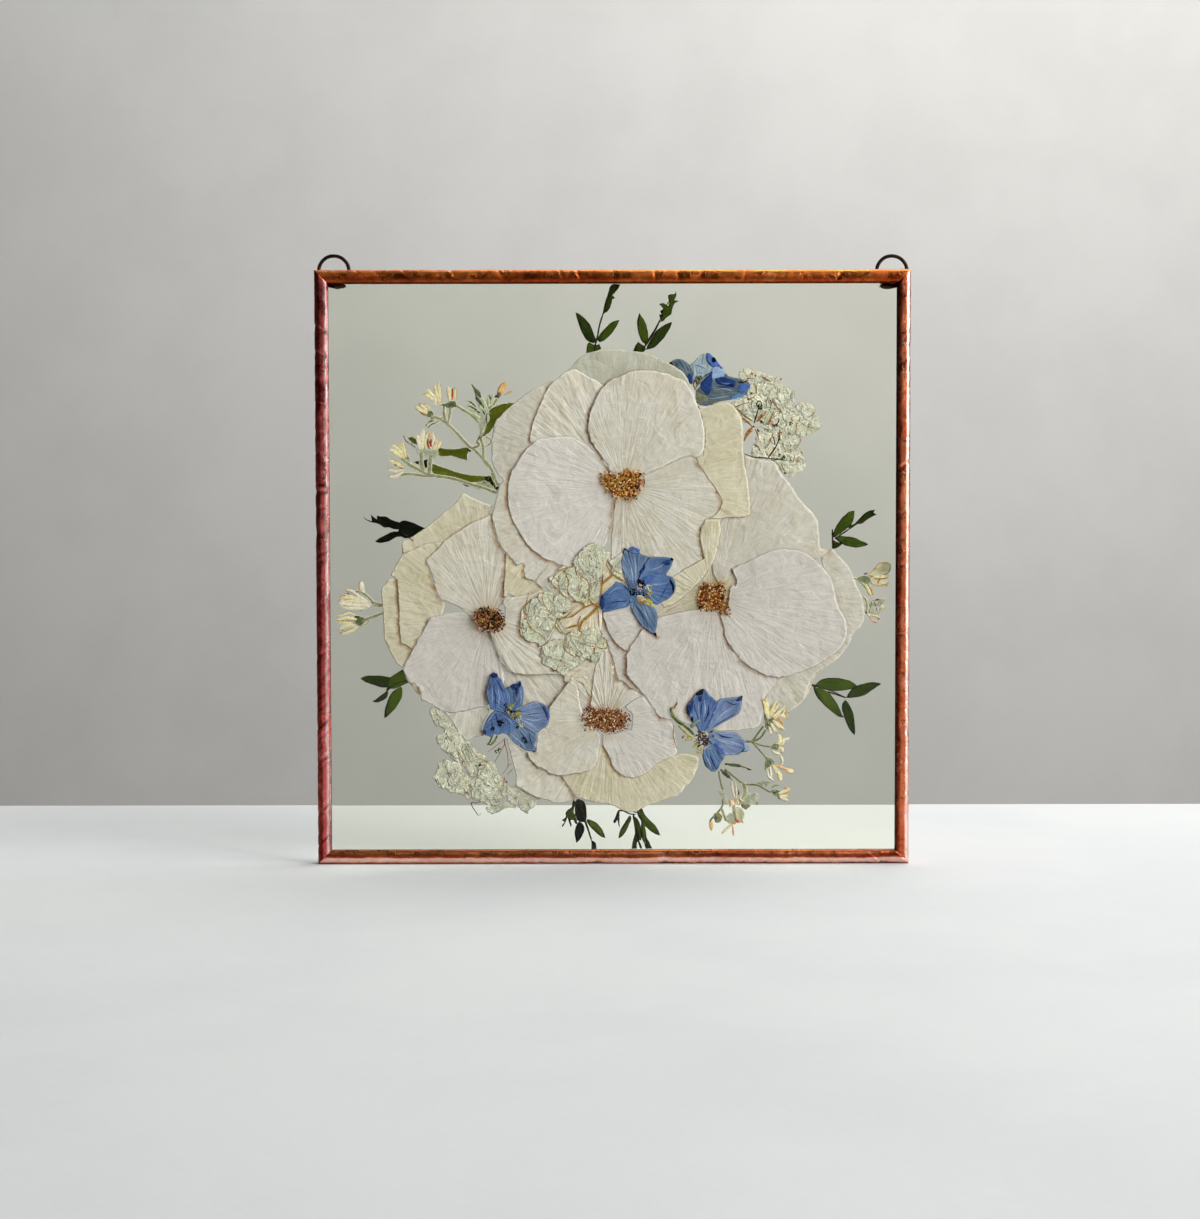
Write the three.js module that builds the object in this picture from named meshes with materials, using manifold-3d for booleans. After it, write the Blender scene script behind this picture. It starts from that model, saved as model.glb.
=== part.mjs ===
// Pressed flower frame: roses, delphiniums, hydrangea and leafy sprigs pressed between two panes of glass.
// The panes are held by four soldered copper rails, and two wire rings are soldered to the back for hanging.
// Units are millimetres. +X is to the right of the front view, +Z is up, and the front pane faces -Y.
// The origin is at the middle of the bottom of the whole frame.
import * as THREE from 'three';
import * as BufferGeometryUtils from 'three/addons/utils/BufferGeometryUtils.js';
import Module from 'manifold-3d';

const wasm = await Module();
wasm.setup();

// ---- driving dimensions ----
const FRAME_W = 254;          // outer width, a ten inch square
const FRAME_H = 254;          // outer height without the rings
const RAIL_FACE = 5.6;        // width of a rail seen from the front
const RAIL_T = 7.6;           // rail thickness, front to back
const RAIL_EDGE_R = 1.5;      // rounding of the rail's outer corners
const GROOVE_DEPTH = 4.7;     // how far the panes reach into a rail
const GROOVE_CLEAR = 0.1;     // play between a pane and the groove's side
const MITRE_GAP = 0.2;        // distance from each rail's end to the corner's diagonal, along the rail
const GLASS_T = 2.0;          // each pane
const GLASS_GAP = 2.4;        // space between the panes, filled by the pressed flowers
const GLASS_EDGE_GAP = 0.4;   // pane edge to groove floor
const LAYER_T = 0.1;          // thickness of one pressed layer
const RING_WIRE = 1.6;        // wire diameter
const RING_R = 6.45;          // ring radius to the middle of the wire
const RING_CENTRES = [[-119.3, 254.4], [119.7, 254.0]];   // x, z
const RING_GAP = 0.1;         // between the wire and the back of the top rail
const RING_STEPS = 24;
const WIRE_SIDES = 8;

// The rings stand behind the rails, so the rails sit a little forward of the origin.
const RING_Y = RAIL_T / 2 + RING_GAP + RING_WIRE / 2;
const MID_Y = -(RING_Y + RING_WIRE / 2 - RAIL_T / 2) / 2;

const COPPER = { color: 0xa8542c, roughness: 0.3, metalness: 1 };
const DARK_WIRE = { color: 0x3a2a24, roughness: 0.45, metalness: 0.9 };
const GLASS = { color: 0xdfe6dc, roughness: 0.03, metalness: 0, transparent: true, opacity: 0.3 };
const PETAL = { color: 0xd6d2c6, roughness: 0.75, metalness: 0 };
const STAMEN = { color: 0x8a5a24, roughness: 0.85, metalness: 0 };
const BLUE = { color: 0x5f7fb4, roughness: 0.7, metalness: 0 };
const GREENWHITE = { color: 0xd0d3b4, roughness: 0.8, metalness: 0 };
const LEAF = { color: 0x2c3d1c, roughness: 0.6, metalness: 0 };
const WOOL = { color: 0x9aa07a, roughness: 0.9, metalness: 0 };

// Outlines as [x, z] in millimetres, front view. The second entry is the layer, 0 nearest the front pane.
const OUTLINES = [
  ['delphinium_centre', 0, BLUE, [
    [4.5, 135.7], [6, 134.2], [7.7, 134.4], [9, 136.7], [10.3, 136.1], [11.6, 133.5], [14.1, 132.3], [17.5, 131.2],
    [21.4, 131.4], [24, 131.6], [25.7, 131.2], [24.8, 128], [23.1, 125.4], [22.7, 123.7], [25.2, 123.3],
    [26.5, 120.7], [26.7, 118.6], [26.1, 115.6], [23.9, 113.1], [20.9, 111.8], [18.4, 110.9], [18.8, 107.1],
    [18.6, 102.8], [18.5, 98.1], [17.5, 99], [14.9, 101.1], [11.5, 103.7], [9.4, 106.7], [7.7, 110.5], [3, 109.9],
    [-0.5, 108.8], [-4.3, 108.2], [-5.6, 109.7], [-6, 112.6], [-4.7, 115.6], [-2.6, 118.6], [0.9, 121.4],
    [3.9, 120.5], [6, 118.6], [5.1, 124.2], [3.7, 129.3], [3.9, 133.1]]],
  ['delphinium_left', 0, BLUE, [
    [-51, 82.7], [-49.3, 81], [-48.5, 78.4], [-46.4, 75.4], [-44.7, 74.6], [-44.2, 76.7], [-42.5, 77.6], [-40.4, 78],
    [-39.7, 78.9], [-39.1, 75.9], [-38.5, 72.4], [-39.6, 69], [-36.6, 69.4], [-33.1, 70.1], [-30.6, 69.9],
    [-28.4, 68.2], [-27.6, 64.7], [-28, 61.3], [-30.2, 59.2], [-33.2, 56.6], [-33.2, 52.7], [-33.2, 48.2],
    [-35.8, 48.9], [-39.2, 49.7], [-42.6, 52.3], [-45.2, 54.9], [-47.3, 55.3], [-51.2, 54.9], [-54.2, 54.9],
    [-55.9, 55.7], [-55.9, 57.9], [-54.6, 61.7], [-52.9, 64.3], [-51.1, 66], [-53.3, 69], [-54.3, 72.9],
    [-54.1, 76.3], [-53.2, 80.2], [-52.3, 82.3]]],
  ['delphinium_right', 0, BLUE, [
    [38.4, 75.2], [35.8, 74.6], [33.7, 71.6], [32, 68.2], [32, 65.6], [33.2, 62.2], [32.8, 59.6], [30.2, 61.3],
    [27.3, 63.9], [26, 66.9], [24.7, 68.2], [24, 66.9], [24.7, 64.7], [26.4, 61.7], [29.4, 58.7], [32.4, 56.2],
    [34.9, 53.6], [36.2, 50.1], [37.9, 48.4], [38.4, 45], [39.6, 42.4], [42.2, 39.8], [44.4, 39.4], [45.2, 41.6],
    [46.5, 44.1], [47.8, 47.1], [51.2, 46.9], [54.7, 47.6], [57.7, 48.4], [58.5, 50.1], [56.8, 52.7], [55.1, 54.9],
    [52.5, 56.4], [48.7, 57], [43.1, 57.2], [45.7, 58.7], [50, 61.7], [54.2, 65.2], [55.1, 67.7], [55.3, 72],
    [53, 71.8], [48.7, 71.6], [45.2, 70.7], [44.4, 69.9], [41.8, 72.9], [39.7, 74.6]]],
  ['hydrangea_centre', 1, GREENWHITE, [
    [-9.3, 137.8], [-6.8, 138.2], [-4.6, 136.9], [-3.4, 133.5], [-3.8, 130.5], [-5.1, 126.3], [-5.5, 122],
    [-5.6, 116.9], [-8.1, 116.9], [-9.4, 112.6], [-11.6, 110.5], [-9, 111.4], [-5.6, 111.8], [-5.6, 109.7],
    [-9, 106.7], [-11.2, 104.1], [-9.9, 102], [-6.5, 101.1], [-3.5, 97.3], [-2.6, 94.3], [-3.5, 92.1], [-5.6, 91.3],
    [-7.4, 87], [-12.1, 87.4], [-15.5, 85.3], [-18.5, 82.7], [-20.2, 81.4], [-22.4, 82.3], [-24.9, 83.6],
    [-27.9, 84.9], [-30.5, 87], [-30.9, 89.6], [-30, 92.6], [-27.9, 94.3], [-32.2, 94.3], [-35.6, 95.6],
    [-38.1, 97.7], [-39.8, 101.5], [-39.4, 105], [-39.8, 107.9], [-38.5, 110.9], [-35.5, 113.5], [-32.1, 116.1],
    [-29.1, 118.2], [-26.9, 119.9], [-26.9, 122.5], [-24.8, 123.7], [-22.6, 126.3], [-20, 128], [-17.5, 127.1],
    [-17, 130.1], [-14.9, 133.5], [-11.9, 135.2]]],
  ['rose_top_stamens', 0, STAMEN, [
    [-6.2, 166.3], [-4.1, 167.5], [-0.3, 167.1], [2.3, 165.9], [4, 167.1], [6.1, 168.4], [8.7, 168.8], [10.8, 167.5],
    [12.9, 166.3], [13.8, 163.3], [13.4, 160.3], [11.6, 158.6], [10.8, 156.5], [7.4, 155.7], [3.5, 156.5],
    [0.1, 156.5], [-2.9, 158.6], [-5.4, 161.6], [-6.7, 164.2]]],
  ['rose_left_stamens', 0, STAMEN, [
    [-59.9, 108.4], [-58.6, 109.7], [-56, 110.5], [-53.4, 110.9], [-50.5, 110.1], [-48.3, 109.2], [-47.1, 107.1],
    [-45.8, 105], [-46.2, 102.8], [-48.4, 100.7], [-50.9, 99.8], [-53.9, 99.8], [-56.5, 100.3], [-58.2, 102.4],
    [-60.3, 105], [-60.7, 107.1]]],
  ['rose_right_stamens', 0, STAMEN, [
    [36.3, 119], [37.6, 120.7], [41.5, 120.7], [44.9, 120.3], [47.4, 121.2], [49.6, 118.6], [49.6, 115.2],
    [50.4, 112.2], [49.6, 109.7], [50.4, 107.5], [47.4, 106.7], [44.4, 106.7], [42.3, 107.9], [38.9, 108.4],
    [35.9, 109.2], [35.5, 112.6], [36.3, 115.6]]],
  ['rose_bottom_stamens', 0, STAMEN, [
    [-13, 65.6], [-11.7, 67.3], [-8.3, 68.2], [-5.3, 67.3], [-2.3, 66.4], [0.3, 67.3], [2.8, 66.4], [5, 64.7],
    [7.5, 63], [8, 61.3], [5.8, 59.2], [3.7, 57], [-0.2, 55.3], [-4.5, 56.6], [-7.5, 57], [-10.5, 57.9], [-13, 58.7],
    [-12.6, 62.2]]],
  ['rose_top_petal_upper', 1, PETAL, [
    [-2.7, 205.7], [-5.7, 202.3], [-8.3, 197.2], [-10, 192.6], [-10.6, 188.3], [-10.2, 184.1], [-8.3, 179.4],
    [-5.4, 175.6], [-2.4, 171.8], [0.6, 168.4], [3.1, 166.3], [7.4, 165], [11.7, 165.9], [13.8, 167.5], [18.9, 169],
    [24.9, 171.4], [29.6, 173.5], [33, 174.8], [34.7, 179], [34.7, 185.8], [33, 192.1], [30.5, 197.6], [28.3, 202.3],
    [28.8, 207.8], [25, 209.9], [20.7, 211.6], [13.5, 212], [7.9, 210.8], [4.1, 209.1], [-0.1, 207.8]]],
  ['rose_right_petal_top_left', 1, PETAL, [
    [39.3, 147.8], [46.2, 147.9], [46.6, 143.3], [45.3, 135.7], [43.2, 129.7], [39.7, 124.6], [35.9, 119.5],
    [32.9, 115.6], [35.5, 110.9], [29.9, 110.5], [23.5, 108.4], [17.9, 105], [15.8, 107.1], [16.6, 110.9],
    [20.9, 113.5], [24.4, 117.8], [26.5, 122.9], [32.9, 126.1], [39.3, 129.5], [40.3, 133.1], [38.7, 136.5],
    [37.8, 140.8], [38.3, 144.6]]],
  ['rose_right_petal_right', 1, PETAL, [
    [50.9, 126.7], [56.4, 128.8], [61.5, 131], [66.2, 133.1], [69.6, 134.6], [75.6, 134.8], [80.7, 134.4],
    [85.4, 132.3], [88.9, 129.7], [91.9, 125.9], [94, 121.2], [95.3, 115.2], [96.1, 111.8], [95.3, 105.8],
    [94.5, 100.7], [92.3, 94.3], [88.9, 89.6], [85.1, 85.7], [81.2, 83.1], [77.8, 81.4], [72.7, 80.4], [67.1, 80.6],
    [62.8, 81.9], [58.5, 84.6], [55.1, 87.4], [52.1, 91.3], [49.1, 94.7], [47.6, 98.1], [47, 101.5], [45.7, 106.2],
    [46.6, 110.9], [48.3, 114.3], [49.6, 117.8], [52.1, 119], [53, 122], [51.7, 124.2]]],
  ['rose_bottom_petal_left', 1, PETAL, [
    [-17.2, 81], [-22, 75], [-26.7, 68.6], [-30.2, 58.7], [-34.1, 51.9], [-36.7, 48.4], [-35.4, 45.8], [-31.1, 41.6],
    [-26.4, 38.5], [-22.6, 37.9], [-16.5, 39], [-10.1, 40.3], [-5.8, 45], [-4.9, 55.7], [-5.7, 64.3], [-7.4, 75],
    [-9.1, 77.6], [-14.2, 81]]],
  ['rose_top_petal_far_right', 2, PETAL, [
    [37.3, 196.6], [41.5, 196.6], [46.6, 196.8], [51.3, 196.4], [53.5, 193.4], [55.2, 189.6], [55.6, 183.7],
    [56, 176.5], [56.8, 170.1], [57.9, 164.6], [58.8, 158.2], [59, 152.7], [58.5, 149.1], [51.3, 148.4], [44, 148.1],
    [42.3, 151], [46.6, 156.9], [43.2, 161.6], [39.8, 167.1], [36.4, 172.6], [39, 176], [40.2, 181.5], [39.6, 186.6]]],
  ['rose_right_petal_bottom', 2, PETAL, [
    [35.9, 111.1], [29.9, 110.9], [24.3, 109.2], [21.8, 107.5], [16.6, 104.5], [12.8, 101.1], [9.8, 97.3], [6.8, 93],
    [5.7, 89.6], [5.5, 84.4], [5.7, 81.4], [8.4, 78.4], [11.9, 74.6], [14.4, 70.7], [17, 66.9], [19.5, 63.9],
    [23.4, 62.2], [32.8, 59.6], [45.7, 57.4], [56.4, 57.4], [61.9, 58.1], [63.2, 62.2], [64.1, 67.3], [65.4, 72],
    [67.1, 77.2], [73.5, 79.7], [73.5, 82.7], [67.1, 84.4], [60.7, 87.9], [55.1, 92.1], [52.1, 96.4], [49.1, 102.8],
    [46.6, 108.4], [40.6, 110.5]]],
  ['rose_top_petal_right', 3, PETAL, [
    [13.8, 167.1], [18.9, 169.2], [24.9, 171.6], [29.6, 173.7], [33, 175], [36, 173.5], [39.8, 168.4], [44.1, 162],
    [46.6, 157.4], [46.2, 153.5], [44, 150.1], [39.8, 148], [37.6, 144.6], [37.2, 140.8], [38.1, 136.5],
    [39.8, 133.1], [38.9, 130.1], [32.9, 126.7], [26.9, 123.3], [20.1, 124.2], [13.7, 126.3], [5.2, 128],
    [-0.8, 130.1], [-1.2, 135.7], [-0.8, 141.6], [0.1, 148.4], [1.4, 156.1], [5.2, 157.8], [11.6, 160.3]]],
  ['rose_bottom_petal_right', 3, PETAL, [
    [3.3, 66.9], [8, 70.7], [12.7, 74.2], [17.8, 67.3], [23.4, 63], [27.7, 57.9], [27.7, 48.4], [24.6, 45.8],
    [20.4, 44.6], [17.8, 42.4], [15.6, 38.5], [13, 36.8], [7, 36.8], [1.9, 39.4], [-1.1, 44.1], [-3.2, 48.4],
    [-4.7, 51], [-4.9, 57.9], [-1.5, 64.3]]],
  ['rose_right_petal_left_front', 3, PETAL, [
    [-5.6, 110.9], [5.1, 112.2], [13.7, 110.9], [18.8, 108.4], [22.6, 106.7], [17.5, 103.7], [13.6, 100.3],
    [9.8, 97.3], [6.1, 91.3], [2.9, 93.4], [-0.1, 96.4], [-2.6, 100.7], [-3.9, 104.1], [-5.2, 107.1]]],
  ['rose_top_petal_lower_left', 4, PETAL, [
    [-31.7, 182], [-35.2, 179.9], [-38.2, 176], [-41.2, 171.4], [-43.3, 167.5], [-44.6, 163.7], [-45.1, 160.3],
    [-44.7, 156.1], [-43.8, 151.8], [-42.6, 147.2], [-40.5, 143.3], [-37.9, 139.5], [-34.9, 135.9], [-31.1, 132.7],
    [-26.9, 130.5], [-22.6, 128.8], [-17.5, 127.6], [-13.2, 129.7], [-5.5, 134], [-1.6, 138.6], [0.1, 145.4],
    [1.8, 154], [2.7, 156.5], [1.4, 161.2], [2.3, 165.4], [-2, 170.1], [-5.4, 174.8], [-8.8, 178.2], [-12.6, 181.1],
    [-16.4, 182.8], [-20.2, 183.2], [-26.2, 182.8]]],
  ['rose_left_petal_right', 2, PETAL, [
    [-47, 113.9], [-45.3, 116.1], [-43.6, 118.2], [-40.6, 119], [-35.5, 118.6], [-31.2, 116.9], [-22.7, 113.5],
    [-16.3, 109.2], [-20.6, 96.4], [-26.2, 81], [-33.5, 81.2], [-39.9, 81.7], [-43.3, 83.1], [-46.3, 86.6],
    [-49.3, 91.7], [-51.4, 96], [-52.9, 100.3], [-49.7, 101.5], [-46.6, 105.8], [-47, 110.1]]],
  ['rose_right_petal_left_back', 4, PETAL, [
    [-6.4, 109.2], [-5.2, 108.4], [-0.5, 102.8], [6.4, 96.4], [11.5, 96.4], [15.7, 87.9], [16.6, 75], [15.7, 69.9],
    [11.9, 73.5], [6.7, 76.3], [1.6, 79.7], [0.3, 84.4], [-0.9, 89.6], [-2.6, 95.1], [-3.9, 99], [-5.6, 102.4]]],
  ['rose_right_petal_top', 4, PETAL, [
    [55.6, 176.5], [58.6, 174.8], [62, 173.9], [66.2, 173.5], [68.8, 172.6], [70.5, 169.7], [73, 166.3],
    [76.5, 162.5], [79.9, 157.8], [83.3, 154], [87.1, 150.6], [91, 145.9], [93.5, 142], [94, 135.2], [91, 132.3],
    [79.9, 132.3], [69.2, 132.3], [62.8, 130.5], [56.4, 127.1], [53.4, 122], [50, 116.9], [43.6, 115.6],
    [37.2, 115.6], [32.9, 116.9], [37.2, 124.2], [39.3, 134.8], [39.8, 145.4], [43.6, 154], [52.2, 164.6]]],
  ['rose_bottom_petal_bottom', 4, PETAL, [
    [-22.6, 37.7], [-16.5, 41.6], [-5.8, 47.1], [1.9, 41.6], [15.6, 42.8], [25.1, 49.3], [32.8, 52.3], [37.9, 49.3],
    [37.9, 46.3], [36.2, 38.5], [34.1, 35.1], [30.2, 32.1], [28.9, 29.1], [23.3, 27.8], [17.7, 26.1], [13.4, 23.5],
    [9.1, 22.2], [3.6, 23.1], [-0.7, 24.8], [-5.9, 26.1], [-11.9, 26.9], [-15.7, 28.2], [-19.6, 33]]],
  ['rose_top_petal_pleated', 5, PETAL, [
    [-24.8, 207], [-26.5, 205.3], [-28.7, 201.5], [-31.7, 195.1], [-33.4, 190.9], [-34.7, 186.6], [-35.6, 182.8],
    [-36, 179], [-30.9, 178.2], [-22.4, 178.2], [-9.6, 176.5], [-6.2, 179.4], [-7.9, 187.9], [-7, 196.4],
    [-4.4, 202.3], [-2.3, 205.3], [-8.7, 207.4], [-12.9, 209.9], [-15.9, 212], [-19.7, 210.8]]],
  ['rose_top_petal_low_left', 5, PETAL, [
    [-47.2, 164.6], [-48.9, 160.8], [-49.8, 156.5], [-51.1, 151.8], [-51.7, 148.4], [-50.7, 144.2], [-49.4, 139.5],
    [-46.5, 135.2], [-43.5, 131.8], [-41, 128.8], [-36.7, 124.6], [-32.5, 120.3], [-29.5, 118.6], [-26, 122],
    [-21.8, 125.4], [-16.6, 127.1], [-26.8, 134.8], [-35.3, 145.4], [-39.5, 156.1], [-43.8, 161.2]]],
  ['rose_right_petal_outer', 5, PETAL, [
    [69.6, 135], [79.9, 134.6], [87.6, 135.2], [94, 134.4], [97.8, 131], [101.2, 127.1], [103.8, 123.3],
    [106, 118.6], [107.7, 113.5], [108.1, 109.2], [107.7, 105.8], [106.4, 102], [103.9, 99.8], [102.4, 97.3],
    [101.3, 93.8], [99.2, 91.3], [97.5, 88.7], [92.8, 90], [87.6, 87], [85.1, 96.4], [79.9, 113.5], [75.6, 126.3]]],
  ['rose_right_petal_low', 6, PETAL, [
    [61.1, 82.7], [73.5, 81.9], [79.9, 83.6], [86.3, 87.9], [92.8, 92.1], [97.5, 89.1], [97, 87.9], [93.2, 86.1],
    [89.3, 83.1], [86.4, 79.3], [84.6, 75], [82.5, 70.7], [79.1, 67.3], [74.8, 64.7], [69.7, 63.9], [65.4, 65.6],
    [62.8, 70.7], [61.5, 77.2]]],
  ['rose_bottom_petal_top', 5, PETAL, [
    [-17.2, 83.6], [-12.1, 86.1], [-5.6, 91.3], [-2.6, 94.3], [-0.1, 87.9], [2.9, 81.4], [8, 77.6], [14.8, 72.9],
    [11.4, 72], [7.1, 69.4], [3.7, 66], [-5.7, 64.7], [-9.1, 68.6], [-11.7, 75], [-16, 79.3]]],
  ['rose_bottom_petal_low_left', 5, PETAL, [
    [-46.9, 54.4], [-40.1, 51.4], [-34.1, 51], [-31.5, 47.1], [-26.4, 42.8], [-20.4, 39.8], [-17.8, 34.2],
    [-14.9, 28.2], [-17.9, 26.9], [-23, 26.1], [-28.2, 26.9], [-32.5, 29.1], [-38, 32.1], [-42.3, 33.8],
    [-41.4, 37.3], [-42.7, 43.3], [-44.4, 48.4]]],
  ['rose_top_petal_back', 6, PETAL, [
    [-24, 207.4], [-21, 209.9], [-17.6, 212.9], [-14.2, 216.3], [-10.3, 218.4], [-5.2, 220.1], [-0.1, 220.5],
    [5.4, 220.1], [10.5, 219.2], [16, 217.9], [21.1, 215.8], [25.4, 213.7], [28.8, 211.2], [31.8, 208.2],
    [33.9, 204.4], [35.2, 200.6], [36.4, 196.8], [37.7, 191.7], [39.4, 186.6], [39.8, 181.5], [38.5, 175.2],
    [33, 174.3], [24.5, 181.5], [11.7, 198.5], [-5.3, 198.5], [-18, 204.8]]],
  ['rose_top_petal_left', 6, PETAL, [
    [-24.8, 207], [-29.5, 205.3], [-34.6, 202.7], [-39.3, 199.8], [-43.2, 196.4], [-47, 193], [-49.8, 189.6],
    [-50.9, 185.8], [-51.3, 181.5], [-51.8, 177.3], [-51.4, 173.1], [-50.1, 169.2], [-47.6, 165.9], [-45.9, 162.5],
    [-44.6, 159.5], [-41.2, 160.3], [-31, 168.8], [-28.7, 185.8], [-27.4, 198.5]]],
  ['rose_left_petal_top', 6, PETAL, [
    [-72.5, 138.6], [-69.1, 141], [-65.2, 143.7], [-62.2, 146.5], [-59.6, 146.7], [-52.4, 145.9], [-50.7, 142.5],
    [-49.4, 138.6], [-46.9, 134.4], [-46.1, 130.5], [-46.1, 124.2], [-46.6, 117.8], [-47, 113.5], [-47, 110.9],
    [-48.3, 108.4], [-52.6, 109.2], [-56.9, 108.4], [-59.5, 106.4], [-63.7, 107.9], [-67.6, 110.3], [-71.4, 112.6],
    [-74.8, 114.3], [-76.5, 118.6], [-77.7, 123.7], [-79.4, 128], [-80.2, 130.3], [-77.7, 133.5], [-75.1, 136.1]]],
  ['rose_left_petal_lower', 7, PETAL, [
    [-59.5, 106.2], [-63.3, 107.3], [-67.6, 107.9], [-71.9, 107.1], [-77.8, 105.8], [-79.6, 103.7], [-81.7, 99.8],
    [-83, 97.7], [-85.2, 93.8], [-87.8, 88.7], [-90.4, 84], [-89.6, 81], [-88.3, 78.9], [-85.3, 77.2], [-83.2, 74.6],
    [-82.4, 70.7], [-78.5, 69], [-75.5, 67.1], [-72.6, 65.6], [-69.6, 64.9], [-64.4, 66], [-59.3, 66.9],
    [-54.1, 68.2], [-49.8, 69.9], [-45.9, 75], [-44.2, 81], [-41.6, 82.7], [-45.9, 89.1], [-49.3, 94.7],
    [-50.9, 99.8], [-54.8, 102.4]]],
  ['rose_left_petal_left', 8, PETAL, [
    [-90.5, 132.3], [-86.6, 134.4], [-82.3, 136.5], [-78.1, 137.8], [-72.5, 138.6], [-71.2, 135.7], [-73.8, 130.5],
    [-73.9, 124.2], [-71.8, 117.8], [-67.5, 111.4], [-61.2, 107.1], [-63.3, 105], [-69.7, 103.2], [-76.2, 99.8],
    [-81.8, 94.3], [-86.9, 92.6], [-91.2, 94.9], [-91.6, 100.7], [-92.1, 109.2], [-92.7, 114.8], [-93.8, 119.9],
    [-94.4, 122.9], [-95.7, 123.9], [-93.9, 127.1], [-92.6, 129.7]]],
  ['rose_left_petal_back_top', 9, PETAL, [
    [-63.8, 159.5], [-60.9, 158.2], [-56.6, 156.5], [-50.6, 154], [-49.4, 150.1], [-49, 143.3], [-47.3, 136.9],
    [-44.8, 134], [-52.5, 130.5], [-65.3, 130.5], [-73.8, 132.3], [-82.4, 130.5], [-90, 132.3], [-90.5, 134.4],
    [-90.4, 137.8], [-85.7, 140.3], [-80.6, 144.2], [-76.7, 146.7], [-73.3, 149.7], [-69.4, 152.7], [-66.4, 155.7]]],
  ['rose_left_petal_outer', 9, PETAL, [
    [-94.8, 122.5], [-97, 120.7], [-99.1, 117.3], [-99.4, 114.8], [-98.8, 109.2], [-98.4, 104.1], [-98.2, 99.4],
    [-97.6, 96], [-96.3, 92.6], [-94.6, 89.1], [-92.5, 86.1], [-90.4, 84], [-87.8, 87], [-82.6, 95.6], [-87.7, 105],
    [-90.2, 117.8], [-92.7, 122]]],
  ['rose_left_petal_bottom', 8, PETAL, [
    [-74.3, 66], [-71.7, 63], [-70, 60.4], [-67.9, 57.9], [-66.2, 55.7], [-62.8, 53.1], [-60.6, 53.6], [-58.1, 54.4],
    [-54.2, 55.1], [-48.6, 60], [-48.6, 66.4], [-55, 69.4], [-63.5, 68.6], [-70, 67.3]]],
  ['delphinium_upper_right', 7, BLUE, [
    [24.1, 214.8], [25.8, 215.8], [27.9, 216], [30.1, 215.6], [32.2, 213.7], [34.3, 216.3], [36.9, 217.5],
    [39.4, 218.8], [41.1, 218.6], [42.8, 217.5], [44.5, 215.8], [45.8, 213.7], [47.1, 211.2], [48.4, 209.5],
    [51.3, 209.1], [54.7, 208.2], [57.7, 207.4], [58.6, 205.3], [58.1, 202.7], [56, 200.6], [52.6, 199.1],
    [49.2, 198.5], [43.7, 197.2], [39, 196.8], [36, 196.8], [34.3, 199.8], [32.6, 203.6], [30.5, 207], [27.1, 211.2]]],
  ['hydrangea_upper_right', 8, GREENWHITE, [
    [53.9, 208.6], [54.7, 211.2], [57.7, 212], [60.7, 211.2], [64.9, 209.9], [69.6, 208.2], [71.8, 207], [72.6, 204],
    [75.6, 203.6], [77.7, 202.3], [77.3, 198.5], [76.4, 194.7], [79.4, 197.2], [81.1, 198.1], [84.1, 197.6],
    [86.7, 194.7], [87.9, 190.9], [88.4, 186.6], [85.4, 184.5], [81.6, 183.2], [79.4, 182.4], [79.4, 179],
    [81.1, 175.2], [82.4, 171.8], [81.6, 168.8], [78.6, 167.1], [76, 165.9], [73, 167.5], [70.5, 171.4],
    [66.2, 173.9], [61.5, 174.3], [56.4, 175.6], [56, 177.3], [58.6, 178.6], [57.3, 181.5], [56, 181.5],
    [57.7, 187.9], [55.2, 190], [52.2, 194.7], [50.5, 197.6], [53.5, 198.9], [56, 201], [56.9, 205.3], [55.2, 207]]],
  ['hydrangea_lower_left', 9, GREENWHITE, [
    [-77.7, 66.9], [-74.3, 66], [-70, 60.4], [-66.2, 55.3], [-62.8, 53.1], [-60.6, 51.9], [-58.1, 48.9],
    [-55.1, 47.1], [-53.8, 44.6], [-51.3, 43.3], [-49.1, 39.8], [-47, 36.8], [-43.6, 33.8], [-40.2, 32.5],
    [-35.9, 31.2], [-31.6, 29.1], [-28.2, 27.4], [-29.5, 26.1], [-32.5, 25.2], [-34.6, 23.1], [-36.8, 21.3],
    [-40.2, 23.1], [-43.6, 23.9], [-46.7, 23.1], [-49.7, 21.3], [-53.1, 20.9], [-55.7, 22.2], [-57.4, 25.6],
    [-60.8, 26.5], [-62.5, 28.2], [-66.8, 29.5], [-70.2, 30.8], [-74.1, 32.5], [-76.2, 35.5], [-75.7, 39],
    [-75.7, 42.4], [-73.5, 44.6], [-70.1, 45.4], [-69.7, 47.1], [-72.7, 49.3], [-74.4, 52.3], [-76.1, 54.4],
    [-74.3, 56.6], [-72.2, 57.9], [-75.2, 60], [-77.7, 61.7], [-78.6, 64.7]]],
];

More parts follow.
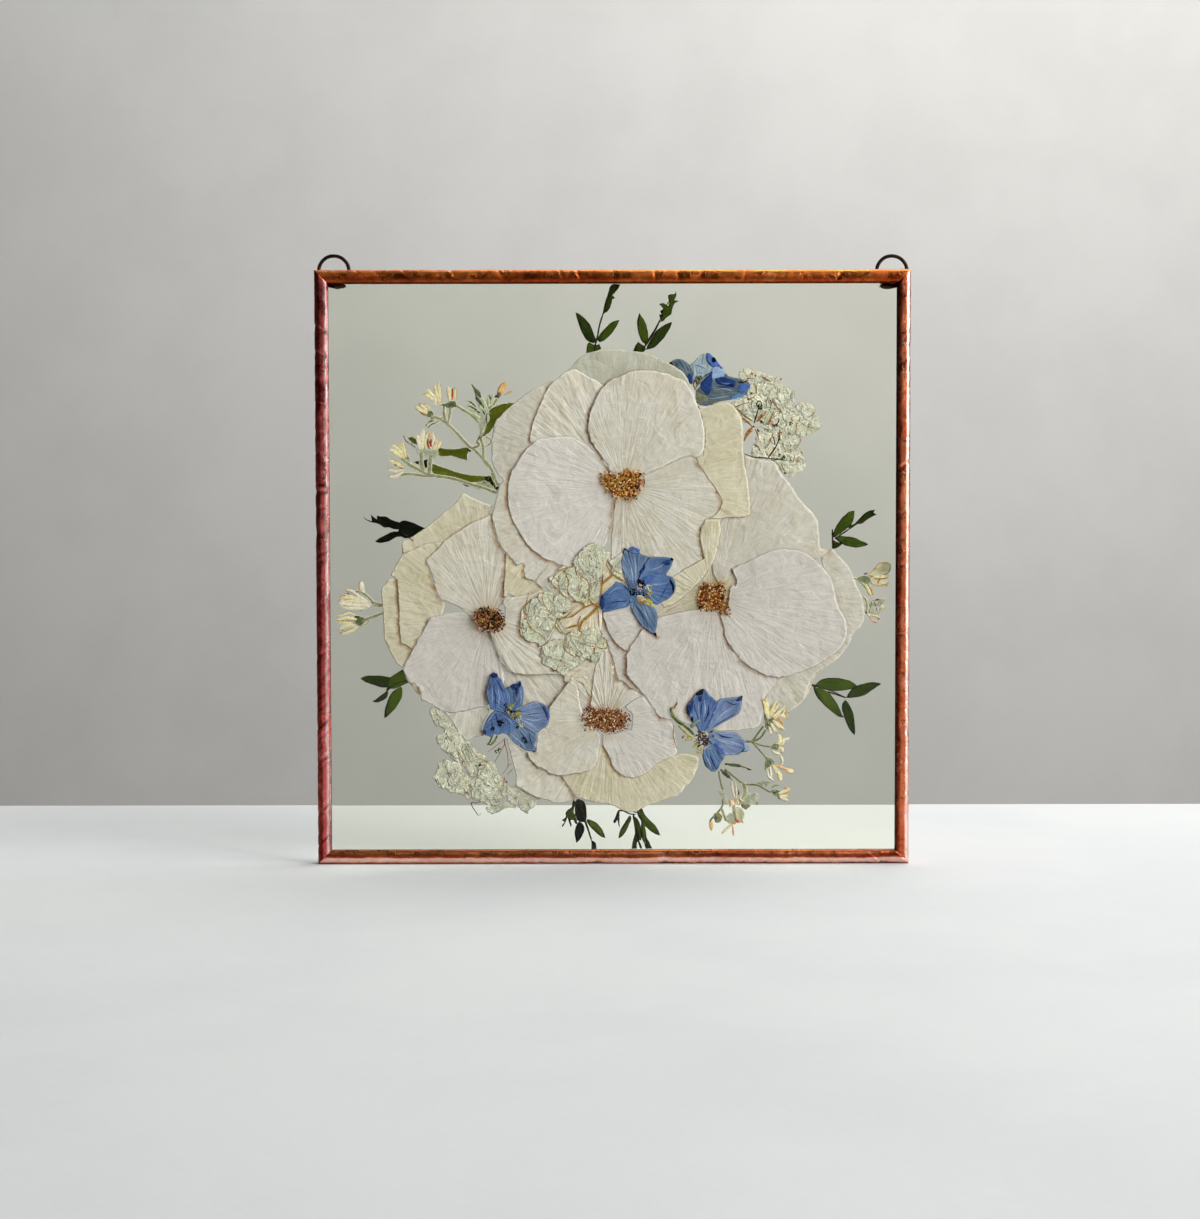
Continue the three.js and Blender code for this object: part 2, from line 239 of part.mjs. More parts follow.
// Sprigs: each is a list of leaf, stem and floret outlines that overlap and are joined into one solid.
const SPRIGS = [
  ['leaf_sprig_bottom_left', 0, LEAF, [
    [
      [-15.5, 27.8], [-13.2, 27.6], [-11.9, 24.3], [-11.5, 20], [-11.5, 16.2], [-13.6, 15.3], [-16.2, 16.2],
      [-16.4, 21.3], [-16.2, 25.2]],
    [
      [-15.3, 18.3], [-11.9, 17], [-12.6, 14], [-13.6, 11.4], [-14.9, 10.1], [-15.6, 8.8], [-16.4, 11.4],
      [-16.4, 14.4], [-15.8, 16.6]],
    [
      [-12.3, 18.8], [-9.3, 18.3], [-6.8, 16.6], [-4.6, 14], [-3.1, 11.2], [-5.1, 11], [-7.6, 13.2], [-10.2, 15.7]],
    [
      [-12.3, 17.5], [-11, 17.5], [-9, 11.4], [-8.2, 8.4], [-9.4, 8.4], [-10.2, 11.4]],
    [
      [-9.6, 10.6], [-7.6, 8.4], [-7, 5.4], [-9.4, 5.4]],
    [
      [-16.9, 27.6], [-16, 27.4], [-16.4, 23.5], [-15.3, 20], [-15.3, 18.3], [-16.2, 16.8], [-17.3, 18.8],
      [-17.9, 18.3], [-18.1, 15.7], [-18.8, 17.5], [-18.5, 19.6], [-20.1, 18.3], [-21.8, 16], [-22, 16.8],
      [-21.3, 18.1], [-22.2, 18.1], [-21.8, 18.5], [-20.1, 19.8], [-20, 22.2], [-18.7, 23.5], [-17.5, 25.2]]]],
  ['woolly_sprig_lower_right', 1, WOOL, [
    [
      [53.4, 53.1], [56.4, 52.9], [59.8, 53.4], [60.2, 51.4], [56.4, 51.4], [53.4, 51.6]],
    [
      [58.9, 52.3], [59.8, 53.8], [61.9, 57], [64.5, 60.4], [66.2, 59.2], [62.8, 55.3], [60.7, 52.7]],
    [
      [59.4, 53.4], [62.8, 54.4], [64.9, 57], [66.7, 57.9], [66.7, 55.7], [63.7, 53.1], [59.8, 51.9]],
    [
      [64.5, 69.4], [65.4, 71.6], [66.2, 70.3], [67.5, 69.4], [70.1, 69.9], [72.2, 67.3], [73.9, 67.7], [74.8, 66],
      [73.1, 65.2], [74.8, 62.6], [73.5, 61.3], [71.4, 61.3], [73.5, 58.3], [72.2, 57], [69.2, 57.9], [67.9, 56.6],
      [65.4, 55.3], [64.1, 57.4], [65.4, 59.6], [64.1, 60.9], [64.9, 63.9], [65.4, 66.4]],
    [
      [58.9, 53.1], [62.8, 51.6], [67.1, 50.4], [68.4, 51], [67.9, 48.9], [62.8, 50.1], [58.9, 51.4]],
    [
      [66.7, 50.1], [68.8, 51.9], [71.4, 51.9], [71.8, 54.4], [70.9, 55.7], [72.2, 56.2], [73.9, 54], [76.1, 54],
      [74.4, 52.3], [73.5, 50.1], [73.5, 48], [71, 46.3], [68.4, 47.6]],
    [
      [58.9, 52.7], [61.9, 49.9], [64.9, 46.7], [66.7, 44.6], [64.9, 43.7], [61.5, 48], [58.9, 51]],
    [
      [64.5, 45.8], [67.1, 45.4], [69.7, 43.3], [71.4, 45.8], [73.5, 44.1], [73.1, 42.8], [72.7, 41.6], [76.5, 40.3],
      [77, 39], [74.8, 38.5], [71.8, 39], [72.2, 36.4], [71.4, 35.1], [69.7, 38.1], [67.5, 35.5], [66.2, 38.1],
      [64.9, 41.6]]]],
  ['woolly_sprig_bottom', 1, WOOL, [
    [
      [44.4, 41.6], [47.4, 43.5], [49.9, 43.7], [53.8, 42.8], [57.2, 41.6], [59.8, 40.3], [57.7, 39.6], [54.2, 41.1],
      [49.9, 41.6], [46.5, 40.3]],
    [
      [44.4, 41.6], [47.4, 41.6], [49.5, 39], [51.7, 36.6], [50.8, 35.1], [48.2, 37.3], [44.8, 39.8]],
    [
      [47.4, 41.6], [49.9, 40], [52.5, 37.5], [55.1, 35.3], [58.5, 34.2], [61.9, 33.6], [66.2, 31.4], [69.2, 30.4],
      [68.4, 29.1], [64.9, 30.6], [61.5, 32.3], [58.1, 33], [54.7, 33.8], [51.7, 36.4], [48.2, 39.4]],
    [
      [67.1, 31.2], [68.8, 33], [71.4, 32.5], [74, 33], [75.7, 31.9], [74.4, 30.8], [75.7, 29.1], [74, 28.2],
      [75.2, 26.9], [72.2, 26.9], [69.7, 28.2], [67.5, 29.5]],
    [
      [61.5, 33.4], [63.2, 35.5], [65.8, 35.7], [67.5, 34.2], [66.2, 32.1], [63.7, 32.1]],
    [
      [44.8, 41.1], [46.3, 41.1], [46.7, 36.4], [47.6, 31.7], [46.1, 31.2], [45.2, 36]],
    [
      [45.2, 31.7], [47.4, 32.5], [49.1, 29.5], [51.2, 27.8], [50.8, 36], [52.5, 36], [53.4, 28.7], [54.7, 27.8],
      [55.5, 29.5], [55.1, 34.7], [57.7, 33.8], [57.7, 29.9], [59.4, 28.2], [61.5, 27.4], [62.8, 26.1], [61.5, 24.8],
      [58.5, 25.2], [56.8, 23.1], [55.9, 20], [56.4, 17.5], [54.2, 17], [52.1, 14.9], [52.5, 11.9], [51.2, 11.4],
      [50.4, 15.3], [47.8, 13.2], [46.5, 13.6], [49.1, 16.2], [49.1, 19.2], [47.3, 20], [43.9, 19.2], [43.1, 15.7],
      [42.2, 14], [40.9, 14.4], [40.9, 18.3], [42.6, 20.9], [45.6, 23.1], [46.9, 26.1], [45.6, 28.7]]]],
  ['leaf_sprig_top_left', 7, LEAF, [
    [
      [-15.8, 235.9], [-12.8, 234], [-9.8, 231.5], [-8.6, 229.3], [-7.7, 226.4], [-6.9, 223.4], [-8.2, 222.6],
      [-10.7, 223.9], [-12.4, 226], [-14.1, 229.3], [-15.4, 232.7]],
    [
      [2.9, 232.7], [-0.1, 232.1], [-3, 230.2], [-5.2, 228.1], [-6.5, 224.7], [-6.9, 223], [-3.9, 223.9],
      [-0.9, 226], [1.6, 228.9]],
    [
      [-7, 223], [-5.8, 223], [-4.8, 230.2], [-3, 236.1], [-4.2, 236.1], [-5.9, 230.2]],
    [
      [-4.1, 235.7], [-3.4, 239], [-2.2, 242.8], [-1.3, 245.8], [-0, 247.5], [0.4, 249.2], [3.4, 249.2],
      [2.5, 246.6], [0.6, 244.1], [0.2, 242.4], [1, 242], [-0.5, 241.2], [-1.7, 237.8], [-3.2, 235.5]],
    [
      [-11, 218.6], [-10.7, 221.3], [-10.1, 223], [-9, 223.4], [-7.3, 224.3], [-6, 223.4], [-5, 220.3],
      [-5.2, 218.8], [-6.1, 213.7], [-9.5, 213.7], [-10.3, 217.5]]]],
  ['leaf_sprig_top_right', 7, LEAF, [
    [
      [11.4, 235.7], [12.7, 234], [14, 231.5], [14.8, 228.5], [15.2, 225.5], [15.2, 222.6], [15, 220.1],
      [13.7, 220.9], [11.4, 225.5], [10.8, 228.9], [10.8, 232.3]],
    [
      [25.4, 231.9], [22, 230.4], [19.5, 228.5], [17.3, 225.5], [15.2, 222.6], [14.4, 220.9], [16.5, 220.9],
      [19.5, 222.6], [22.4, 226], [24.6, 229.3]],
    [
      [13.5, 220.1], [15.2, 220.3], [17.5, 225.4], [20.1, 231], [20.8, 233.1], [19.7, 233.1], [16.5, 226.4]],
    [
      [19.7, 231.9], [20.3, 234], [19.7, 234.6], [21, 236.1], [20.3, 238.2], [19.9, 239.3], [21.6, 240.3],
      [22.9, 239], [24, 238.6], [24.4, 240.7], [23.7, 242.8], [25, 243.5], [26.7, 244.1], [27.6, 244.7],
      [26.9, 242.4], [25.9, 240.7], [28.4, 240.9], [26.7, 239.5], [25.9, 237.8], [25, 236.7], [23.7, 234.8],
      [21.6, 232.7], [20.5, 231.5]],
    [
      [8.6, 219.4], [9.5, 222.2], [10.7, 223.9], [12.2, 223], [13.5, 222.2], [14.8, 221.7], [13.9, 220.1],
      [13.3, 218.6], [12.2, 213.7], [8.4, 214.1], [8.8, 217.9]]]],
  ['leaf_sprig_left_upper', 10, LEAF, [
    [
      [-80.6, 144.4], [-83.1, 145.4], [-86.1, 146.9], [-88.7, 147.8], [-91.6, 147.4], [-92.1, 143.7], [-90, 141.6],
      [-87, 139.9], [-84, 141.8]],
    [
      [-102, 138.6], [-99.8, 140.3], [-96.8, 142], [-93.4, 143.3], [-90.8, 143.7], [-89.6, 141.2], [-92.6, 139.7],
      [-96, 138.6], [-99.4, 138]],
    [
      [-107, 149.3], [-104.4, 147.6], [-101, 146.3], [-98.9, 144.6], [-97.6, 145.4], [-94.2, 144.2], [-91.2, 143.5],
      [-89.9, 146.7], [-93.8, 148.4], [-96.7, 149.5], [-99.3, 149.3], [-101, 150.1], [-100.2, 148], [-103.6, 150.1],
      [-102.7, 147.6]]]],
  ['leaf_sprig_left_lower', 8, LEAF, [
    [
      [-108.6, 79.7], [-106.3, 80.6], [-102.4, 81], [-98.1, 80.8], [-94.3, 80.6], [-95.2, 78], [-96.9, 75.9],
      [-100.7, 76.3], [-104.2, 77.2], [-106.7, 78.4]],
    [
      [-95.1, 80.6], [-92.6, 81.9], [-90.4, 83.4], [-89.6, 81], [-88.7, 78.9], [-87.5, 78.2], [-90, 77.6],
      [-92.2, 75.4], [-94.8, 75.7], [-97.5, 75.9], [-96.9, 78]],
    [
      [-97.5, 76.3], [-95.2, 76.3], [-96.5, 73.7], [-97.3, 72.9], [-98, 75]],
    [
      [-103.4, 69.9], [-101.2, 72], [-98.6, 73.5], [-96.7, 74.2], [-97.4, 71.6], [-99.9, 69.9], [-102.1, 69.2]],
    [
      [-98.3, 62.8], [-98.7, 66], [-97.4, 69.9], [-95.2, 73.3], [-93, 75.9], [-90.9, 77.2], [-90.5, 74.2],
      [-91.4, 70.3], [-93.1, 67.3], [-95.3, 64.7]]]],
  ['leaf_sprig_right_upper', 5, LEAF, [
    [
      [103.3, 151.4], [100.4, 150.1], [97.4, 147.2], [95.2, 144.2], [94, 141.2], [94.4, 139.5], [97, 140.8],
      [99.9, 142.9], [101.6, 145], [102.9, 148]],
    [
      [96.5, 141], [97.4, 139.9], [101.6, 143.7], [105.5, 145.4], [105.1, 146.9], [100.8, 145]],
    [
      [103.3, 145.9], [105.1, 148.4], [108, 150.6], [111, 151.4], [112.9, 152], [111.9, 150.6], [113.4, 149.7],
      [110.6, 148.9], [107.6, 147.2], [105.1, 145.7]],
    [
      [109.1, 136.9], [106.4, 138.9], [102.9, 140.3], [99.1, 141.2], [95.2, 140.6], [94.8, 139.1], [98.2, 137.8],
      [101.2, 136.5], [104.6, 135.9], [107.2, 136.1]],
    [
      [93.1, 138.6], [94.4, 138.9], [96.1, 139], [97.6, 138.6], [96.1, 136.5], [94, 135.2], [91, 135.7],
      [90.1, 138.6]],
    [
      [93.2, 143.7], [94.7, 143.1], [95.5, 138.5], [93.2, 137.3]]]],
  ['leaf_sprig_right_lower', 7, LEAF, [
    [
      [86.4, 76.5], [87.6, 78], [90.6, 79.3], [94.1, 79.9], [97.5, 79.5], [101.3, 78.2], [104.3, 76.3], [106.5, 75],
      [103.5, 74.4], [99.2, 74.2], [94.9, 74.2], [91.5, 75]],
    [
      [99.6, 71.4], [101.3, 74.2], [104.3, 76.1], [107.3, 76.9], [111.2, 77.8], [114.6, 77.4], [111.6, 75],
      [108.6, 73.3], [104.8, 71.6], [101.8, 71.2]],
    [
      [86.1, 75.9], [88.5, 76.3], [91.5, 75], [93.6, 73.3], [95.8, 69.9], [97.9, 66], [99.2, 62.6], [96.2, 63],
      [92.8, 65.6], [89.4, 69], [86.8, 72.4]],
    [
      [99.2, 71.4], [100.5, 71.4], [102.2, 67.7], [103.5, 63.9], [104.2, 58.7], [104.4, 54.9], [101.8, 57],
      [99.7, 60], [98.8, 64.3], [98.6, 67.7]],
    [
      [82.5, 78], [85.1, 77.4], [86.8, 76.7], [100.5, 71.7], [100.1, 70.6], [86.4, 75.5], [85.5, 75.9], [85.1, 74.8],
      [84.3, 75], [84.6, 76.3]]]],
  ['leaf_sprig_bottom_right', 5, LEAF, [
    [
      [10, 21.5], [9.6, 23.1], [12.6, 25.2], [13.9, 20.5], [12.6, 17.9], [10.4, 18.8]],
    [
      [12.6, 20.9], [15.6, 19.6], [18.1, 17], [19.9, 14.4], [20.3, 11.9], [17.7, 12.9], [14.7, 15.1], [12.6, 17.9],
      [11.3, 20]],
    [
      [9.6, 20.5], [11.7, 19.2], [12.6, 14.9], [12.6, 10.1], [10.8, 9.7], [9.3, 13.6], [8.5, 17.5], [7.6, 20]],
    [
      [8.7, 18.9], [7.9, 17.7], [6.6, 15.7], [6.6, 14.7], [4.4, 12.3], [2.5, 10.6], [2.5, 12.3], [3.5, 14.9],
      [5.3, 17], [7, 19.8]],
    [
      [4.2, 22.8], [7.9, 22.2], [10.4, 20.7], [9.6, 18.8], [7.4, 19.2]],
    [
      [0.1, 17], [0.6, 19.2], [1.9, 22.2], [2.9, 23.3], [3.6, 24.3], [3.6, 22.6], [2.6, 20], [2.7, 15.1], [2, 15.7],
      [1.6, 18.3]],
    [
      [8.9, 12.3], [10.5, 11.9], [10, 8], [11.7, 5.4], [9.5, 5.4], [7.8, 5.4], [8.3, 8]],
    [
      [11.9, 18.8], [13.9, 18.3], [14.3, 12.7], [14.3, 9.3], [15.5, 5.4], [13.8, 5.4], [13.4, 9.7], [12.1, 9.7]],
    [
      [2.3, 22.4], [5.3, 25.6], [10.4, 26.5], [12.6, 24.3], [10.4, 21.8], [7, 23.9], [3.6, 22.4]]]],
  ['woolly_sprig_upper_left', 7, WOOL, [
    [
      [-51, 170.5], [-52.7, 173.9], [-59.9, 179.9], [-66.6, 185.8], [-70, 190.4], [-72.1, 193.4], [-73.8, 193.4],
      [-73.4, 189.6], [-68.4, 185.4], [-61.6, 178.6], [-54.8, 172.2]],
    [
      [-81, 201.9], [-78.9, 203.6], [-76.8, 202.7], [-75.9, 205.7], [-74.2, 206.5], [-73.3, 204], [-72.9, 200.6],
      [-71.7, 198.1], [-72.5, 195.5], [-75.9, 197.6], [-78.9, 199.8]],
    [
      [-70.4, 203.6], [-69.1, 204.4], [-67.4, 203.6], [-67, 200.6], [-67, 197.6], [-65.7, 196], [-69.6, 194.7],
      [-73.4, 195.1], [-72.5, 198.1], [-70, 198.5], [-70.4, 201]],
    [
      [-73.4, 196.4], [-69.1, 195.5], [-69.2, 189.6], [-72.2, 189.6]],
    [
      [-67.4, 197.6], [-64, 195.5], [-60.6, 193.4], [-57.2, 191.7], [-54.3, 190], [-54.3, 188.3], [-60.7, 191.3],
      [-67.4, 195.1]],
    [
      [-84.5, 196], [-82.3, 197.6], [-79.8, 197.4], [-78.1, 195.5], [-76, 193.8], [-73, 191.7], [-75.1, 190.4],
      [-78.5, 191.3], [-81.9, 193.4]],
    [
      [-76.4, 194.3], [-71.7, 191.7], [-71.3, 189.2], [-76, 190.4]],
    [
      [-60.1, 205.7], [-58, 204], [-56.8, 201], [-54.7, 198.5], [-52.1, 201.5], [-50.4, 199.8], [-48.2, 202.7],
      [-47, 205.7], [-45.2, 206.5], [-44.4, 205.3], [-46.5, 201.9], [-43.1, 202.9], [-45.7, 200.6], [-48.3, 197.6],
      [-51.3, 195.1], [-53, 193], [-52.6, 188.3], [-53.9, 184.9], [-56, 182.4], [-57.3, 185.8], [-56.8, 190.9],
      [-57.7, 194.3], [-61.9, 196], [-62.3, 198.9], [-58.9, 198.9], [-57.6, 197.6], [-58.5, 201.5]],
    [
      [-53.4, 193.8], [-51.3, 195.5], [-47.8, 197.2], [-44, 197.9], [-41, 197.9], [-45.7, 194.7], [-49.2, 190.9],
      [-52.2, 186.6], [-54.7, 183.2], [-57.7, 181.5], [-56.4, 184.1], [-55.1, 188.3]],
    [
      [-57.7, 184.1], [-54.3, 184.1], [-51.8, 177.3], [-49.3, 170.5], [-46.3, 163.7], [-48.1, 159.9], [-51.4, 168.8],
      [-54.8, 175.2]],
    [
      [-83.3, 184.5], [-80.7, 185.8], [-79.9, 183.2], [-78.6, 185.4], [-76.5, 184.9], [-75.2, 182.4], [-73.1, 180.3],
      [-73.5, 177.3], [-75.7, 173.9], [-76.6, 168], [-79.5, 168.8], [-81.2, 172.2], [-82.9, 176.5], [-82.9, 180.3]],
    [
      [-89.7, 183.2], [-87.1, 182.8], [-83.7, 181.1], [-82.5, 178.2], [-79.9, 173.1], [-77.4, 167.5], [-81.7, 167.1],
      [-87.2, 168.8], [-91, 172.6], [-93.6, 176.5], [-93.5, 179], [-91.4, 179.4], [-90.1, 181.5]],
    [
      [-97.8, 174.3], [-94.8, 174.8], [-91.4, 173.5], [-88.9, 172.2], [-85.5, 170.9], [-77, 168.4], [-78.3, 165.4],
      [-83.8, 166.7], [-88.1, 167.1], [-91.5, 165.9], [-93.2, 167.5], [-94.5, 169.7], [-92.3, 170.3], [-89.3, 169.9],
      [-91.5, 171.8], [-94.9, 173.3]],
    [
      [-74.8, 179], [-73.1, 179], [-68.4, 177.7], [-59.9, 178.6], [-60.8, 175.2], [-62.5, 172.6], [-67.1, 174.3],
      [-74.4, 175.2]],
    [
      [-78.7, 172.2], [-73.6, 170.5], [-67.2, 168.8], [-58.7, 167.1], [-51.4, 167.1], [-48, 164.2], [-48.1, 159.9],
      [-52.3, 161.2], [-60.8, 163.7], [-69.3, 165], [-78.7, 165.9]],
    [
      [-79.1, 168.4], [-69.3, 166.3], [-60.8, 164.2], [-56.6, 162], [-48.9, 159.5], [-48.9, 157.8], [-60.8, 160.8],
      [-69.3, 163.7], [-79.1, 165.4]]]],
  ['woolly_sprig_left', 10, WOOL, [
    [
      [-117.5, 113.5], [-116.7, 115.6], [-114.1, 117.3], [-109.8, 117.3], [-109.4, 120.3], [-108.1, 121.4],
      [-106.8, 120.3], [-106.4, 117.8], [-104.7, 115.6], [-102.6, 113.5], [-98.3, 112.2], [-94.5, 110.9],
      [-94.5, 109.2], [-98.3, 109.9], [-103, 110.5], [-105.6, 109.7], [-109, 108.8], [-113.3, 109.2],
      [-116.3, 110.9]],
    [
      [-118.5, 106.7], [-115.4, 107.9], [-112.5, 107.9], [-109, 106.7], [-106.1, 106.2], [-101.8, 107.5],
      [-98.3, 108.8], [-94.5, 109.7], [-93.7, 107.1], [-97.9, 106], [-103.1, 104.1], [-106.5, 102], [-110.4, 100.7],
      [-114.3, 98.1], [-116.8, 99], [-118.1, 100.7], [-116.4, 102.4], [-118.9, 104.5]]]],
  ['woolly_sprig_right', 6, WOOL, [
    [
      [104.2, 122], [106.4, 123.3], [108.5, 124.2], [112.4, 128], [114.1, 129.1], [117.9, 129.1], [119, 127.1],
      [117.9, 125], [117.9, 122], [117.9, 119], [114.1, 118.6], [111.9, 120.7], [109.8, 120.7], [110.7, 117.8],
      [111.5, 115.2], [109.8, 115.2], [108.5, 118.6], [106, 120.3]],
    [
      [106.8, 113.9], [109.8, 113.5], [113.2, 113.1], [115.8, 113.5], [117.1, 112.6], [115, 110.5], [116.7, 109.2],
      [114.1, 107.9], [112.4, 106.7], [114.5, 105], [113.3, 104.1], [111.6, 104.5], [112.4, 103.2], [110.3, 103.7],
      [108.6, 106.7], [107.3, 110.1]],
    [
      [100.4, 124.2], [105.1, 123.3], [105.1, 119.9], [103.8, 116.9], [107.7, 113.5], [109, 110.9], [107.7, 109.2],
      [103.8, 112.2], [100.4, 117.8]]]],
];

const group = new THREE.Group();

function addMesh(name, geometry, finish) {
  const mesh = new THREE.Mesh(geometry, new THREE.MeshStandardMaterial(finish));
  mesh.name = name;
  group.add(mesh);
  return mesh;
}

// ---- rails ----
// Section of a rail: u runs from the window to the frame's outer edge, v from front to back.
// The groove is open towards the window, and the back and the outer edge are flat.
function railSection() {
  const half = RAIL_T / 2;
  const groove = GLASS_GAP / 2 + GLASS_T + GROOVE_CLEAR;
  const r = RAIL_EDGE_R;
  const pts = [];
  pts.push([0, -groove], [0.1, -half + 0.18], [0.5, -half]);
  for (let i = 0; i <= 5; i++) {
    const a = -Math.PI / 2 + (Math.PI / 2) * i / 5;
    pts.push([RAIL_FACE - r + r * Math.cos(a), -half + r + r * Math.sin(a)]);
  }
  for (let i = 0; i <= 5; i++) {
    const a = (Math.PI / 2) * i / 5;
    pts.push([RAIL_FACE - r + r * Math.cos(a), half - r + r * Math.sin(a)]);
  }
  pts.push([0.5, half], [0.1, half - 0.18], [0, groove]);
  pts.push([GROOVE_DEPTH, groove], [GROOVE_DEPTH, -groove]);
  return pts;
}

// A rail of the given outer length with both ends cut at 45 degrees. It runs along local X from its middle,
// with its outer edge at local Z = 0 and its window edge at Z = RAIL_FACE.
function railGeometry(length) {
  const shape = new THREE.Shape(railSection().map(([u, v]) => new THREE.Vector2(u, v)));
  const g = new THREE.ExtrudeGeometry(shape, { depth: 1, bevelEnabled: false, curveSegments: 1 });
  const p = g.attributes.position;
  for (let i = 0; i < p.count; i++) {
    const u = p.getX(i);
    const v = p.getY(i);
    const end = p.getZ(i) > 0.5 ? 1 : -1;
    const inward = RAIL_FACE - u;
    const half = length / 2 - inward - MITRE_GAP;
    p.setXYZ(i, end * half, v, inward);
  }
  g.deleteAttribute('normal');
  g.deleteAttribute('uv');
  return ensureOutward(g);
}

// Turns the faces round where a geometry's signed volume is negative.
function ensureOutward(g) {
  const flat = g.index ? g.toNonIndexed() : g;
  const p = flat.attributes.position;
  let volume = 0;
  const a = new THREE.Vector3();
  const b = new THREE.Vector3();
  const c = new THREE.Vector3();
  for (let i = 0; i < p.count; i += 3) {
    a.fromBufferAttribute(p, i);
    b.fromBufferAttribute(p, i + 1);
    c.fromBufferAttribute(p, i + 2);
    volume += a.dot(b.cross(c));
  }
  if (volume < 0) {
    for (let i = 0; i < p.count; i += 3) {
      b.fromBufferAttribute(p, i + 1);
      c.fromBufferAttribute(p, i + 2);
      p.setXYZ(i + 1, c.x, c.y, c.z);
      p.setXYZ(i + 2, b.x, b.y, b.z);
    }
  }
  const merged = BufferGeometryUtils.mergeVertices(flat, 1e-4);
  merged.computeVertexNormals();
  return merged;
}

const railBottom = addMesh('rail_bottom', railGeometry(FRAME_W), COPPER);
railBottom.position.set(0, MID_Y, 0);

const railTop = addMesh('rail_top', railGeometry(FRAME_W), COPPER);
railTop.rotation.y = Math.PI;
railTop.position.set(0, MID_Y, FRAME_H);

const railLeft = addMesh('rail_left', railGeometry(FRAME_H), COPPER);
railLeft.rotation.y = Math.PI / 2;
railLeft.position.set(-FRAME_W / 2, MID_Y, FRAME_H / 2);

const railRight = addMesh('rail_right', railGeometry(FRAME_H), COPPER);
railRight.rotation.y = -Math.PI / 2;
railRight.position.set(FRAME_W / 2, MID_Y, FRAME_H / 2);

// ---- panes ----
const paneInset = RAIL_FACE - GROOVE_DEPTH + GLASS_EDGE_GAP;
const paneW = FRAME_W - 2 * paneInset;
const paneH = FRAME_H - 2 * paneInset;
for (const [name, side] of [['glass_front', -1], ['glass_back', 1]]) {
  const pane = addMesh(name, new THREE.BoxGeometry(paneW, GLASS_T, paneH), GLASS);
  pane.position.set(0, MID_Y + side * (GLASS_GAP + GLASS_T) / 2, FRAME_H / 2);
}

// ---- hanging rings: round wire, the lower half against the back of the top rail ----
for (const [i, name] of ['ring_left', 'ring_right'].entries()) {
  const profile = [];
  for (let k = 0; k <= WIRE_SIDES; k++) {
    const a = 2 * Math.PI * (k % WIRE_SIDES) / WIRE_SIDES + Math.PI / WIRE_SIDES;
    profile.push(new THREE.Vector2(RING_R + RING_WIRE / 2 * Math.cos(a), RING_WIRE / 2 * Math.sin(a)));
  }
  const lathe = new THREE.LatheGeometry(profile, RING_STEPS);
  lathe.deleteAttribute('normal');
  lathe.deleteAttribute('uv');
  const ring = addMesh(name, ensureOutward(lathe), DARK_WIRE);
  ring.position.set(RING_CENTRES[i][0], MID_Y + RING_Y, RING_CENTRES[i][1]);
}

// ---- pressed layers ----
const LAYERS = 1 + Math.max(...OUTLINES.map((o) => o[1]), ...SPRIGS.map((s) => s[1]));
const LAYER_PITCH = (GLASS_GAP - LAYER_T) / (LAYERS + 1);

function layerY(layer) {
  return MID_Y - GLASS_GAP / 2 + (layer + 1) * LAYER_PITCH;
}

function sheet(outline) {
  const shape = new THREE.Shape(outline.map(([x, z]) => new THREE.Vector2(x, z)));
  const g = new THREE.ExtrudeGeometry(shape, { depth: LAYER_T, bevelEnabled: false });
  g.deleteAttribute('normal');
  g.deleteAttribute('uv');
  return BufferGeometryUtils.mergeVertices(g, 1e-4);
}

function toManifold(g) {
  return new wasm.Manifold(new wasm.Mesh({
    numProp: 3,
    vertProperties: new Float32Array(g.attributes.position.array),
    triVerts: new Uint32Array(g.index.array),
  }));
}

function fromManifold(m) {
  const mesh = m.getMesh();
  const g = new THREE.BufferGeometry();
  g.setAttribute('position', new THREE.BufferAttribute(new Float32Array(mesh.vertProperties), 3));
  g.setIndex(new THREE.BufferAttribute(new Uint32Array(mesh.triVerts), 1));
  g.computeVertexNormals();
  return g;
}

// A sheet lies in its own XY plane, so it is stood up to face the front.
function place(mesh, layer) {
  mesh.rotation.x = Math.PI / 2;
  mesh.position.set(0, layerY(layer) + LAYER_T, 0);
}

for (const [name, layer, finish, outline] of OUTLINES) {
  const g = sheet(outline);
  g.computeVertexNormals();
  place(addMesh(name, g, finish), layer);
}

for (const [name, layer, finish, parts] of SPRIGS) {
  let solid = toManifold(sheet(parts[0]));
  for (const outline of parts.slice(1)) solid = solid.add(toManifold(sheet(outline)));
  place(addMesh(name, fromManifold(solid), finish), layer);
}

export default group;
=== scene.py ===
import math
import bpy
import numpy as np
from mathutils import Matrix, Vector
from mathutils.geometry import delaunay_2d_cdt


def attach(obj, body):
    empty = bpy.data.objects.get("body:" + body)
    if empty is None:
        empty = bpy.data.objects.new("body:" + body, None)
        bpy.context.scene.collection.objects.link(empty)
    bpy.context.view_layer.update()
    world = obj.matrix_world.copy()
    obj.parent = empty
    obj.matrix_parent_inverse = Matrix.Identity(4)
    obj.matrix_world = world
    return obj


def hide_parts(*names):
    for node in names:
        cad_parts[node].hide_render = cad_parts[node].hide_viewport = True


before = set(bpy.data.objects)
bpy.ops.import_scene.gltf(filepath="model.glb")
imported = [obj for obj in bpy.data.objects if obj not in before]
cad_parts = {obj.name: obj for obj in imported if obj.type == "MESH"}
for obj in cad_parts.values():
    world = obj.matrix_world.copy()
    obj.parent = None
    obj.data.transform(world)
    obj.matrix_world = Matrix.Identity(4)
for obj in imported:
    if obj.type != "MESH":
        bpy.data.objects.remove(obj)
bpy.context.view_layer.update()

MM = 0.001
MID_Y = -0.85          # middle of the glass sandwich, mm
GAP = 2.4              # between the panes
GLASS_T = 2.0
RAIL_T = 7.6
FACE = 5.6
W = 254.0

